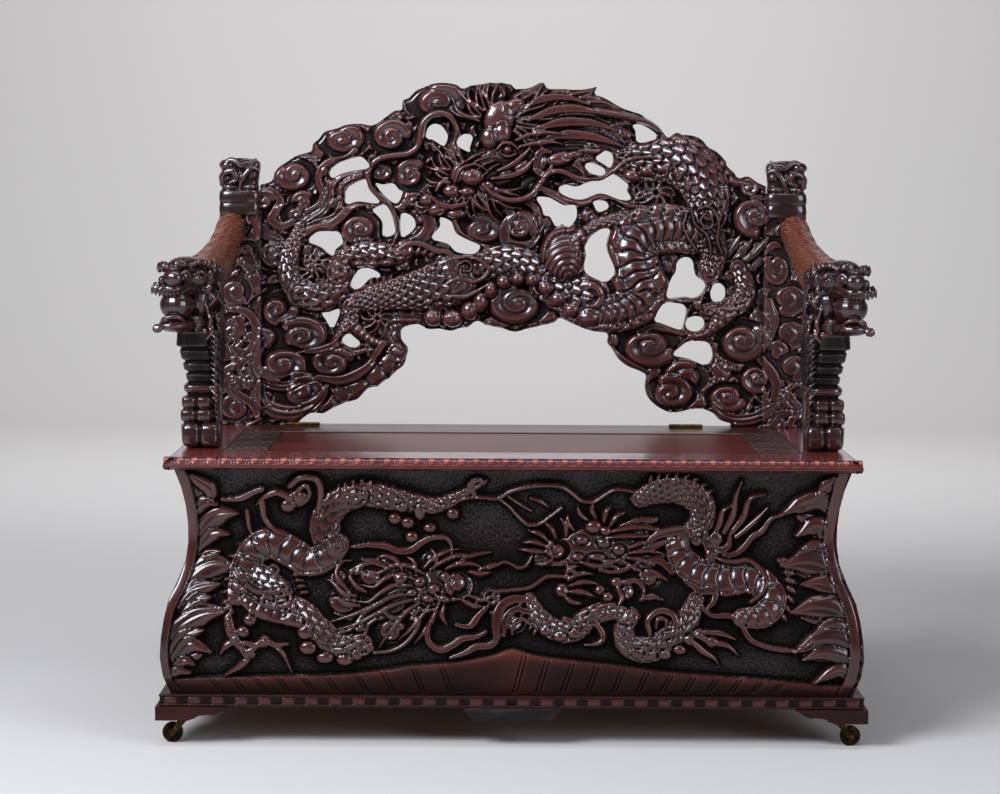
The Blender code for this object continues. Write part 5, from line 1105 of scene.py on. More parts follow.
def board_mesh(name, board, edge, surface, behind, material, keep=None, wall_hollow=0.75, face_hollow=None):
    """Closes a carved board. surface and behind turn (x, z, height) in millimetres to metres."""
    x, z = np.meshgrid(board.x, board.z)
    slope_z, slope_x = np.gradient(edge, CELL_MM)
    close = np.abs(edge) < 0.55 * CELL_MM
    x = np.where(close, x - edge * slope_x, x)
    z = np.where(close, z - edge * slope_z, z)
    solid = (edge < 0) | close
    if keep is not None:
        solid &= keep
    hollow = hollow_of(board.height) if face_hollow is None else face_hollow
    corners = np.arange(board.height.size).reshape(board.height.shape)
    a, b, c, d = corners[:-1, :-1], corners[:-1, 1:], corners[1:, 1:], corners[1:, :-1]
    flags = [solid[:-1, :-1], solid[:-1, 1:], solid[1:, 1:], solid[1:, :-1]]
    count = sum(f.astype(int) for f in flags)
    full = count == 4
    quads = np.stack([q[full] for q in (a, b, c, d)], 1)
    triangles = [
        np.stack([q[(count == 3) & ~flags[k]] for j, q in enumerate((a, b, c, d)) if j != k], 1)
        for k in range(4)
    ]
    triangles = np.concatenate(triangles)
    used = np.unique(np.concatenate([quads.ravel(), triangles.ravel()]))
    index = np.full(board.height.size, -1)
    index[used] = np.arange(len(used))
    flat = [values.ravel()[used] for values in (x, z, board.height)]
    points = surface(*flat)
    polygons = [index[quad] for quad in quads] + [index[tri] for tri in triangles]
    directed = np.concatenate([
        np.stack([p[:, k], p[:, (k + 1) % p.shape[1]]], 1)
        for p in (index[quads], index[triangles]) for k in range(p.shape[1])
    ])
    key = directed[:, 0].astype(np.int64) * len(used) + directed[:, 1]
    reverse = directed[:, 1].astype(np.int64) * len(used) + directed[:, 0]
    edges = directed[~np.isin(key, reverse)]
    nexts = {}
    for start, end in edges.tolist():
        nexts.setdefault(start, []).append(end)
    loops = [loop for loop in walk_loops(nexts) if len(loop) > 2]
    rim = np.unique(np.concatenate([np.array(loop) for loop in loops]))
    rim_index = {int(v): len(used) + k for k, v in enumerate(rim)}
    rim_points = behind(flat[0][rim], flat[1][rim])
    walls = []
    for loop in loops:
        for start, end in zip(loop, loop[1:] + loop[:1]):
            walls.append((end, start, rim_index[start], rim_index[end]))
    flat_back, extra = back_sheet(board, solid, flat, rim, loops, len(used) + len(rim))
    extra_points = behind(extra[:, 0], extra[:, 1]) if len(extra) else np.zeros((0, 3))
    renumber = np.concatenate(
        [np.array([rim_index[int(v)] for v in rim]), len(used) + len(rim) + np.arange(len(extra))],
    )
    back_faces = [tuple(renumber[k] for k in face) for face in flat_back]
    everything = np.concatenate([points, rim_points, extra_points])
    shade = np.concatenate([hollow.ravel()[used], np.full(len(rim) + len(extra), wall_hollow)])
    obj = build_mesh(
        name, everything, polygons + walls + back_faces, shade, material, len(polygons) + len(walls),
    )
    obj.data.materials.append(planed_wood)
    for face in obj.data.polygons[len(polygons) + len(walls):]:
        face.material_index = 1
    print(name, len(obj.data.polygons), "faces,", len(loops), "edges sawn")
    return obj


def back_sheet(board, solid, flat, rim, loops, first_extra):
    """Triangles over the back of a board: the rim's vertices, with a coarse grid between them."""
    slot = {int(v): k for k, v in enumerate(rim)}
    rim_xz = np.stack([flat[0][rim], flat[1][rim]], 1)
    grid = []
    for row in range(BACK_PITCH_CELLS // 2, board.rows, BACK_PITCH_CELLS):
        for column in range(BACK_PITCH_CELLS // 2, board.columns, BACK_PITCH_CELLS):
            patch = solid[max(0, row - 3) : row + 4, max(0, column - 3) : column + 4]
            if patch.all():
                grid.append((board.x[column], board.z[row]))
    grid = np.array(grid).reshape(-1, 2)
    points = [Vector(p) for p in np.concatenate([rim_xz, grid])]
    edges = [(slot[a], slot[b]) for loop in loops for a, b in zip(loop, loop[1:] + loop[:1])]
    found = delaunay_2d_cdt(points, edges, [], 0, 1e-5)
    origin = [source[0] if source else -1 for source in found[3]]
    faces = []
    for face in found[2]:
        middle = sum((found[0][k] for k in face), Vector((0, 0))) / len(face)
        column = int(round((middle.x - board.left) / CELL_MM))
        row = int(round((middle.y - board.foot) / CELL_MM))
        if 0 <= row < board.rows and 0 <= column < board.columns and solid[row, column]:
            if all(origin[k] >= 0 for k in face):
                faces.append([origin[k] for k in reversed(face)])
    return faces, grid


# %% [markdown]
# ### The pierced back as one solid
# The sawn outline runs over the crest, down the posts and round the arch under the dragon. Near
# each sawn edge the carver has rounded the wood over.

# %% Back mesh
ROUND_OVER_MM = 9.0
ROUND_DEEP_MM = 9.0
LID_SWING_SLOPE = 0.104
LID_SWING_ROOM_MM = 27.0
POST_GROUND_MM = 11.5
POST_PROUD_MM = 25.0
TOOL_MARK_MM = 0.08


def placed(points, step=4.0, closed=False):
    return smooth_line([back_place(*p) for p in points], step, closed)


def back_loops():
    crest = placed(PX_CREST)
    underside = placed(PX_UNDERSIDE)
    crest[0][0] = min(crest[0][0], -POST_INNER_MM)
    side = POST_OUTER_MM + 30.0
    low = SEAT_TOP_MM - 10.0
    outline = np.concatenate([
        crest, [(POST_INNER_MM, crest[-1][1]), (side, crest[-1][1] - 30), (side, low)],
        [(underside[0][0], low)], underside, [(underside[-1][0], low), (-side, low)],
        [(-side, crest[0][1] - 30), (-POST_INNER_MM, crest[0][1])],
    ])
    return [outline] + [placed(hole, 3.0, True) for hole in PX_PIERCINGS]


back_edge = edge_distance(back, back_loops())


def finish_back(board, edge):
    """Rounds the sawn edges over, keeps the lid's swing free, and adds the gouge's marks."""
    height = blur(board.height, 0.55)
    inward = np.clip(-edge, 0, ROUND_OVER_MM) / ROUND_OVER_MM
    height = height - ROUND_DEEP_MM * (1 - inward) ** 2
    rise = board.z[:, None] - SEAT_TOP_MM
    limit = LID_SWING_ROOM_MM + LID_SWING_SLOPE * rise
    over = height - (limit - 4.0)
    height = np.where(over > 0, limit - 4.0 + 4.0 * np.tanh(over / 4.0), height)
    at_post = np.abs(board.x)[None, :] > POST_INNER_MM
    post = POST_GROUND_MM + (POST_PROUD_MM - POST_GROUND_MM) * np.tanh(height / 14.0)
    height = np.where(at_post, np.maximum(post, POST_GROUND_MM - 4), height)
    marks = blur(chance.normal(size=height.shape), 1.2) * TOOL_MARK_MM * 3
    board.height = height + marks


finish_back(back, back_edge)


def back_surface(x, z, height):
    return np.stack([x, np.maximum(GROUND_MM - height, GROUND_MM - 60), z], 1) / 1000


def back_behind(x, z):
    return np.stack([x, np.full(len(x), PANEL_BACK_MM), z], 1) / 1000


between_posts = np.broadcast_to(np.abs(back.x)[None, :] < POST_INNER_MM + CELL_MM, back.height.shape)
pierced_back = board_mesh(
    "carved_back", back, back_edge, back_surface, back_behind, wood_of_back, keep=between_posts,
)
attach(pierced_back, "chest")
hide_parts("back_panel")

# %% [markdown]
# ## The chest front
# The front is one thick board that swells out at its foot, a bombé front. Two dragons are carved
# on it over a ground that is dimpled all over with a punch. The drawing was made on the photograph,
# so place() follows each pixel's ray until it meets the swelling face.

# %% The swelling face, measured on the joinery
MITRE_GAP_MM = 0.3
end_points = np.array([v.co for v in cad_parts["chest_right_end"].data.vertices]) * 1000
FACE_LEVELS = np.unique(end_points[:, 2].round(2))
FACE_Y = np.array([end_points[abs(end_points[:, 2] - z) < 0.02, 1].min() for z in FACE_LEVELS]) - MITRE_GAP_MM
FACE_HALF = np.array(
    [end_points[abs(end_points[:, 2] - z) < 0.02, 0].max() for z in FACE_LEVELS]
) - MITRE_GAP_MM
FRONT_BOARD_MM = 22.0
FRONT_GROUND_MM = 8.0
FRONT_LIMIT_MM = box_before[0][1] * 1000 + 0.6
PX_FRONT_MM = 1.69
FINE_LEVELS = np.linspace(FACE_LEVELS[0], FACE_LEVELS[-1], 200)
FINE_Y = np.convolve(
    np.pad(np.interp(FINE_LEVELS, FACE_LEVELS, FACE_Y), 8, mode="edge"), np.ones(17) / 17, "valid",
)


def front_place(across, down):
    """A pixel as millimetres on the chest front: (across, up)."""
    way = ray(across, down)
    y = FACE_Y.mean()
    for _ in range(6):
        hit = CAMERA_PLACE * 1000 + way * ((y - CAMERA_PLACE.y * 1000) / way.y)
        y = float(np.interp(hit.z, FINE_LEVELS, FINE_Y))
    return (hit.x, hit.z)


front = Board(-FACE_HALF.max(), FACE_LEVELS[0], FACE_HALF.max(), FACE_LEVELS[-1], front_place, PX_FRONT_MM)
print("front:", front.rows, "x", front.columns, "cells")

# %% [markdown]
# ### Leaves and border
# A plain rolled border frames the front, with acanthus leaves growing inwards from it. Along the
# foot lies a long low leaf, its surface cut with slanting gouge strokes.

# %% Leaves of the front
PX_LEAVES = (
    ((4, 6, 3), ((191, 478), (200, 483), (211, 492), (206, 506))),
    ((4, 6, 2), ((194, 514), (205, 503), (217, 504))),
    ((5, 9, 8, 2), ((197, 549), (206, 528), (219, 516), (238, 513))),
    ((4, 6, 2), ((199, 547), (214, 534), (229, 534))),
    ((4, 6, 2), ((198, 568), (208, 556), (220, 551))),
    ((6, 10, 9, 2), ((181, 593), (196, 574), (214, 565), (238, 568))),
    ((5, 8, 2), ((179, 603), (195, 590), (220, 584))), ((4, 7, 2), ((184, 613), (196, 602), (211, 597))),
    ((5, 8, 2), ((178, 632), (193, 612), (222, 608))),
    ((6, 10, 8, 2), ((167, 654), (182, 629), (202, 616), (224, 612))),
    ((5, 7, 2), ((171, 655), (186, 637), (203, 630))), ((5, 7, 2), ((176, 660), (190, 645), (211, 652))),
    ((4, 5, 2), ((174, 670), (184, 661), (194, 664))), ((4, 5, 2), ((166, 682), (176, 672), (190, 672))),
    ((4, 6, 3), ((838, 480), (828, 486), (817, 497))),
    ((4, 8, 7, 2), ((833, 514), (820, 501), (802, 505), (783, 513))),
    ((5, 8, 7, 2), ((832, 550), (824, 529), (812, 527), (796, 536))),
    ((4, 6, 6, 2), ((836, 568), (826, 552), (814, 547), (798, 553))),
    ((6, 11, 10, 2), ((850, 593), (836, 572), (812, 561), (781, 566))),
    ((5, 8, 7, 2), ((852, 604), (838, 590), (820, 583), (802, 585))),
    ((4, 7, 2), ((848, 616), (834, 604), (811, 602))),
    ((6, 10, 9, 2), ((857, 632), (842, 612), (818, 606), (791, 613))),
    ((5, 8, 7, 2), ((859, 646), (848, 632), (830, 627), (813, 635))),
    ((6, 9, 8, 2), ((861, 660), (846, 643), (820, 640), (794, 653))),
    ((5, 7, 6, 2), ((858, 670), (842, 657), (822, 653), (803, 660))),
    ((4, 6, 5, 2), ((856, 682), (842, 671), (830, 674), (814, 683))),
)
PX_LEAF_BEDS = (
    ((7, 11, 6), ((189, 502), (197, 492), (205, 500))), ((9, 11, 6), ((196, 556), (206, 536), (222, 519))),
    ((10, 13, 7), ((184, 604), (198, 582), (222, 569))), ((9, 13, 7), ((173, 648), (187, 626), (209, 612))),
    ((6, 9, 5), ((171, 678), (182, 663), (198, 655))), ((7, 11, 6), ((838, 500), (830, 494), (820, 497))),
    ((9, 11, 6), ((833, 548), (821, 531), (802, 517))), ((10, 13, 7), ((851, 600), (835, 580), (800, 568))),
    ((9, 13, 7), ((858, 642), (845, 624), (806, 614))), ((8, 11, 6), ((859, 674), (845, 656), (808, 655))),
)
PX_LEFT_BORDER = (
    (178, 467), (183, 478), (189, 498), (192.5, 519), (192.5, 540), (190, 559), (182, 583), (170, 607),
    (164.5, 630),
    (162.8, 652), (164.5, 671), (169, 684), (176, 692),
)
PX_RIGHT_BORDER = (
    (845, 471), (841, 482), (836, 500), (832, 518), (829, 535), (830.5, 552), (836, 577), (846.5, 601),
    (852.5, 622),
    (855, 648), (853.8, 669), (849, 684), (843, 694),
)
PX_FOOT_LEAF = (
    (150, 681), (185, 678), (244, 677), (291, 676), (339, 675), (386, 670), (410, 666), (457, 662),
    (492, 655),
    (512, 649),
    (535, 655), (564, 659.5), (613, 665), (665, 672), (712, 676), (760, 679.5), (807, 684), (870, 688),
)
PX_FRONT_FOOT = 692
PX_FOOT_GROOVES = (
    217, 239, 260, 283, 308, 332, 362, 388, 418, 446, 520, 543, 568, 593, 619, 643, 667, 690, 713, 736, 758,
    778,
)


def cut(board, width, depth, points):
    """A gouge cut: a rounded groove along a line."""
    line = smooth_line([board.place(*p) for p in points], LINE_STEP_MM)
    half = spread(width, len(line)) * board.px_mm
    where, near, _ = trace(board, line, half, half, 0.5)
    board.height[where] -= np.where(near < 1, depth * (1 - near**2), 0)


# %% [markdown]
# ### The two dragons of the front
# They are read from the photograph like the dragon of the back: body runs with scales or belly
# plates, ropes, claws and whiskers, and heads made of domes with locks around them.

# %% Dragons of the front
PX_FRONT_BODY = (
    (S, (4, 8, 11, 13, 13), (8, 11, 13, 14),
        ((470, 491), (454, 499), (436, 506), (412, 503), (390, 499), (366, 495), (348, 499))),
    (S, (13, 15, 16, 15), (14, 14.5), ((356, 496), (337, 504), (326, 519), (326, 536), (333, 549))),
    (Q, (12, 15, 16, 16, 15, 13), 14,
        ((238, 594), (243, 573), (252, 553), (270, 543), (290, 551), (308, 561), (326, 557), (337, 545))),
    (S, (7, 12, 14, 14, 12), (10, 13, 13),
        ((248, 592), (276, 603), (300, 611), (318, 629), (340, 646), (362, 645))),
    (S, (10, 13, 12), 12, ((248, 566), (264, 578), (280, 590))),
    (B, (10, 14, 15, 14, 12), (12, 15, 14),
        ((640, 499), (658, 492), (680, 491), (700, 503), (702, 520), (692, 534))),
    (Q, (12, 15, 16, 16, 15, 14, 10), 14, (
        (676, 540), (683, 560), (703, 575), (726, 580), (748, 577), (767, 588), (773, 602), (762, 616),
        (742, 618))),
    (S, (9, 13, 14, 14, 12, 9), (11, 13, 13),
        ((696, 600), (686, 622), (668, 640), (648, 650), (629, 645), (624, 628), (632, 616))),
    (S, (7, 11, 12, 12, 10, 8), (10, 13, 12),
        ((530, 599), (540, 618), (556, 630), (574, 630), (592, 616), (612, 611), (628, 617))),
)
PX_FRONT_BEADS = (
    (305, 632, 8, 8), (308, 648, 9, 7), (325, 658, 9, 6), (345, 660, 9, 6), (357, 655, 6, 6),
    (370, 648, 5, 5),
    (650, 656, 7, 5), (665, 655, 7, 5), (680, 650, 7, 5), (690, 640, 6, 6), (638, 654, 6, 5),
    (545, 631, 6, 5),
    (560, 637, 7, 5),
    (575, 634, 7, 5), (588, 626, 6, 5), (395, 519, 7, 6), (412, 537, 7, 6), (453, 514, 7, 6),
    (420, 512, 6, 9),
    (430, 528, 7, 5),
    (408, 523, 7, 6), (402, 508, 6, 5), (617, 582, 7, 5), (600, 590, 6, 5), (608, 597, 6, 5),
    (715, 539, 9, 8),
    (697, 542, 6, 5),
    (298, 499, 11, 9), (288, 506, 8, 7), (243, 632, 7, 6), (250, 620, 7, 6), (265, 640, 6, 5),
    (700, 634, 8, 6),
    (712, 642, 7, 6),
)
PX_FRONT_STROKES = (
    (L, (2, 3.5, 3), 9, ((222, 500), (240, 499), (255, 492), (262, 490))),
    (R, (4, 4, 1), 12, ((290, 498), (276, 493), (262, 499), (256, 506))),
    (R, (4, 3.5, 1), 12, ((262, 503), (265, 519), (275, 530), (288, 535))),
    (K, (3, 3, 1), 9, ((247, 512), (250, 530), (257, 541))),
    (R, (3.5, 4, 4, 3), 13, ((290, 486), (300, 478), (315, 479), (321, 491), (318, 512))),
    (R, (3, 3, 2), 12, ((298, 490), (306, 486), (310, 494), (306, 502))),
    (L, (3, 5, 4, 2), 12, ((238, 570), (248, 584), (262, 593), (278, 596), (292, 592))),
    (R, (2.5, 3, 2.5), 14, ((247, 585), (256, 592), (270, 593), (283, 591), (291, 597), (287, 605),
        (275, 607),
        (262, 604), (264, 597), (272, 599))),
    (R, (3, 3.5, 3), 14, ((250, 612), (263, 613), (272, 619), (282, 621), (291, 616), (294, 607),
        (291, 599))),
    (N, (6, 8, 8, 6), 13, ((244, 600), (258, 610), (278, 616), (298, 622))),
    (N, (5, 6, 5, 4), 12, ((228, 618), (232, 634), (242, 648), (252, 655))),
    (R, (4, 4, 1), 11, ((243, 651), (247, 659), (239, 667), (224, 676))),
    (R, (4, 4, 3, 1), 12, ((246, 655), (258, 645), (272, 644), (284, 655), (292, 673))),
    (R, (3, 3.5, 2), 12, ((244, 643), (256, 645), (264, 640), (276, 645), (288, 644))),
    (K, (4, 4, 1), 10, ((236, 640), (226, 646), (220, 655))),
    (L, (2, 4, 4, 3, 1), 10, ((352, 547), (370, 545), (386, 546), (398, 551), (411, 550), (421, 543),
        (432, 538), (446, 538), (452, 548), (450, 561))),
    (K, (2, 4, 1), 9, ((362, 559), (376, 562), (391, 570))),
    (K, (1, 3, 1), 9, ((455, 563), (475, 555), (492, 552))),
    (K, (1, 3, 1), 9, ((478, 570), (490, 566), (502, 562))),
    (L, (2, 3, 3, 2), 10, ((400, 495), (420, 497), (433, 505), (445, 507), (456, 502), (470, 492),
        (486, 482))),
    (R, (2, 2.6, 2.6, 2, 1.5), 11,
        ((374, 653), (390, 651), (403, 645), (412, 636), (418, 627), (421, 617), (429, 611), (438, 607),
        (438, 597), (430, 593))),
    (R, (2, 2.6, 2), 10, ((335, 645), (346, 643), (356, 637), (365, 634), (368, 625), (376, 619))),
    (R, (2, 2.6, 2), 10, ((340, 632), (350, 630), (357, 622), (366, 612), (378, 606))),
    (L, (2, 4, 4, 2), 10, ((430, 622), (428, 640), (440, 650), (453, 645), (462, 639), (476, 637),
        (486, 632))),
    (L, (2, 4, 2), 10, ((456, 625), (470, 626), (479, 615), (488, 606))),
    (L, (2, 4, 4, 2), 10, ((450, 658), (465, 653), (476, 647), (491, 645), (498, 635), (498, 621),
        (491, 612))),
    (L, (3, 6, 5, 3), 12, ((496, 640), (497, 618), (503, 605), (516, 599), (531, 600))),
    (L, (2, 4, 3), 11, ((504, 636), (506, 618), (516, 609), (528, 612))),
    (R, (2, 3, 2), 10, ((512, 634), (514, 624), (522, 619), (530, 624))),
    (K, (1, 3, 1), 9, ((470, 606), (486, 598), (500, 596))),
    (R, (2, 2.6, 2.6, 2.4, 2), 10, (
        (454, 502), (470, 498), (484, 498), (498, 499), (508, 493), (520, 489), (540, 486), (560, 487),
        (572, 494), (581, 501), (594, 502), (604, 496), (616, 490), (634, 492))),
    (R, (2, 2.5, 2), 9, ((500, 500), (510, 508), (518, 517), (528, 525), (540, 524), (550, 517), (562, 508))),
    (R, (1.5, 2, 1), 8, ((508, 497), (520, 505), (532, 512))),
    (K, (1, 3, 1), 8, ((530, 499), (540, 502), (549, 508))),
    (L, (2, 4, 3), 9, ((484, 484), (478, 480), (470, 486), (474, 494))),
    (L, (3, 5, 5, 3), 12, ((646, 545), (658, 535), (678, 530), (696, 529))),
    (L, (3, 4, 3), 12, ((636, 552), (650, 548), (664, 542))),
    (R, (2.5, 3, 3, 2.5), 15, ((708, 553), (721, 560), (735, 562), (747, 560), (758, 567), (765, 580),
        (762, 593), (751, 602))),
    (L, (2.5, 3.5, 3.5, 2, 1), 11,
        ((716, 548), (726, 555), (737, 553), (746, 545), (752, 537), (762, 531), (771, 519), (783, 515),
        (802, 508))),
    (R, (3.5, 4, 3, 1), 13, ((716, 532), (720, 522), (723, 511), (731, 506))),
    (R, (3.5, 4, 3, 1), 13, ((724, 532), (733, 515), (736, 497), (742, 481))),
    (R, (3.5, 4, 3, 1), 13, ((732, 532), (744, 516), (750, 499), (766, 494))),
    (R, (3, 3.5, 1), 12, ((736, 537), (752, 524), (768, 507))),
    (L, (3, 4, 4, 2), 12, ((706, 533), (706, 545), (716, 551), (728, 546), (730, 534))),
    (N, (7, 8, 7), 13, ((712, 556), (712, 546), (716, 538))),
    (L, (2, 4, 4, 2), 11, ((685, 581), (700, 590), (714, 592), (714, 601), (707, 609))),
    (L, (2, 3, 3, 3, 1), 11, ((700, 596), (703, 608), (714, 616), (731, 616), (742, 626), (750, 639),
        (764, 646), (782, 650), (800, 650), (812, 642))),
    (R, (3, 4, 4, 3), 14, ((650, 634), (648, 620), (660, 611), (674, 616), (675, 630), (664, 637))),
    (R, (2, 3, 2), 13, ((656, 628), (658, 619), (666, 620), (666, 628))),
    (R, (3.5, 4.5, 4, 3), 13, ((565, 619), (578, 624), (590, 618), (600, 608), (614, 605))),
    (R, (3, 4, 3, 1), 12, ((592, 620), (601, 630), (603, 639), (596, 644), (584, 645))),
    (R, (3, 3.5, 1), 12, ((625, 582), (637, 581), (644, 590), (641, 601))),
    (R, (3, 3.5, 1), 12, ((618, 588), (622, 598), (618, 606))),
    (R, (3.5, 4, 3, 1), 12, ((698, 636), (712, 642), (728, 646), (739, 656))),
    (R, (3.5, 4, 3, 1), 12, ((694, 643), (704, 652), (714, 658), (718, 664))),
    (R, (3, 3.5, 1), 12, ((706, 632), (722, 634), (736, 640))),
    (K, (2, 4, 1), 9, ((640, 600), (652, 596), (664, 600))),
    (K, (2, 4, 1), 9, ((640, 575), (656, 574), (668, 580))),
    (L, (2, 4, 3), 10, ((648, 560), (662, 562), (672, 572))),
    (R, (2, 3, 2), 10, ((600, 570), (614, 572), (628, 568), (640, 562))),
    (R, (1.8, 2.3, 2, 1.2), 12,
        ((532, 556), (527, 565), (519, 568), (511, 564), (504, 562), (496, 566), (488, 569))),
    (R, (2, 2.4, 2.2, 1.4), 12,
        ((582, 575), (568, 577), (554, 576), (546, 577), (539, 582), (529, 588), (514, 590), (499, 591),
        (488, 591), (484, 598), (491, 603))),
)
PX_FRONT_FINS = (
    (((392, 490), (378, 487), (362, 483), (346, 487), (334, 493)), 6, 7, (12, 10), 1),
    (((650, 481), (666, 478), (684, 479), (700, 487), (712, 500)), 7, 7, (13, 10), 1),
    (((781, 560), (788, 572), (790, 588), (786, 606), (778, 622)), 7, 8, (12, 9), 1),
    (((230, 590), (228, 600), (230, 612), (236, 622)), 6, 8, (12, 9), -1),
    (((244, 545), (236, 556), (231, 570), (230, 584)), 7, 7, (12, 9), -1),
    (((296, 574), (300, 586), (306, 598)), 6, 6, (13, 11), 1),
    (((520, 604), (528, 620), (540, 634)), 6, 6, (11, 8), -1),
)
PX_FRONT_UNDER = (
    (R, (10, 16, 18, 12), (8, 11, 10), ((386, 608), (404, 594), (430, 588), (462, 586))),
    (R, (8, 14, 18, 16, 10), (8, 11, 11, 9), ((540, 556), (560, 554), (590, 545), (615, 550), (640, 552))),
    (G, (4, 8, 8, 3), (10, 9, 7), ((410, 575), (392, 568), (372, 566), (350, 572))),
    (G, (4, 8, 8, 3), (10, 9, 7), ((402, 606), (382, 612), (358, 616), (336, 612))),
    (G, (4, 7, 7, 3), (10, 9, 7), ((600, 540), (620, 532), (640, 524), (656, 520))),
    (G, (4, 7, 7, 3), (10, 9, 7), ((606, 556), (628, 560), (648, 562), (664, 556))),
)
PX_FRONT_FLOWS = (
    ((424, 574), (408, 566), (392, 566), (378, 573), (366, 570)),
    ((416, 580), (400, 575), (386, 578), (374, 587), (360, 584)),
    ((412, 586), (396, 585), (382, 592), (368, 602), (352, 600)),
    ((410, 594), (392, 597), (374, 606), (352, 615), (330, 622)),
    ((412, 600), (394, 605), (376, 614), (356, 624), (336, 630)),
    ((420, 603), (406, 612), (394, 626), (384, 640), (378, 650)),
    ((430, 605), (420, 618), (410, 630), (398, 640)), ((438, 606), (432, 620), (424, 632), (414, 644)),
    ((350, 592), (342, 584), (336, 573), (342, 562), (352, 560)),
    ((356, 596), (344, 594), (334, 584), (326, 578)),
    ((360, 606), (346, 604), (336, 598), (328, 602)),
    ((430, 570), (442, 562), (456, 556), (470, 556), (486, 552)),
    ((424, 568), (434, 558), (448, 551), (460, 549)), ((446, 569), (458, 564), (472, 564), (484, 568)),
    ((470, 596), (482, 600), (492, 596), (500, 588)), ((462, 600), (474, 606), (486, 606)),
    ((402, 570), (396, 560), (384, 556), (374, 560)),
    ((444, 606), (442, 616), (448, 626)), ((402, 616), (392, 618), (384, 612), (376, 616)),
    ((416, 572), (414, 562), (406, 556)),
    ((436, 566), (436, 556), (430, 548)), ((366, 592), (356, 586), (350, 576), (356, 568)),
    ((470, 572), (480, 574), (492, 572)),
    ((606, 533), (622, 529), (642, 527), (662, 530), (684, 529)),
    ((606, 538), (624, 536), (644, 536), (664, 537)),
    ((628, 548), (642, 543), (658, 541)), ((630, 553), (646, 551), (663, 553)),
    ((628, 558), (642, 560), (657, 566)),
    ((624, 562), (634, 568), (646, 574)), ((548, 541), (540, 534), (528, 531)),
    ((546, 546), (534, 542), (522, 543)),
    ((546, 552), (532, 551), (518, 549)), ((556, 538), (552, 529), (544, 522)),
    ((566, 536), (566, 526), (560, 518)),
    ((588, 520), (580, 514), (578, 506)), ((596, 518), (592, 510), (594, 502)),
    ((604, 522), (606, 512), (612, 506)),
    ((610, 526), (616, 517), (626, 512)), ((574, 530), (568, 522), (568, 514)),
    ((552, 560), (544, 564), (534, 564)),
    ((580, 562), (594, 566), (610, 566), (626, 570)), ((566, 562), (570, 570), (580, 573)),
    ((600, 560), (612, 562), (622, 558)),
    ((568, 580), (580, 574), (594, 574)), ((570, 586), (584, 582), (600, 584)),
    ((568, 592), (582, 592), (596, 597)),
    ((564, 596), (572, 602), (584, 604)), ((566, 576), (570, 568), (580, 566)),
)
PX_FRONT_DOMES = (
    (401, 578, 8, 6, 17, -15), (420, 582, 7, 5, 17, -10), (412, 593, 6, 4, 15, 0), (434, 589, 7, 5, 16, 0),
    (442, 599, 9, 4, 15, 10),
    (445, 577, 6, 5, 16, 0), (428, 599, 7, 4, 15, 10), (594, 527, 9, 7, 17, 0), (606, 531, 6, 5, 16, 0),
    (582, 540, 7, 5, 15, 0),
    (619, 550, 7, 6, 16, 0), (597, 557, 9, 4, 14, 0), (578, 557, 7, 4, 14, 0), (562, 590, 7, 7, 15, 0),
    (604, 543, 7, 5, 14, 0),
)
PX_FRONT_CURLS = (
    (345, 600, 16, 13, 11, 1.5, 0, 1), (392, 632, 15, 12, 11, 1.4, 180, 1),
    (457, 584, 14, 13, 16, 1.2, 200, -1),
    (557, 550, 13, 11, 16, 1.15, 180, 1), (492, 596, 11, 9, 11, 1.3, 0, 1),
    (372, 575, 12, 10, 10, 1.3, 90, 1),
    (360, 626, 11, 9, 10, 1.2, 0, -1),
    (415, 612, 12, 9, 11, 1.3, 0, 1), (625, 590, 10, 9, 9, 1.2, 0, 1), (650, 578, 12, 9, 9, 1.3, 180, 1),
    (515, 622, 12, 11, 11, 1.2, 180, 1),
    (432, 560, 10, 8, 9, 1.2, 0, 1), (340, 577, 11, 9, 9, 1.2, 180, -1), (640, 532, 10, 8, 10, 1.2, 0, -1),
    (272, 570, 9, 8, 12, 1.2, 0, 1),
)


# %% Carve the front
PUNCH_MM = 3.4
PUNCH_DEEP_MM = 0.9
BORDER_TOP_MM = 11.0
LEAF_FULLNESS = 1.3
FRONT_BODY_LIFT = 1.25
GROUND_DIRT_AND_SHADE = 0.3
LEAF_TOP_MM = 12.5


def punched(board):
    """The punched ground: shallow dimples, close together and never in line."""
    dots = np.zeros(board.height.shape)
    step = PUNCH_MM / CELL_MM
    for row in np.arange(0, board.rows, step):
        shift = chance.uniform(-0.45, 0.45, int(math.ceil(board.columns / step)))
        columns = np.arange(0, board.columns, step) + shift * step
        at = np.clip(
            (row + chance.uniform(-0.4, 0.4, len(columns)) * step).round().astype(int), 0, board.rows - 1,
        )
        dots[at, np.clip(columns.round().astype(int), 0, board.columns - 1)] = 1
    return -blur(dots, 0.6) * PUNCH_DEEP_MM * 2.2


def lobed(t, s):
    """A leaf lobe: a full round with one gouge flute along it."""
    return round_section(t, s) * (1 - 0.22 * np.exp(-(((t - 0.35) / 0.2) ** 2)))


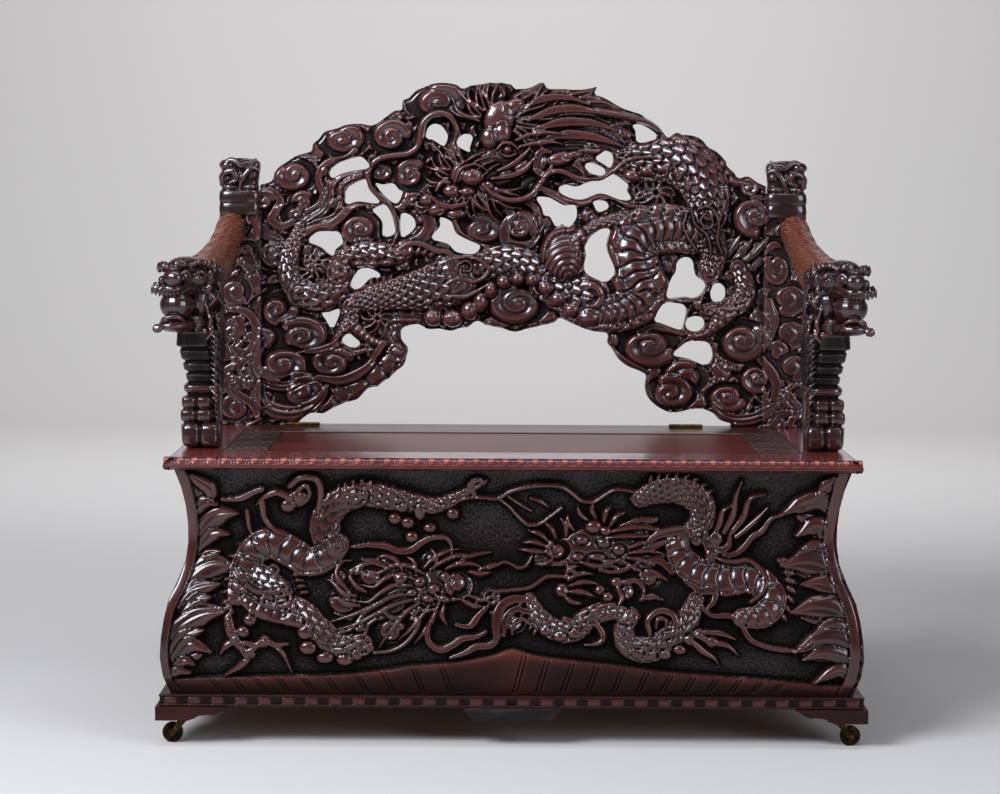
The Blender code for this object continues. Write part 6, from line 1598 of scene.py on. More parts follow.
def carve_front(board):
    board.height = punched(board)
    for widths, points in PX_LEAF_BEDS:
        stroke(board, round_section, widths, LEAF_TOP_MM * 0.6, points, wall=0.3)
    for widths, points in PX_LEAVES:
        wide = [width * LEAF_FULLNESS for width in widths[:-1]] + [widths[-1]]
        stroke(
            board, lobed, wide, (LEAF_TOP_MM * 0.7, LEAF_TOP_MM, LEAF_TOP_MM * 1.2), points, wall=0.3,
            ditch=2.4, dig=5.0,
        )
    foot_leaf(board)
    for points in (PX_LEFT_BORDER, PX_RIGHT_BORDER):
        stroke(board, cushion, (6.0, 5.5, 6.0), BORDER_TOP_MM, points, wall=0.6)
    for entry in PX_FRONT_UNDER:
        stroke(board, *entry)
    for x, y, rx, ry, top, turns, start, hand in PX_FRONT_CURLS:
        scroll(board, x, y, rx, ry, top, turns, start, hand)
    for points, pitch, size, tops, side in PX_FRONT_FINS:
        fins(board, points, pitch, size, tops, side)
    for section, widths, tops, points in PX_FRONT_BODY:
        stroke(board, section, widths, np.multiply(tops, FRONT_BODY_LIFT), points, wall=0.2)
    for x, y, rx, ry in PX_FRONT_BEADS:
        dome(board, x, y, rx, ry, 14)
    for points in PX_FRONT_FLOWS:
        stroke(board, keeled, (2.0, 3.4, 2.8, 0.6), (14, 15, 13, 9), points, ditch=1.8, dig=3.5)
    for x, y, rx, ry, top, turn in PX_FRONT_DOMES:
        dome(board, x, y, rx, ry, top, turn)
    for entry in PX_FRONT_STROKES:
        stroke(board, *entry, ditch=2.2)


def foot_leaf(board):
    """The long leaf along the foot, rolled over at its top edge."""
    line = smooth_line([board.place(*p) for p in PX_FOOT_LEAF], 4.0)
    edge = np.interp(board.x, line[:, 0], line[:, 1])[None, :]
    deep = edge - board.z[:, None]
    roll = np.sqrt(np.clip(1 - (1 - np.clip(deep / 9.0, 0, 1)) ** 2, 0, 1))
    form = BORDER_TOP_MM * (0.35 + 0.65 * roll)
    board.height = np.where(deep > 0, np.maximum(board.height, form), board.height)
    ditch = (deep <= 0) & (deep > -3.0)
    board.height = np.where(
        ditch, np.minimum(board.height, np.maximum(board.height - 3.0, -2.0)), board.height,
    )
    for across in PX_FOOT_GROOVES:
        lean = 5.0 if across < PX_BACK_MIDDLE else -5.0
        top = float(np.interp(across - lean, [p[0] for p in PX_FOOT_LEAF], [p[1] for p in PX_FOOT_LEAF]))
        for shift in (-2.0, 2.0):
            head = (across - lean + shift, top + 1.5)
            heel = (across + lean + shift, PX_FRONT_FOOT)
            cut(board, (0.9, 1.3, 0.9), 2.6, (head, (across + shift, (top + PX_FRONT_FOOT) / 2), heel))


def foot_shade(board):
    """Painted shade on the foot leaf: it is darker than the dragons, less so in the reddish middle of the
    board.
    """
    line = smooth_line([board.place(*p) for p in PX_FOOT_LEAF], 4.0)
    edge = np.interp(board.x, line[:, 0], line[:, 1])[None, :]
    reddish = np.exp(-((board.x / 60.0) ** 2))[None, :]
    return np.clip((edge - board.z[:, None] + 2.0) / 6.0, 0, 1) * (0.22 - 0.2 * reddish)


carve_front(front)
front.height = blur(front.height, 0.5)
front_edge = np.maximum(
    np.abs(front.x)[None, :] - np.interp(front.z, FACE_LEVELS, FACE_HALF)[:, None],
    np.maximum(front.z[0] + 0.3 - front.z, front.z - front.z[-1] + 0.3)[:, None] - 10.0,
)
print("front carved: highest form", round(float(front.height.max()), 1), "mm")


# %% Front mesh
def front_surface(x, z, height):
    base = np.interp(z, FINE_LEVELS, FINE_Y)
    slope = np.interp(z, FINE_LEVELS, np.gradient(FINE_Y, FINE_LEVELS))
    length = np.sqrt(1 + slope**2)
    proud = height - FRONT_GROUND_MM
    y = base - proud / length
    limit = FRONT_LIMIT_MM + 2.5
    y = np.where(y < limit, limit - 2.5 * np.tanh((limit - y) / 2.5), y)
    lift = proud * slope / length * np.clip(np.minimum(z - front.z[0], front.z[-1] - z) / 12.0, 0, 1)
    return np.stack([x, y, z + lift], 1) / 1000


def front_behind(x, z):
    half = np.interp(z, FACE_LEVELS, FACE_HALF)
    y = np.interp(z, FACE_LEVELS, FACE_Y) + FRONT_BOARD_MM
    return np.stack([x * (half - FRONT_BOARD_MM) / half, y, z], 1) / 1000


# darker than the back: painted shade, since the light comes from above; also redder, and the punched ground
# holds dirt
PUNCHED_SHADED_STOPS = ((0.0, "#4c2217"), (0.2, "#321610"), (0.42, "#1d0d0a"), (0.64, "#0f0908"), (0.88, "#040303"))
front_hollow = hollow_of(front.height, 2.6)
# the low punched ground between the forms gets darker still: dirt and painted shade
on_ground = np.clip(1 - (front.height + 1.0) / 3.0, 0, 1)
front_hollow = np.clip(front_hollow + blur(on_ground, 0.8) * GROUND_DIRT_AND_SHADE + foot_shade(front), 0, 1)
wood_of_front = carved_wood("punched_and_carved_hardwood", PUNCHED_SHADED_STOPS, polish=0.8, shine=0.05)
# the leaf along the foot is rubbed dull by shoes and brooms
FOOT_STOPS = ((0.0, "#5a2a1e"), (0.25, "#321612"), (0.5, "#1c0e0c"), (0.75, "#0c0706"), (1.0, "#040303"))
wood_of_foot_leaf = carved_wood(
    "dull_hardwood_of_the_foot_leaf", FOOT_STOPS, rough=(0.5, 0.7), polish=0.06, shine=0.1,
)
carved_front = board_mesh(
    "carved_chest_front", front, front_edge, front_surface, front_behind, wood_of_front,
    face_hollow=front_hollow,
)
foot_line = smooth_line([front.place(*p) for p in PX_FOOT_LEAF], 4.0)
carved_front.data.materials.append(wood_of_foot_leaf)
for face in carved_front.data.polygons:
    across, _, up = face.center * 1000
    if face.material_index == 0 and up < np.interp(across, foot_line[:, 0], foot_line[:, 1]) + 1.0:
        face.material_index = 2
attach(carved_front, "chest")
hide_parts("chest_front_board")

# %% [markdown]
# ## The lion-dog arms
# The arms are carved in the round, so a height map can't hold them. They are built the way a
# modeller works in clay: eggs for the masses and ropes for the locks of hair, pressed together
# and then melted into one skin by a voxel remesh. Each form is placed by its pixel in the
# photograph and its depth in metres, and the right arm is the mirror of the left one.

# %% Clay forms
VOXEL = 0.0015
ROPE_SIDES = 8
EGG_SIDES = 20
EGG_RINGS = 12
SIDE_RIPPLE = 0.0022
FINE_ROUNDS = 6
BROAD_ROUNDS = 40
ARM_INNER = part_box("arm_breast_left")[1].x


def at_depth(across, down, y):
    """The point of a pixel's ray that lies at depth y."""
    way = ray(across, down)
    return np.array(CAMERA_PLACE + way * ((y - CAMERA_PLACE.y) / way.y))


class Clay:
    """Closed forms that overlap until melt() makes one skin of them."""

    def __init__(self):
        self.points = []
        self.faces = []

    def press(self, points, faces):
        first = len(self.points)
        self.points += [tuple(p) for p in points]
        self.faces += [tuple(first + k for k in face) for face in faces]

    def egg(self, centre, radii, turn=0.0, tip=0.0, blunt=1.0):
        """An egg, or a cushion where blunt is under 1.

        turn swings it about the upright and tip nods it forwards, both in degrees.
        """
        swing = Matrix.Rotation(math.radians(turn), 3, "Z") @ Matrix.Rotation(math.radians(tip), 3, "X")
        rings = []
        for k in range(1, EGG_RINGS):
            lift = math.pi * (k / EGG_RINGS - 0.5)
            for i in range(EGG_SIDES):
                angle = 2 * math.pi * i / EGG_SIDES
                rings.append(
                    (math.cos(lift) * math.cos(angle), math.cos(lift) * math.sin(angle), math.sin(lift)),
                )
        rings = [
            tuple(math.copysign(abs(v) ** blunt, v) for v in ring) for ring in [(0, 0, -1), *rings, (0, 0, 1)]
        ]
        placed_rings = [
            Vector(centre) + swing @ Vector((p[0] * radii[0], p[1] * radii[1], p[2] * radii[2]))
            for p in rings
        ]
        last = len(rings) - 1
        faces = []
        for i in range(EGG_SIDES):
            j = (i + 1) % EGG_SIDES
            faces.append((0, 1 + j, 1 + i))
            faces.append((last, last - EGG_SIDES + i, last - EGG_SIDES + j))
            for k in range(EGG_RINGS - 2):
                low = 1 + k * EGG_SIDES
                faces.append((low + i, low + j, low + EGG_SIDES + j, low + EGG_SIDES + i))
        self.press(placed_rings, faces)

    def rope(self, points, radii, step=0.004, flat=1.0):
        """A tapering rope through 3-D points; flat squeezes it against the body."""
        line = smooth_line(points, step)
        sizes = spread(radii, len(line))
        rings = []
        side = np.array((0.0, -1.0, 0.0))
        for k, place in enumerate(line):
            run = line[min(k + 1, len(line) - 1)] - line[max(k - 1, 0)]
            run /= max(1e-9, np.linalg.norm(run))
            out = side - run * (side @ run)
            out /= max(1e-9, np.linalg.norm(out))
            across = np.cross(run, out)
            for i in range(ROPE_SIDES):
                angle = 2 * math.pi * i / ROPE_SIDES
                rings.append(place + sizes[k] * (math.cos(angle) * across + flat * math.sin(angle) * out))
        faces = [
            tuple(range(ROPE_SIDES))[::-1], tuple(len(rings) - ROPE_SIDES + i for i in range(ROPE_SIDES)),
        ]
        for k in range(len(line) - 1):
            low = k * ROPE_SIDES
            for i in range(ROPE_SIDES):
                j = (i + 1) % ROPE_SIDES
                faces.append((low + i, low + j, low + ROPE_SIDES + j, low + ROPE_SIDES + i))
        self.press(rings, faces)

    def stack(self, sections):
        """A body skinned over flat rings of points."""
        count = len(sections[0])
        faces = [tuple(range(count))[::-1], tuple((len(sections) - 1) * count + i for i in range(count))]
        for k in range(len(sections) - 1):
            low = k * count
            for i in range(count):
                j = (i + 1) % count
                faces.append((low + i, low + j, low + count + j, low + count + i))
        self.press([p for ring in sections for p in ring], faces)

    def melt(self, name, material, voxel=VOXEL, keep=None):
        """One skin over everything, with the attribute hollow on it."""
        mesh = bpy.data.meshes.new(name)
        mesh.from_pydata(self.points, [], self.faces)
        obj = bpy.data.objects.new(name, mesh)
        bpy.context.scene.collection.objects.link(obj)
        fused = obj.modifiers.new("melt", "REMESH")
        fused.mode = "VOXEL"
        fused.voxel_size = voxel
        softer = obj.modifiers.new("soft", "SMOOTH")
        softer.factor = 0.5
        softer.iterations = 1
        bpy.context.view_layer.update()
        obj.data = bpy.data.meshes.new_from_object(obj.evaluated_get(bpy.context.evaluated_depsgraph_get()))
        obj.data.name = name
        obj.modifiers.clear()
        bpy.data.meshes.remove(mesh)
        if keep is not None:
            keep(obj.data)
        obj.data.materials.clear()
        obj.data.materials.append(material)
        for face in obj.data.polygons:
            face.use_smooth = True
        shade_hollows(obj.data)
        return obj


def read_points(mesh):
    flat = np.empty(len(mesh.vertices) * 3, np.float32)
    mesh.vertices.foreach_get("co", flat)
    return flat.reshape(-1, 3).astype(float)


def shade_hollows(mesh, fine=0.0007, broad=0.0032):
    """Stores the attribute hollow: how far each point lies below a smoothed copy of the skin."""
    points = read_points(mesh)
    ends = np.empty(len(mesh.edges) * 2, np.int32)
    mesh.edges.foreach_get("vertices", ends)
    a, b = ends.reshape(-1, 2).T
    count = np.bincount(np.concatenate([a, b]), minlength=len(points))[:, None]
    normals = np.empty(len(points) * 3, np.float32)
    mesh.vertex_normals.foreach_get("vector", normals)
    normals = normals.reshape(-1, 3)
    soft = points.copy()
    deep = []
    for step in range(BROAD_ROUNDS):
        total = np.stack(
            [np.bincount(a, soft[b][:, k], len(points)) + np.bincount(b, soft[a][:, k], len(points))
                for k in range(3)], 1,
        )
        soft = 0.4 * soft + 0.6 * total / np.maximum(count, 1)
        if step in (FINE_ROUNDS - 1, BROAD_ROUNDS - 1):
            deep.append(((soft - points) * normals).sum(1))
    hollow = np.clip(0.42 + deep[0] / fine * 0.3 + deep[1] / broad * 0.3, 0, 1)
    mesh.attributes.new("hollow", "FLOAT", "POINT").data.foreach_set("value", hollow.astype(np.float32))


def write_points(mesh, points):
    mesh.vertices.foreach_set("co", points.astype(np.float32).ravel())


def mirrored(obj, name):
    """A copy on the other side of the bench."""
    mesh = obj.data.copy()
    mesh.name = name
    points = read_points(mesh)
    points[:, 0] *= -1
    write_points(mesh, points)
    mesh.flip_normals()
    twin = bpy.data.objects.new(name, mesh)
    bpy.context.scene.collection.objects.link(twin)
    return twin


# %% [markdown]
# ### The head
# The head looks forwards and outwards. It bites on a ball: skull, muzzle and jaw are eggs, the
# brows and the moustache are rows of short curled locks, and the mane is long locks that fall
# behind the cheek.

# %% Head
HEAD_EGGS = (
    # across, down, depth, half sizes in mm, swing, nod
    (198, 277, -0.150, (42, 62, 32), -25, 0), (190, 268, -0.165, (34, 50, 20), -25, -8),
    (183, 287, -0.195, (24, 34, 17), -28, 0),
    (173, 278, -0.232, (19, 15, 15), -28, 0), (184, 276, -0.226, (10, 10, 9), -28, 0),
    (163, 280, -0.224, (8, 9, 8), -28, 0),
    (176, 270, -0.216, (14, 22, 9), -28, 0), (182, 264, -0.214, (13, 13, 9), -20, 0),
    (165, 267, -0.205, (9, 12, 10), -20, 0),
    (205, 300, -0.150, (26, 44, 38), -20, 0), (177, 325, -0.196, (30, 38, 13), -28, 0),
    (195, 322, -0.165, (22, 40, 16), -20, 0),
    (208, 279, -0.176, (11, 12, 12), 0, 0), (204, 289, -0.182, (9, 9, 6), 0, 0),
    (200, 277, -0.190, (8, 7, 6), 0, 0),
    (214, 300, -0.120, (18, 46, 60), 0, 0), (217, 330, -0.105, (16, 34, 40), 0, 0),
)


def ring_of_locks(clay, root, tips, depth, root_size, tip_size, droop=0.0):
    """Curled locks side by side along a line, each running from the root line to the tip line."""
    for (rx, ry), (tx, ty), y in zip(root, tips, depth):
        middle = ((rx + tx) / 2 + droop, (ry + ty) / 2 + abs(droop) * 0.5)
        clay.rope(
            [at_depth(rx, ry, y), at_depth(*middle, y - 0.004), at_depth(tx, ty, y + 0.003)],
            (root_size, root_size * 1.1, tip_size), 0.003,
        )


def seen_rope(clay, points, radii, step=0.004):
    """A rope through points given as (across, down, depth)."""
    clay.rope([at_depth(*point) for point in points], radii, step)


def between(points, count):
    line = smooth_line([np.array(p, float) for p in points], 1.0)
    picks = np.linspace(0, len(line) - 1, count).round().astype(int)
    return [tuple(line[k]) for k in picks]


def model_head():
    clay = Clay()
    for across, down, y, halves, swing, nod in HEAD_EGGS:
        clay.egg(at_depth(across, down, y), [h / 1000 for h in halves], swing, nod)
    ring_of_locks(
        clay, between(((156, 282), (164, 285), (174, 287), (184, 284), (196, 279)), 13),
        between(((152, 294), (162, 297), (174, 298), (186, 296), (200, 291)), 13),
        np.linspace(-0.222, -0.194, 13) - 0.014 * np.sin(np.linspace(0, math.pi, 13)), 0.0030, 0.0017, -2.0,
    )
    seen_rope(
        clay,
        ((155, 285, -0.208), (165, 288, -0.228), (176, 289, -0.232), (187, 285, -0.214), (197, 281, -0.190)),
        (0.004, 0.005, 0.005, 0.005, 0.004),
    )
    clay.egg(at_depth(200.5, 277.5, -0.198), (0.0042, 0.004, 0.0042))
    seen_rope(
        clay, ((194, 280, -0.200), (197, 273, -0.204), (203, 272, -0.202), (207, 277, -0.196)),
        (0.0016, 0.0026, 0.0026, 0.0016), 0.002,
    )
    seen_rope(
        clay,
        ((184, 280, -0.238), (182, 274, -0.236), (187, 271, -0.230), (190, 276, -0.226), (187, 281, -0.228)),
        (0.0022, 0.0028, 0.0028, 0.0022), 0.002,
    )
    ring_of_locks(
        clay, between(((188, 268), (195, 265), (203, 266), (208, 268)), 7),
        between(((193, 262), (200, 259), (208, 259), (214, 262)), 7),
        np.linspace(-0.212, -0.186, 7), 0.0036, 0.0016, 1.0,
    )
    ring_of_locks(
        clay, between(((176, 268), (180, 266), (186, 266)), 4),
        between(((175, 259), (181, 257), (188, 259)), 4), np.linspace(-0.222, -0.212, 4), 0.0036, 0.0016, 1.0,
    )
    ring_of_locks(
        clay, between(((160, 272), (164, 269), (168, 269)), 4),
        between(((159, 262), (162, 261), (167, 263)), 4), np.linspace(-0.206, -0.214, 4), 0.0034, 0.0016,
        -1.0,
    )
    seen_rope(
        clay,
        ((161, 326, -0.222), (163, 319, -0.232), (171, 317, -0.236), (180, 318, -0.232), (186, 323, -0.218)),
        (0.0028, 0.0034, 0.0034, 0.0028),
    )
    seen_rope(clay, ((162, 329, -0.226), (157, 328, -0.226), (156, 330, -0.222)), (0.0062, 0.0085, 0.0078))
    seen_rope(
        clay,
        ((199, 273, -0.196), (205, 277, -0.192), (203, 283, -0.190), (196, 283, -0.194), (192, 277, -0.198)),
        (0.0026, 0.003, 0.003, 0.002),
    )
    seen_rope(clay, ((210, 280, -0.182), (209, 287, -0.186), (203, 290, -0.188)), (0.002, 0.0042, 0.002))
    ring_of_locks(
        clay, between(((188, 318), (192, 322), (193, 327)), 7),
        between(((203, 318), (205, 326), (201, 333)), 7), np.linspace(-0.196, -0.184, 7), 0.0034, 0.0014,
    )
    for k in range(34):
        share = (k % 17) / 16
        row = k // 17
        y = -0.176 + 0.022 * row + 0.004 * math.sin(k * 2.3)
        start = (206 + 9 * row + 2 * math.sin(k), 258 + 66 * share)
        wave = 2.5 * math.sin(k * 1.7)
        points = [
            at_depth(start[0], start[1], y), at_depth(start[0] + 4 + wave, start[1] + 8, y - 0.006),
            at_depth(start[0] + 2 - wave, start[1] + 18, y),
            at_depth(start[0] + 5 + wave, start[1] + 26, y + 0.006),
        ]
        clay.rope(points, (0.003, 0.0042, 0.0036, 0.0012), 0.003)
    return clay


def clear_of_lid(mesh):
    """Nothing of an arm may reach into the path of the lid. The flat that is left gets shallow ripples."""
    points = read_points(mesh)
    feather = 0.5 + 0.5 * np.sin(points[:, 2] * 1100 + 1.5 * np.sin(points[:, 1] * 150))
    points[:, 0] = np.minimum(points[:, 0], ARM_INNER - SIDE_RIPPLE * feather)
    points[:, 0] = np.maximum(points[:, 0], box_before[0][0] + 0.0005)
    write_points(mesh, points)


wood_of_arms = carved_wood("polished_hardwood_of_the_arms", WOOD_STOPS, rough=(0.22, 0.5))
head_left = model_head().melt("lion_dog_head_left", wood_of_arms, keep=clear_of_lid)
head_right = mirrored(head_left, "lion_dog_head_right")
ball_clay = Clay()
ball_clay.egg(at_depth(177, 305, -0.203), (0.030, 0.030, 0.027))
ball_left = ball_clay.melt("bitten_ball_left", wood_of_arms)
ball_right = mirrored(ball_left, "bitten_ball_right")
for side, head, ball in (("left", head_left, ball_left), ("right", head_right, ball_right)):
    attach(head, "chest")
    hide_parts(f"arm_head_{side}")
    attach(ball, "chest")
    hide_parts(f"mouth_ball_{side}")
print("heads:", len(head_left.data.polygons), "faces each")

# %% [markdown]
# ### The breast and the neck
# Under the chin stands a ribbed breast that tapers to a double scroll paw. The neck comes out of
# the post as a round log and is combed with fine fur.

# %% Breast
BREAST_LEDGES = (
    # down, left edge, right edge, front depth
    (331, 174.5, 212, -0.190), (346.5, 173.5, 213, -0.187), (348, 178.5, 213, -0.177),
    (350, 178.5, 214, -0.177),
    (351, 177, 214, -0.180), (359.5, 179, 215, -0.176), (361, 183, 215, -0.167), (363, 183, 215, -0.167),
    (364, 180.5, 215, -0.170), (370.5, 182, 216, -0.166), (372, 186, 216, -0.157), (374, 186, 216, -0.157),
    (375, 183.5, 216, -0.160), (381, 185, 216, -0.156), (382.5, 188, 216, -0.144), (384, 184, 216, -0.150),
    (386, 182, 216, -0.155), (389, 181.5, 216, -0.156), (392, 182.5, 216, -0.152), (394.5, 186, 217, -0.142),
    (398, 187, 218, -0.136), (446, 185, 219, -0.118),
)
BREAST_BACK = -0.062
SEAT_TOP = SEAT_TOP_MM / 1000


def breast_ring(left, right, front, down):
    """A rounded rectangle at one level of the breast."""
    level = at_depth((left + right) / 2, down, front)[2]
    x_low = at_depth(left, down, front)[0]
    x_high = min(at_depth(right, down, front)[0], ARM_INNER)
    middle, half = (x_low + x_high) / 2, (x_high - x_low) / 2
    centre, deep = (front + BREAST_BACK) / 2, (BREAST_BACK - front) / 2
    ring = []
    for i in range(36):
        angle = 2 * math.pi * i / 36
        c, s = math.cos(angle), math.sin(angle)
        ring.append(
            (middle + half * math.copysign(abs(c) ** 0.45, c),
                centre + deep * math.copysign(abs(s) ** 0.6, s),
                level),
        )
    return ring


def model_breast():
    clay = Clay()
    rings = [breast_ring(left, right, front, down) for down, left, right, front in reversed(BREAST_LEDGES)]
    rings[0] = [(x, y, SEAT_TOP + 0.0006) for x, y, _ in rings[0]]
    clay.stack(rings)
    inner = [breast_ring(203, 220.5, front + 0.009, down) for down, _, _, front in reversed(BREAST_LEDGES)]
    inner[0] = [(x, y, SEAT_TOP + 0.0006) for x, y, _ in inner[0]]
    clay.stack(inner)
    for across, down, halves in (
        (190, 401.5, (13.5, 23, 11.5)), (205, 401.5, (13.5, 23, 11.5)), (189.5, 414.5, (14.5, 25, 12)),
        (205, 414.5, (14.5, 25, 12)),
        (192.5, 433.5, (17.5, 31, 22)), (211, 433.5, (18.5, 33, 22)), (184.5, 428, (5, 14, 9)),
    ):
        centre = at_depth(across, down, -0.128)
        centre[0] = min(centre[0], ARM_INNER - halves[0] / 1000)
        centre[2] = max(centre[2], SEAT_TOP + halves[2] / 1000 + 0.0006)
        clay.egg(centre, [h / 1000 for h in halves], blunt=0.5)
    for k in range(18):
        down = 334 + 5.6 * k
        front = float(
            np.interp(down, [ledge[0] for ledge in BREAST_LEDGES], [ledge[3] for ledge in BREAST_LEDGES]),
        )
        seen_rope(
            clay,
            ((211, down, front + 0.004), (216, down + 5, front + 0.001), (219, down + 14, front + 0.012)),
            (0.002, 0.0036, 0.001), 0.003,
        )
    return clay


def above_seat(mesh):
    clear_of_lid(mesh)
    points = read_points(mesh)
    points[:, 2] = np.maximum(points[:, 2], SEAT_TOP + 0.0003)
    write_points(mesh, points)


def darken(mesh, extra):
    """Adds to the attribute hollow: painted shade, and less coat."""
    values = np.empty(len(mesh.vertices), np.float32)
    data = mesh.attributes["hollow"].data
    data.foreach_get("value", values)
    data.foreach_set("value", np.clip(values + extra, 0, 1).astype(np.float32))


breast_left = model_breast().melt("ribbed_breast_left", wood_of_arms, keep=above_seat)
skin = read_points(breast_left.data)
ribs = (skin[:, 2] > at_depth(200, 383, -0.13)[2]) & (
    skin[:, 2] < at_depth(200, 331, -0.13)[2]
) & (skin[:, 1] < 0)
# painted shade on the ribs under the chin and on the flat inner side, which also dulls the coat there
darken(breast_left.data, 0.34 * ribs + 0.4 * (skin[:, 0] > ARM_INNER - 0.0025))
breast_right = mirrored(breast_left, "ribbed_breast_right")
for side, breast in (("left", breast_left), ("right", breast_right)):
    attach(breast, "chest")
    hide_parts(f"arm_breast_{side}")
print("breasts:", len(breast_left.data.polygons), "faces each")

# %% Neck
NECK_LINE = (
    (-0.536, 0.262, 0.876), (-0.5345, 0.19, 0.862), (-0.5385, 0.09, 0.832), (-0.547, 0.0, 0.806),
    (-0.556, -0.08, 0.790), (-0.560, -0.13, 0.785),
)
NECK_RADII = (0.0270, 0.0255, 0.0275, 0.0330, 0.0400, 0.0400)
# where hands rest on the neck the stain is worn back to orange wood
WORN_STOPS = ((0.0, "#b06a3c"), (0.3, "#824325"), (0.5, "#54281a"), (0.75, "#27120d"), (1.0, "#080403"))
FUR_TUFT_MM = 9.0
FUR_TUFTS = 330
NECK_SIDES = 24


def model_neck():
    clay = Clay()
    line = smooth_line(NECK_LINE, 0.012)
    radii = spread(NECK_RADII, len(line))
    sections = []
    for k, (place, radius) in enumerate(zip(line, radii)):
        run = line[min(k + 1, len(line) - 1)] - line[max(k - 1, 0)]
        run /= np.linalg.norm(run)
        up = np.array((0, 0, 1.0)) - run * run[2]
        up /= np.linalg.norm(up)
        across = np.cross(up, run)
        sections.append([
            place + radius * (math.cos(t) * across + math.sin(t) * up)
            for t in np.arange(NECK_SIDES) / NECK_SIDES * 2 * math.pi
        ])
    clay.stack(sections[::-1])
    for _ in range(FUR_TUFTS):
        share = chance.uniform(0.0, 0.93)
        index = int(share * (len(line) - 3))
        place, radius = line[index], radii[index]
        ahead = line[index + 2] - place
        run = ahead / np.linalg.norm(ahead)
        up = np.array((0, 0, 1.0)) - run * run[2]
        up /= np.linalg.norm(up)
        across = np.cross(up, run)
        angle = chance.uniform(0, 2 * math.pi)
        points = []
        for step, lift, twist in ((0.0, 0.0, 0.0), (0.006, 0.0008, 0.12), (0.013, 0.0004, 0.3)):
            out = math.cos(angle + twist) * across + math.sin(angle + twist) * up
            points.append(place + run * step * FUR_TUFT_MM / 6 + out * (radius + lift))
        clay.rope(points, (0.0008, 0.0015, 0.0006), 0.004)
    return clay


def neck_limits(mesh):
    clear_of_lid(mesh)
    points = read_points(mesh)
    points[:, 1] = np.minimum(points[:, 1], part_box("back_post_left")[0].y - 0.0003)
    write_points(mesh, points)


wood_of_necks = carved_wood(
    "hand_worn_hardwood", WORN_STOPS, grain=(GRAIN_STRETCH, 1.0, GRAIN_STRETCH), rough=(0.3, 0.55),
    polish=0.6,
)
neck_left = model_neck().melt("furred_neck_left", wood_of_necks, keep=neck_limits)
neck_right = mirrored(neck_left, "furred_neck_right")
for side, neck in (("left", neck_left), ("right", neck_right)):
    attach(neck, "chest")
    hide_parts(f"arm_neck_{side}")
print("necks:", len(neck_left.data.polygons), "faces each")

# %% [markdown]
# ## The posts
# Below the collars the carving of the back runs on over the posts, in lower relief, so each post
# is a strip of the same height map. The collars and the knobby capital are round, so they are
# modelled in clay like the arms.

# %% Post shafts
COLLAR_FOOT_MM = back_place(240, 214)[1]
post_edge = np.maximum.reduce([
    np.broadcast_to(np.abs(back.x)[None, :] - POST_OUTER_MM + 0.8, back.height.shape),
    np.broadcast_to(POST_INNER_MM + 0.4 - np.abs(back.x)[None, :], back.height.shape),
    np.broadcast_to(back.z[:, None] - COLLAR_FOOT_MM - 3.0, back.height.shape),
])
POST_BACK_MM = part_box("back_post_left")[1].y * 1000


def post_behind(x, z):
    return np.stack([x, np.full(len(x), POST_BACK_MM), z], 1) / 1000


def post_surface(x, z, height):
    return np.stack([x, GROUND_MM - height, np.maximum(z, SEAT_TOP_MM + 0.3)], 1) / 1000


shafts = {}
for side, sign in (("left", -1), ("right", 1)):
    half = np.broadcast_to(back.x[None, :] * sign > 0, back.height.shape)
    shafts[side] = board_mesh(
        "carved_post_" + side, back, post_edge, post_surface, post_behind, wood_of_back, keep=half,
        wall_hollow=1.0,
    )

# %% Collars and capitals
CAPITAL_EGGS = (
    (228, 165, 0.278, (17, 18, 11)), (246, 164, 0.276, (15, 18, 10)), (257, 167, 0.280, (10, 18, 12)),
    (226, 178, 0.278, (14, 18, 15)),
    (240, 176, 0.272, (14, 16, 13)), (253, 175, 0.276, (13, 17, 12)), (230, 187, 0.276, (16, 18, 8)),
    (250, 187, 0.276, (18, 18, 8)),
    (240, 162, 0.296, (34, 14, 8)), (240, 178, 0.290, (38, 16, 24)),
)
COLLARS = ((196.5, 7.0, 0.262), (208.5, 7.5, 0.262))
CORNER_SHARPNESS = 0.5


def oblong(middle, half, depth_middle, depth_half, z, count=40):
    """A ring with soft corners, at one height."""
    ring = []
    for i in range(count):
        angle = 2 * math.pi * i / count
        c, s = math.cos(angle), math.sin(angle)
        ring.append((
            middle + half * math.copysign(abs(c) ** CORNER_SHARPNESS, c),
            depth_middle + depth_half * math.copysign(abs(s) ** CORNER_SHARPNESS, s), z,
        ))
    return ring


def model_capital():
    clay = Clay()
    low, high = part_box("back_post_left")
    middle, half = (low.x + high.x) / 2, (high.x - low.x) / 2
    deep, deep_half = (low.y + high.y) / 2, (high.y - low.y) / 2
    foot = COLLAR_FOOT_MM / 1000
    clay.stack(
        [oblong(middle, half - 0.004, deep, deep_half - 0.001, z)
            for z in (foot, foot + 0.02, high.z - 0.03, high.z - 0.004)],
    )
    for down, tall, _ in COLLARS:
        z = back_place(240, down)[1] / 1000
        rise = tall * back.px_mm / 1000
        rings = []
        for k in range(9):
            lift = math.pi * (k / 8 - 0.5)
            swell = 0.006 * math.cos(lift) ** 0.6 if abs(math.cos(lift)) > 1e-6 else 0.0
            rings.append(
                oblong(middle, half - 0.005 + swell, deep - 0.002, deep_half - 0.003 + swell,
                    z + rise * math.sin(lift)),
            )
        clay.stack(rings)
    for across, down, y, halves in CAPITAL_EGGS:
        clay.egg(at_depth(across, down, y), [h / 1000 for h in halves])
    seen_rope(
        clay, ((222, 186, 0.268), (224, 174, 0.262), (233, 171, 0.258), (236, 180, 0.258), (229, 183, 0.257)),
        (0.005, 0.0065, 0.006, 0.004),
    )
    seen_rope(
        clay, ((240, 190, 0.266), (243, 178, 0.260), (252, 168, 0.262), (261, 172, 0.268)),
        (0.004, 0.006, 0.006, 0.004),
    )
    seen_rope(
        clay, ((221, 166, 0.270), (232, 160, 0.266), (243, 166, 0.262), (257, 160, 0.270)),
        (0.005, 0.006, 0.006, 0.005),
    )
    return clay


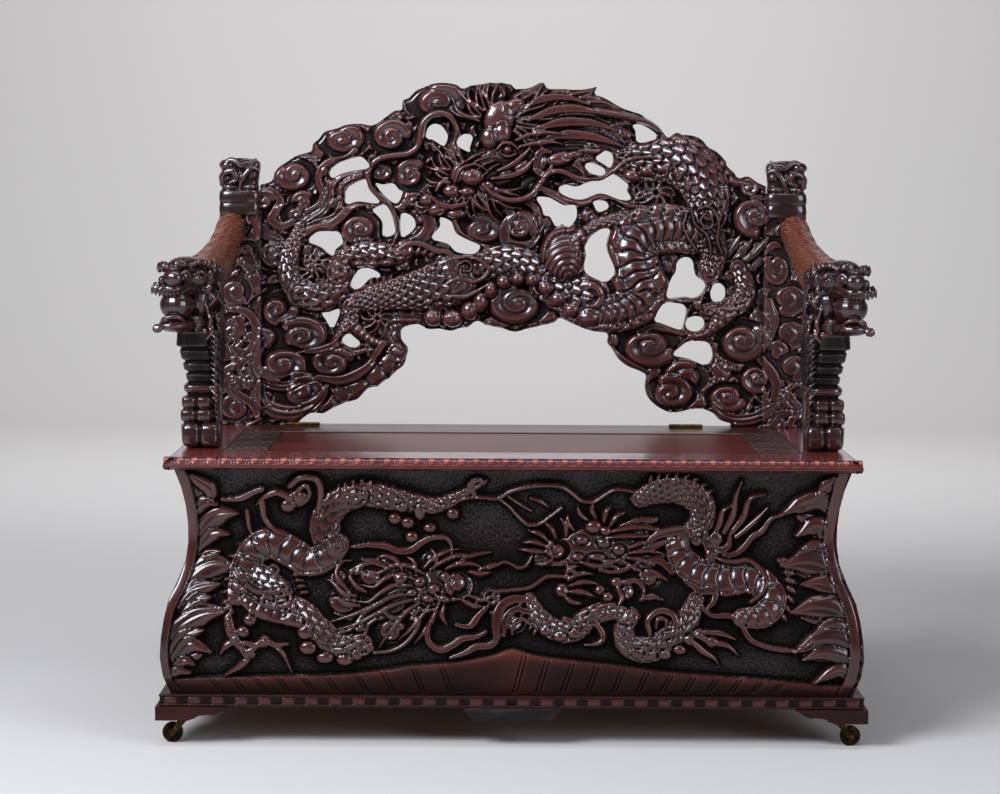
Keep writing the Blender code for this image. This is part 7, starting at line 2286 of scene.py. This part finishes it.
def post_limits(mesh):
    points = read_points(mesh)
    points[:, 1] = np.minimum(points[:, 1], POST_BACK_MM / 1000)
    points[:, 0] = np.minimum(points[:, 0], -(POST_INNER_MM + 0.3) / 1000)
    points[:, 2] = np.maximum(points[:, 2], COLLAR_FOOT_MM / 1000)
    write_points(mesh, points)


capital_left = model_capital().melt("collared_capital_left", wood_of_arms, keep=post_limits)
capital_right = mirrored(capital_left, "collared_capital_right")
for side, capital in (("left", capital_left), ("right", capital_right)):
    for piece in (capital, shafts[side]):
        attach(piece, "chest")
    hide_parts(f"back_post_{side}")
    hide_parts(f"back_post_{side}")
print("capitals:", len(capital_left.data.polygons), "faces each")

# %% [markdown]
# ## Carved mouldings
# The edge of the seat, the rear rail and the plinth are mouldings with one small motif cut over
# and over. Each is a section carried along a path, pushed in or out where the motif is cut, and
# closed into one solid behind.

# %% Mouldings
STATION_MM = 1.6
SECTION_STEP_MM = 1.1
BEHIND_HOLLOW = 0.35


def path_stations(path):
    """Close points along a path of (x, y) in mm, each with the outward way: (place, out, distance)."""
    path = np.asarray(path, float)
    ways = np.diff(path, axis=0)
    ways /= np.linalg.norm(ways, axis=1)[:, None]
    outs = np.stack([ways[:, 1], -ways[:, 0]], 1)
    places, normals, run = [path[0]], [outs[0]], [0.0]
    for k, (a, b) in enumerate(zip(path, path[1:])):
        length = float(np.linalg.norm(b - a))
        count = max(1, int(length / STATION_MM))
        for i in range(1, count + 1):
            places.append(a + (b - a) * i / count)
            normals.append(outs[k])
            run.append(run[-1] + length / count)
        if k + 1 < len(outs):
            corner = outs[k] + outs[k + 1]
            normals[-1] = corner / (1 + outs[k] @ outs[k + 1])
    return np.array(places), np.array(normals), np.array(run)


def moulding(name, body, node, path, behind, section, motif, material, ends=(None, None)):
    """A solid whose edge along the path has the section (inset, level) and the motif's relief, in mm."""
    places, outs, run = path_stations(path)
    for at, way in zip((0, -1), ends):
        if way is not None:
            outs[at] = way
    section = np.array(section, float)
    count = len(section)
    across = np.concatenate([[0], np.cumsum(np.hypot(*np.diff(section, axis=0).T))])
    relief, hollow = motif(run[:, None], (across / across[-1])[None, :], run[-1])
    relief = np.broadcast_to(relief, (len(run), count))
    inset = section[None, :, 0] - relief
    flat = places[:, None, :] - outs[:, None, :] * inset[:, :, None]
    verts = np.concatenate(
        [flat, np.broadcast_to(section[None, :, 1:], (len(run), count, 1))], 2
    ).reshape(-1, 3)
    top, low = section[0, 1], section[-1, 1]
    extra = [(x, y, z) for x, y in behind for z in (top, low)]
    first = len(verts)
    grid = np.arange(first).reshape(len(run), count)
    faces = [
        (grid[i, k], grid[i, k + 1], grid[i + 1, k + 1], grid[i + 1, k])
        for i in range(len(run) - 1) for k in range(count - 1)
    ]
    flat_from = len(faces)
    tops = [first + 2 * k for k in range(len(behind))]
    lows = [first + 2 * k + 1 for k in range(len(behind))]
    faces.append((*grid[:, 0], *tops))
    faces.append((*grid[::-1, -1], *lows[::-1]))
    faces.append((*grid[-1, :], lows[0], tops[0]))
    faces.append((*grid[0, ::-1], tops[-1], lows[-1]))
    for k in range(len(behind) - 1):
        faces.append((tops[k], lows[k], lows[k + 1], tops[k + 1]))
    hollow = np.concatenate(
        [np.broadcast_to(hollow, (len(run), count)).ravel(), np.full(len(extra), BEHIND_HOLLOW)],
    )
    obj = build_mesh(name, np.vstack([verts, extra]) / 1000, faces, hollow, material, flat_from)
    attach(obj, body)
    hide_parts(node)
    return obj


# %% [markdown]
# ### Seat and lid
# A row of small leaves is cut along the upper slope of the seat's edge, above a rolled lip.

# %% Seat edge
LEAF_PITCH_MM = 25.0
seat_low, seat_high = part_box("seat_end_left")
SEAT_OUTER, SEAT_FRONT = -seat_low.x * 1000, seat_low.y * 1000
SEAT_LOW_MM, SEAT_DEEP_MM = seat_low.z * 1000, seat_high.y * 1000
SEAT_INNER = -seat_high.x * 1000
SEAT_SECTION = smooth_line((
    (19.0, SEAT_TOP_MM), (12.5, SEAT_TOP_MM - 0.4), (8.5, SEAT_TOP_MM - 2.6), (5.6, SEAT_TOP_MM - 6.0),
    (3.0, SEAT_TOP_MM - 9.5),
    (2.2, SEAT_TOP_MM - 11.2), (0.7, SEAT_TOP_MM - 12.6), (0.4, SEAT_TOP_MM - 15.0),
    (1.6, SEAT_TOP_MM - 17.4),
    (6.0, SEAT_TOP_MM - 18.6), (9.0, SEAT_TOP_MM - 20.6), (12.0, SEAT_LOW_MM),
), SECTION_STEP_MM)
SEAT_SECTION[0] = (19.0, SEAT_TOP_MM)
SEAT_SECTION[-1] = (12.0, SEAT_LOW_MM)


def leaf_row(run, share, length):
    """Upright leaves between darts on the slope, cut as deep as the slope allows."""
    slope = np.clip((share - 0.16) / 0.36, 0, 1)
    on = (share > 0.16) & (share < 0.52)
    count = max(1, round(length / LEAF_PITCH_MM))
    part = run * count / length % 1.0
    away = np.abs(part - 0.5) * 2
    egg = np.sqrt(np.clip(1 - (away / 0.62) ** 2 - ((slope - 0.35) / 0.75) ** 2, 0, 1))
    rim = np.exp(-((np.hypot(away / 0.78, (slope - 0.3) / 0.85) - 1) / 0.13) ** 2)
    dart = np.exp(-((1 - away) / 0.13) ** 2) * np.clip(slope * 1.6, 0, 1)
    rise = 1.9 * np.maximum(np.maximum(egg * 0.95, rim * 0.8), dart * 0.9) - 1.3
    # the tone paints shade where the cut sinks, and sets the lower part of the section darker than the upper
    return np.where(on, rise, 0.0), np.clip(
        np.where(on, 0.36 - 0.32 * rise, np.where(share > 0.5, 0.46, 0.3)), 0, 1,
    )


# the edge of the seat is glossy, and its pale pink is painted sheen, the reflection of the pale surroundings
# put into the colour
SEAT_SHEEN_STOPS = ((0.0, "#e08a66"), (0.22, "#a34a32"), (0.42, "#5a2018"), (0.75, "#1b0b08"), (1.0, "#060302"))
wood_of_seat = carved_wood("polished_seat_hardwood", SEAT_SHEEN_STOPS, rough=(0.16, 0.4))
for side, name in ((-1, "left"), (1, "right")):
    corner = [(-SEAT_OUTER, SEAT_DEEP_MM), (-SEAT_OUTER, SEAT_FRONT), (-SEAT_INNER, SEAT_FRONT)]
    behind = [(-SEAT_INNER, SEAT_DEEP_MM)]
    if side > 0:
        corner = [(-x, y) for x, y in reversed(corner)]
        behind = [(-x, y) for x, y in behind]
    moulding(
        f"carved_seat_end_{name}", "chest", f"seat_end_{name}", corner, behind, SEAT_SECTION, leaf_row,
        wood_of_seat,
    )
rail_low, rail_high = (corner * 1000 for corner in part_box("lid_front_rail"))
moulding(
    "carved_lid_front", "lid", "lid_front_rail", [(rail_low.x, rail_low.y), (rail_high.x, rail_low.y)],
    [(rail_high.x, rail_high.y), (rail_low.x, rail_high.y)], SEAT_SECTION, leaf_row, wood_of_seat,
)

# %% [markdown]
# ### Plinth
# Raised red blocks alternate with sunk hatched ones between two beads.

# %% Plinth
BLOCK_PITCH_MM = 40.0
HATCH_MM = 2.2
HATCH_SLANT = 9.0
plinth_low, plinth_high = (corner * 1000 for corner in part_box("plinth_front_rail"))
PLINTH_OUT, PLINTH_DEEP = plinth_high.x, -plinth_low.y
RAIL_WIDE = plinth_high.y - plinth_low.y
P_TOP, P_LOW = plinth_high.z, plinth_low.z
PLINTH_SECTION = np.array((
    (5.0, P_TOP), (1.6, P_TOP), (0.7, P_TOP - 0.7), (0.3, P_TOP - 1.7), (0.7, P_TOP - 2.9),
    (2.0, P_TOP - 3.6),
    (2.4, P_TOP - 4.4),
    (2.4, P_TOP - 5.2), (2.4, P_TOP - 7.0), (2.4, P_TOP - 8.5), (2.4, P_TOP - 10.0), (2.4, P_TOP - 11.5),
    (2.4, P_TOP - 13.0),
    (2.4, P_TOP - 14.8), (2.4, P_LOW + 4.4), (2.0, P_LOW + 3.8), (0.7, P_LOW + 3.0), (0.3, P_LOW + 1.8),
    (0.7, P_LOW + 0.7),
    (1.6, P_LOW), (5.0, P_LOW),
))


def block_row(run, share, length):
    """Raised blocks with crossed gouge cuts sunk between them."""
    band = (share > 0.32) & (share < 0.72)
    count = max(1, round(length / BLOCK_PITCH_MM))
    part = run * count / length % 1.0
    raised = 1 / (1 + np.exp(-(0.25 - np.abs(part - 0.5)) / 0.018))
    middle = 1 - np.clip((np.abs(share - 0.52) - 0.15) / 0.05, 0, 1)
    one_way, other_way = run / HATCH_MM + share * HATCH_SLANT, run / HATCH_MM - share * HATCH_SLANT
    hatch = 0.5 + 0.5 * np.cos(one_way * 2 * math.pi) * np.cos(other_way * 2 * math.pi)
    rise = np.where(band, 1.7 * raised * middle + (1 - raised) * (hatch * 0.9 - 0.9), 0.0)
    # the tone paints shade into the sunk hatching, darkest in its grooves
    tone = np.where(band, 0.22 * raised + (1 - raised) * (0.95 - 0.35 * hatch), 0.5)
    return rise, np.clip(tone, 0, 1)


# duller and evenly dark: nobody touches the plinth
PLINTH_STOPS = ((0.0, "#5c2519"), (0.25, "#3f1a14"), (0.5, "#260f0c"), (0.75, "#110807"), (1.0, "#060404"))
wood_of_plinth = carved_wood(
    "red_stained_plinth_hardwood", PLINTH_STOPS, rough=(0.4, 0.6), polish=0.35, shine=0.1,
)
for name, half, depth, turn in (
    ("front", PLINTH_OUT, PLINTH_DEEP, lambda a, o: (a, -o)),
    ("back", PLINTH_OUT, PLINTH_DEEP, lambda a, o: (-a, o)),
    ("left", PLINTH_DEEP, PLINTH_OUT, lambda a, o: (-o, -a)),
    ("right", PLINTH_DEEP, PLINTH_OUT, lambda a, o: (o, a)),
):
    half -= 0.4
    path = [turn(-half, depth), turn(half, depth)]
    inner = [turn(half - RAIL_WIDE, depth - RAIL_WIDE), turn(-(half - RAIL_WIDE), depth - RAIL_WIDE)]
    ways = [np.subtract(turn(s, 1.0), turn(0.0, 0.0)) for s in (-1.0, 1.0)]
    moulding(
        f"blocked_plinth_{name}", "chest", f"plinth_{name}_rail", path, inner, PLINTH_SECTION, block_row,
        wood_of_plinth, ways,
    )
print("mouldings run")

# %% [markdown]
# ## Plain joinery
# The other pieces keep the joiner's shape, and only take a finish: French polished wood for the
# panel and rails, a close diamond hatching for the lid's stiles, grey worn wood for the middle
# bracket, dry wood inside the chest, aged brass for the hinges, and a darker tarnished brass and
# brown cast metal for the casters.

# %% Finishes of the plain pieces
HATCH_PER_METRE = 40.0
HATCH_STRETCH = 0.3


def plain_wood(
    name, stops, figure_mm, rough, coat=0.0, stretch=(0.12, 1.0, 1.0), crosshatch=False, shine=0.5,
):
    """Wood with a figure that runs along x: long soft streaks, with finer pores among them."""
    material, tree, shader = new_material(name)
    where = add(tree, "ShaderNodeTexCoord").outputs["Object"]
    along = add(tree, "ShaderNodeMapping", Vector=where, Scale=stretch).outputs[0]
    figure = add(
        tree, "ShaderNodeTexNoise", Vector=along, Scale=PER_METRE / figure_mm, Detail=3.0, Distortion=0.6,
    )
    pores = add(tree, "ShaderNodeTexNoise", Vector=along, Scale=PER_METRE / 3.0, Detail=2.0)
    tone = add(
        tree, "ShaderNodeMath", {"operation": "MULTIPLY_ADD"}, in0=pores.outputs[0], in1=0.25, in2=-0.125,
    )
    value = add(
        tree, "ShaderNodeMath", {"operation": "ADD", "use_clamp": True}, in0=figure.outputs[0],
        in1=tone.outputs[0],
    )
    height = pores.outputs[0]
    if crosshatch:
        lozenge = add(tree, "ShaderNodeMapping", Vector=where, Scale=(1.0, HATCH_STRETCH, 1.0)).outputs[0]
        left = add(
            tree, "ShaderNodeTexWave", {"bands_direction": "DIAGONAL"}, Vector=lozenge, Scale=HATCH_PER_METRE,
            Distortion=0.4,
        )
        mirror = add(tree, "ShaderNodeMapping", Vector=where, Scale=(-1.0, HATCH_STRETCH, 1.0)).outputs[0]
        right = add(
            tree, "ShaderNodeTexWave", {"bands_direction": "DIAGONAL"}, Vector=mirror, Scale=HATCH_PER_METRE,
            Distortion=0.4,
        )
        cross = add(
            tree, "ShaderNodeMath", {"operation": "MULTIPLY"}, in0=left.outputs[1], in1=right.outputs[1],
        )
        value = add(
            tree, "ShaderNodeMath", {"operation": "MULTIPLY_ADD"}, in0=cross.outputs[0], in1=-0.7,
            in2=value.outputs[0],
        )
        height = cross.outputs[0]
    colour = add(tree, "ShaderNodeValToRGB", {"stops": stops}, Fac=value.outputs[0])
    bump = add(tree, "ShaderNodeBump", Height=height, Strength=0.5 if crosshatch else 0.06, Distance=0.001)
    tree.links.new(colour.outputs[0], shader.inputs["Base Color"])
    tree.links.new(bump.outputs[0], shader.inputs["Normal"])
    shader.inputs["Roughness"].default_value = rough
    shader.inputs["IOR"].default_value = 1.5
    shader.inputs["Specular IOR Level"].default_value = shine
    shader.inputs["Coat Weight"].default_value = coat
    shader.inputs["Coat Roughness"].default_value = 0.06
    return material


def metal(name, stops, rough, patch_mm):
    """Old metal: bright where it rubs, brown where it has tarnished."""
    material, tree, shader = new_material(name)
    where = add(tree, "ShaderNodeTexCoord").outputs["Object"]
    patches = add(
        tree, "ShaderNodeTexNoise", Vector=where, Scale=PER_METRE / patch_mm, Detail=5.0, Roughness=0.6,
    )
    colour = add(tree, "ShaderNodeValToRGB", {"stops": stops}, Fac=patches.outputs[0])
    dull = add(
        tree, "ShaderNodeMapRange", Value=patches.outputs[0], From_Min=0.35, From_Max=0.65, To_Min=rough[0],
        To_Max=rough[1],
    )
    tree.links.new(colour.outputs[0], shader.inputs["Base Color"])
    tree.links.new(dull.outputs[0], shader.inputs["Roughness"])
    shader.inputs["Metallic"].default_value = 1.0
    return material


FRENCH_POLISH = plain_wood(
    "french_polished_panel", ((0.25, "#3a0f0b"), (0.5, "#551912"), (0.75, "#702519")), 60.0, 0.34,
)
RAIL_POLISH = plain_wood(
    "polished_rail_hardwood", ((0.25, "#230d0a"), (0.5, "#38140d"), (0.8, "#562216")), 30.0, 0.32, 0.2,
)
HATCHED = plain_wood(
    "hatched_stile_hardwood", ((0.0, "#0b0605"), (0.35, "#3a211d"), (0.8, "#6e5450")), 30.0, 0.4,
    crosshatch=True,
)
FOOT_WOOD = plain_wood(
    "red_bracket_hardwood", ((0.25, "#180806"), (0.5, "#2a0f0a"), (0.8, "#431c13")), 24.0, 0.55, shine=0.2,
)
WORN_BRACKET = plain_wood(
    "worn_grey_bracket_wood", ((0.25, "#0d0a09"), (0.5, "#1a1312"), (0.8, "#383030")), 14.0, 0.6, shine=0.2,
)
END_WOOD = plain_wood(
    "stained_end_hardwood", ((0.25, "#1f0c09"), (0.5, "#371510"), (0.8, "#562318")), 40.0, 0.3, 0.3,
    (1.0, 0.12, 1.0),
)
INSIDE_WOOD = plain_wood(
    "dry_inside_camphor_wood", ((0.25, "#5f3d25"), (0.5, "#84583a"), (0.8, "#a87850")), 26.0, 0.7,
)
BRASS = metal("aged_brass", ((0.3, "#3a2613"), (0.5, "#6e4f28"), (0.7, "#a87e45")), (0.5, 0.3), 9.0)
CASTER_BRASS = metal(
    "tarnished_caster_brass", ((0.3, "#1c140c"), (0.5, "#3e2e1a"), (0.7, "#6e5532")), (0.6, 0.4), 9.0,
)
WHEEL_METAL = metal(
    "brown_cast_wheel", ((0.3, "#140e0a"), (0.5, "#2c2016"), (0.7, "#554028")), (0.6, 0.4), 12.0,
)
FINISHES = (
    (FRENCH_POLISH, ("lid_panel",)),
    (RAIL_POLISH, ("lid_back_rail", "seat_back_rail", "lid_left_batten", "lid_right_batten")),
    (HATCHED, ("lid_left_stile", "lid_right_stile")),
    (FOOT_WOOD, ("foot_",)),
    (WORN_BRACKET, ("centre_bracket",)),
    (END_WOOD, ("chest_left_end", "chest_right_end", "back_post_", "arm_", "mouth_")),
    (INSIDE_WOOD, ("bottom_board", "chest_back_board")),
    (BRASS, ("hinge_",)),
    (CASTER_BRASS, ("caster_socket_", "caster_horn_", "caster_axle_")),
    (WHEEL_METAL, ("caster_wheel_",)),
)
finished = 0
for material, starts in FINISHES:
    for name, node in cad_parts.items():
        if name.startswith(starts):
            node.data.materials.clear()
            node.data.materials.append(material)
            finished += 1
print("plain pieces finished:", finished)

# %% [markdown]
# ## Studio
# A pale sweep of paper runs under the bench and up behind it. Three large soft lamps light the
# bench: a key from the upper left, a weaker fill from the right, and a strip above, so that the
# polish shows broad soft glints. The paper rises only well behind the bench, so that a camera can
# go all the way round it. A fourth lamp points away from the bench and lights the far paper.

# %% Paper and lamps (metres and watts)
SWEEP_HALF_WIDTH = 16.0
SWEEP_FRONT = -16.0
SWEEP_BACK = 6.8
SWEEP_RADIUS = 1.6
SWEEP_TOP = 8.0


def make_sweep():
    """The paper: flat floor, a quarter round, and an upright part."""
    section = [(SWEEP_FRONT, 0.0), (SWEEP_BACK - SWEEP_RADIUS, 0.0)]
    for k in range(1, 13):
        angle = k / 12 * math.pi / 2
        section.append(
            (SWEEP_BACK - SWEEP_RADIUS * (1 - math.sin(angle)), SWEEP_RADIUS * (1 - math.cos(angle))),
        )
    section.append((SWEEP_BACK, SWEEP_TOP))
    points = [(side * SWEEP_HALF_WIDTH, y, z) for y, z in section for side in (-1, 1)]
    faces = [(2 * k, 2 * k + 1, 2 * k + 3, 2 * k + 2) for k in range(len(section) - 1)]
    mesh = bpy.data.meshes.new("paper_sweep")
    mesh.from_pydata(points, [], faces)
    for face in mesh.polygons:
        face.use_smooth = True
    obj = bpy.data.objects.new("paper_sweep", mesh)
    bpy.context.scene.collection.objects.link(obj)
    return obj


paper, _, paper_shader = new_material("matt_background_paper")
paper_shader.inputs["Base Color"].default_value = linear("#d3cfc9")
paper_shader.inputs["Roughness"].default_value = 0.9
sweep = make_sweep()
sweep.data.materials.append(paper)


def soft_lamp(name, place, aim, size, watts, colour):
    light = bpy.data.lights.new(name, "AREA")
    light.shape = "RECTANGLE"
    light.size, light.size_y = size
    light.energy = watts
    light.color = linear(colour)[:3]
    obj = bpy.data.objects.new(name, light)
    obj.location = place
    obj.rotation_euler = (Vector(aim) - Vector(place)).to_track_quat("-Z", "Y").to_euler()
    bpy.context.scene.collection.objects.link(obj)
    return obj


soft_lamp("key_lamp", (-2.4, -2.6, 2.9), (0, 0, 0.55), (2.0, 1.5), 215, "#eef3ff")
soft_lamp("fill_lamp", (2.9, -3.0, 1.9), (0, 0, 0.5), (1.6, 2.0), 60, "#eef3ff")
soft_lamp("top_lamp", (0.0, -0.6, 3.4), (0, 0.1, 0.6), (3.0, 1.0), 35, "#e8f0ff")
soft_lamp("backdrop_lamp", (0.0, 2.9, 3.3), (0, 6.0, 0.9), (5.0, 1.0), 150, "#f4f6ff")
world = bpy.data.worlds.new("studio")
world.use_nodes = True
world.node_tree.nodes["Background"].inputs["Color"].default_value = linear("#e6eaf0")
world.node_tree.nodes["Background"].inputs["Strength"].default_value = 0.1
bpy.context.scene.world = world
bpy.context.scene.view_settings.view_transform = "Standard"
print("studio lit")

# %% [markdown]
# ## Size
# The dressed bench must stay inside the box of its joinery, so the joinery's box is printed.

# %% Sizes
print("joinery box:", box_before)
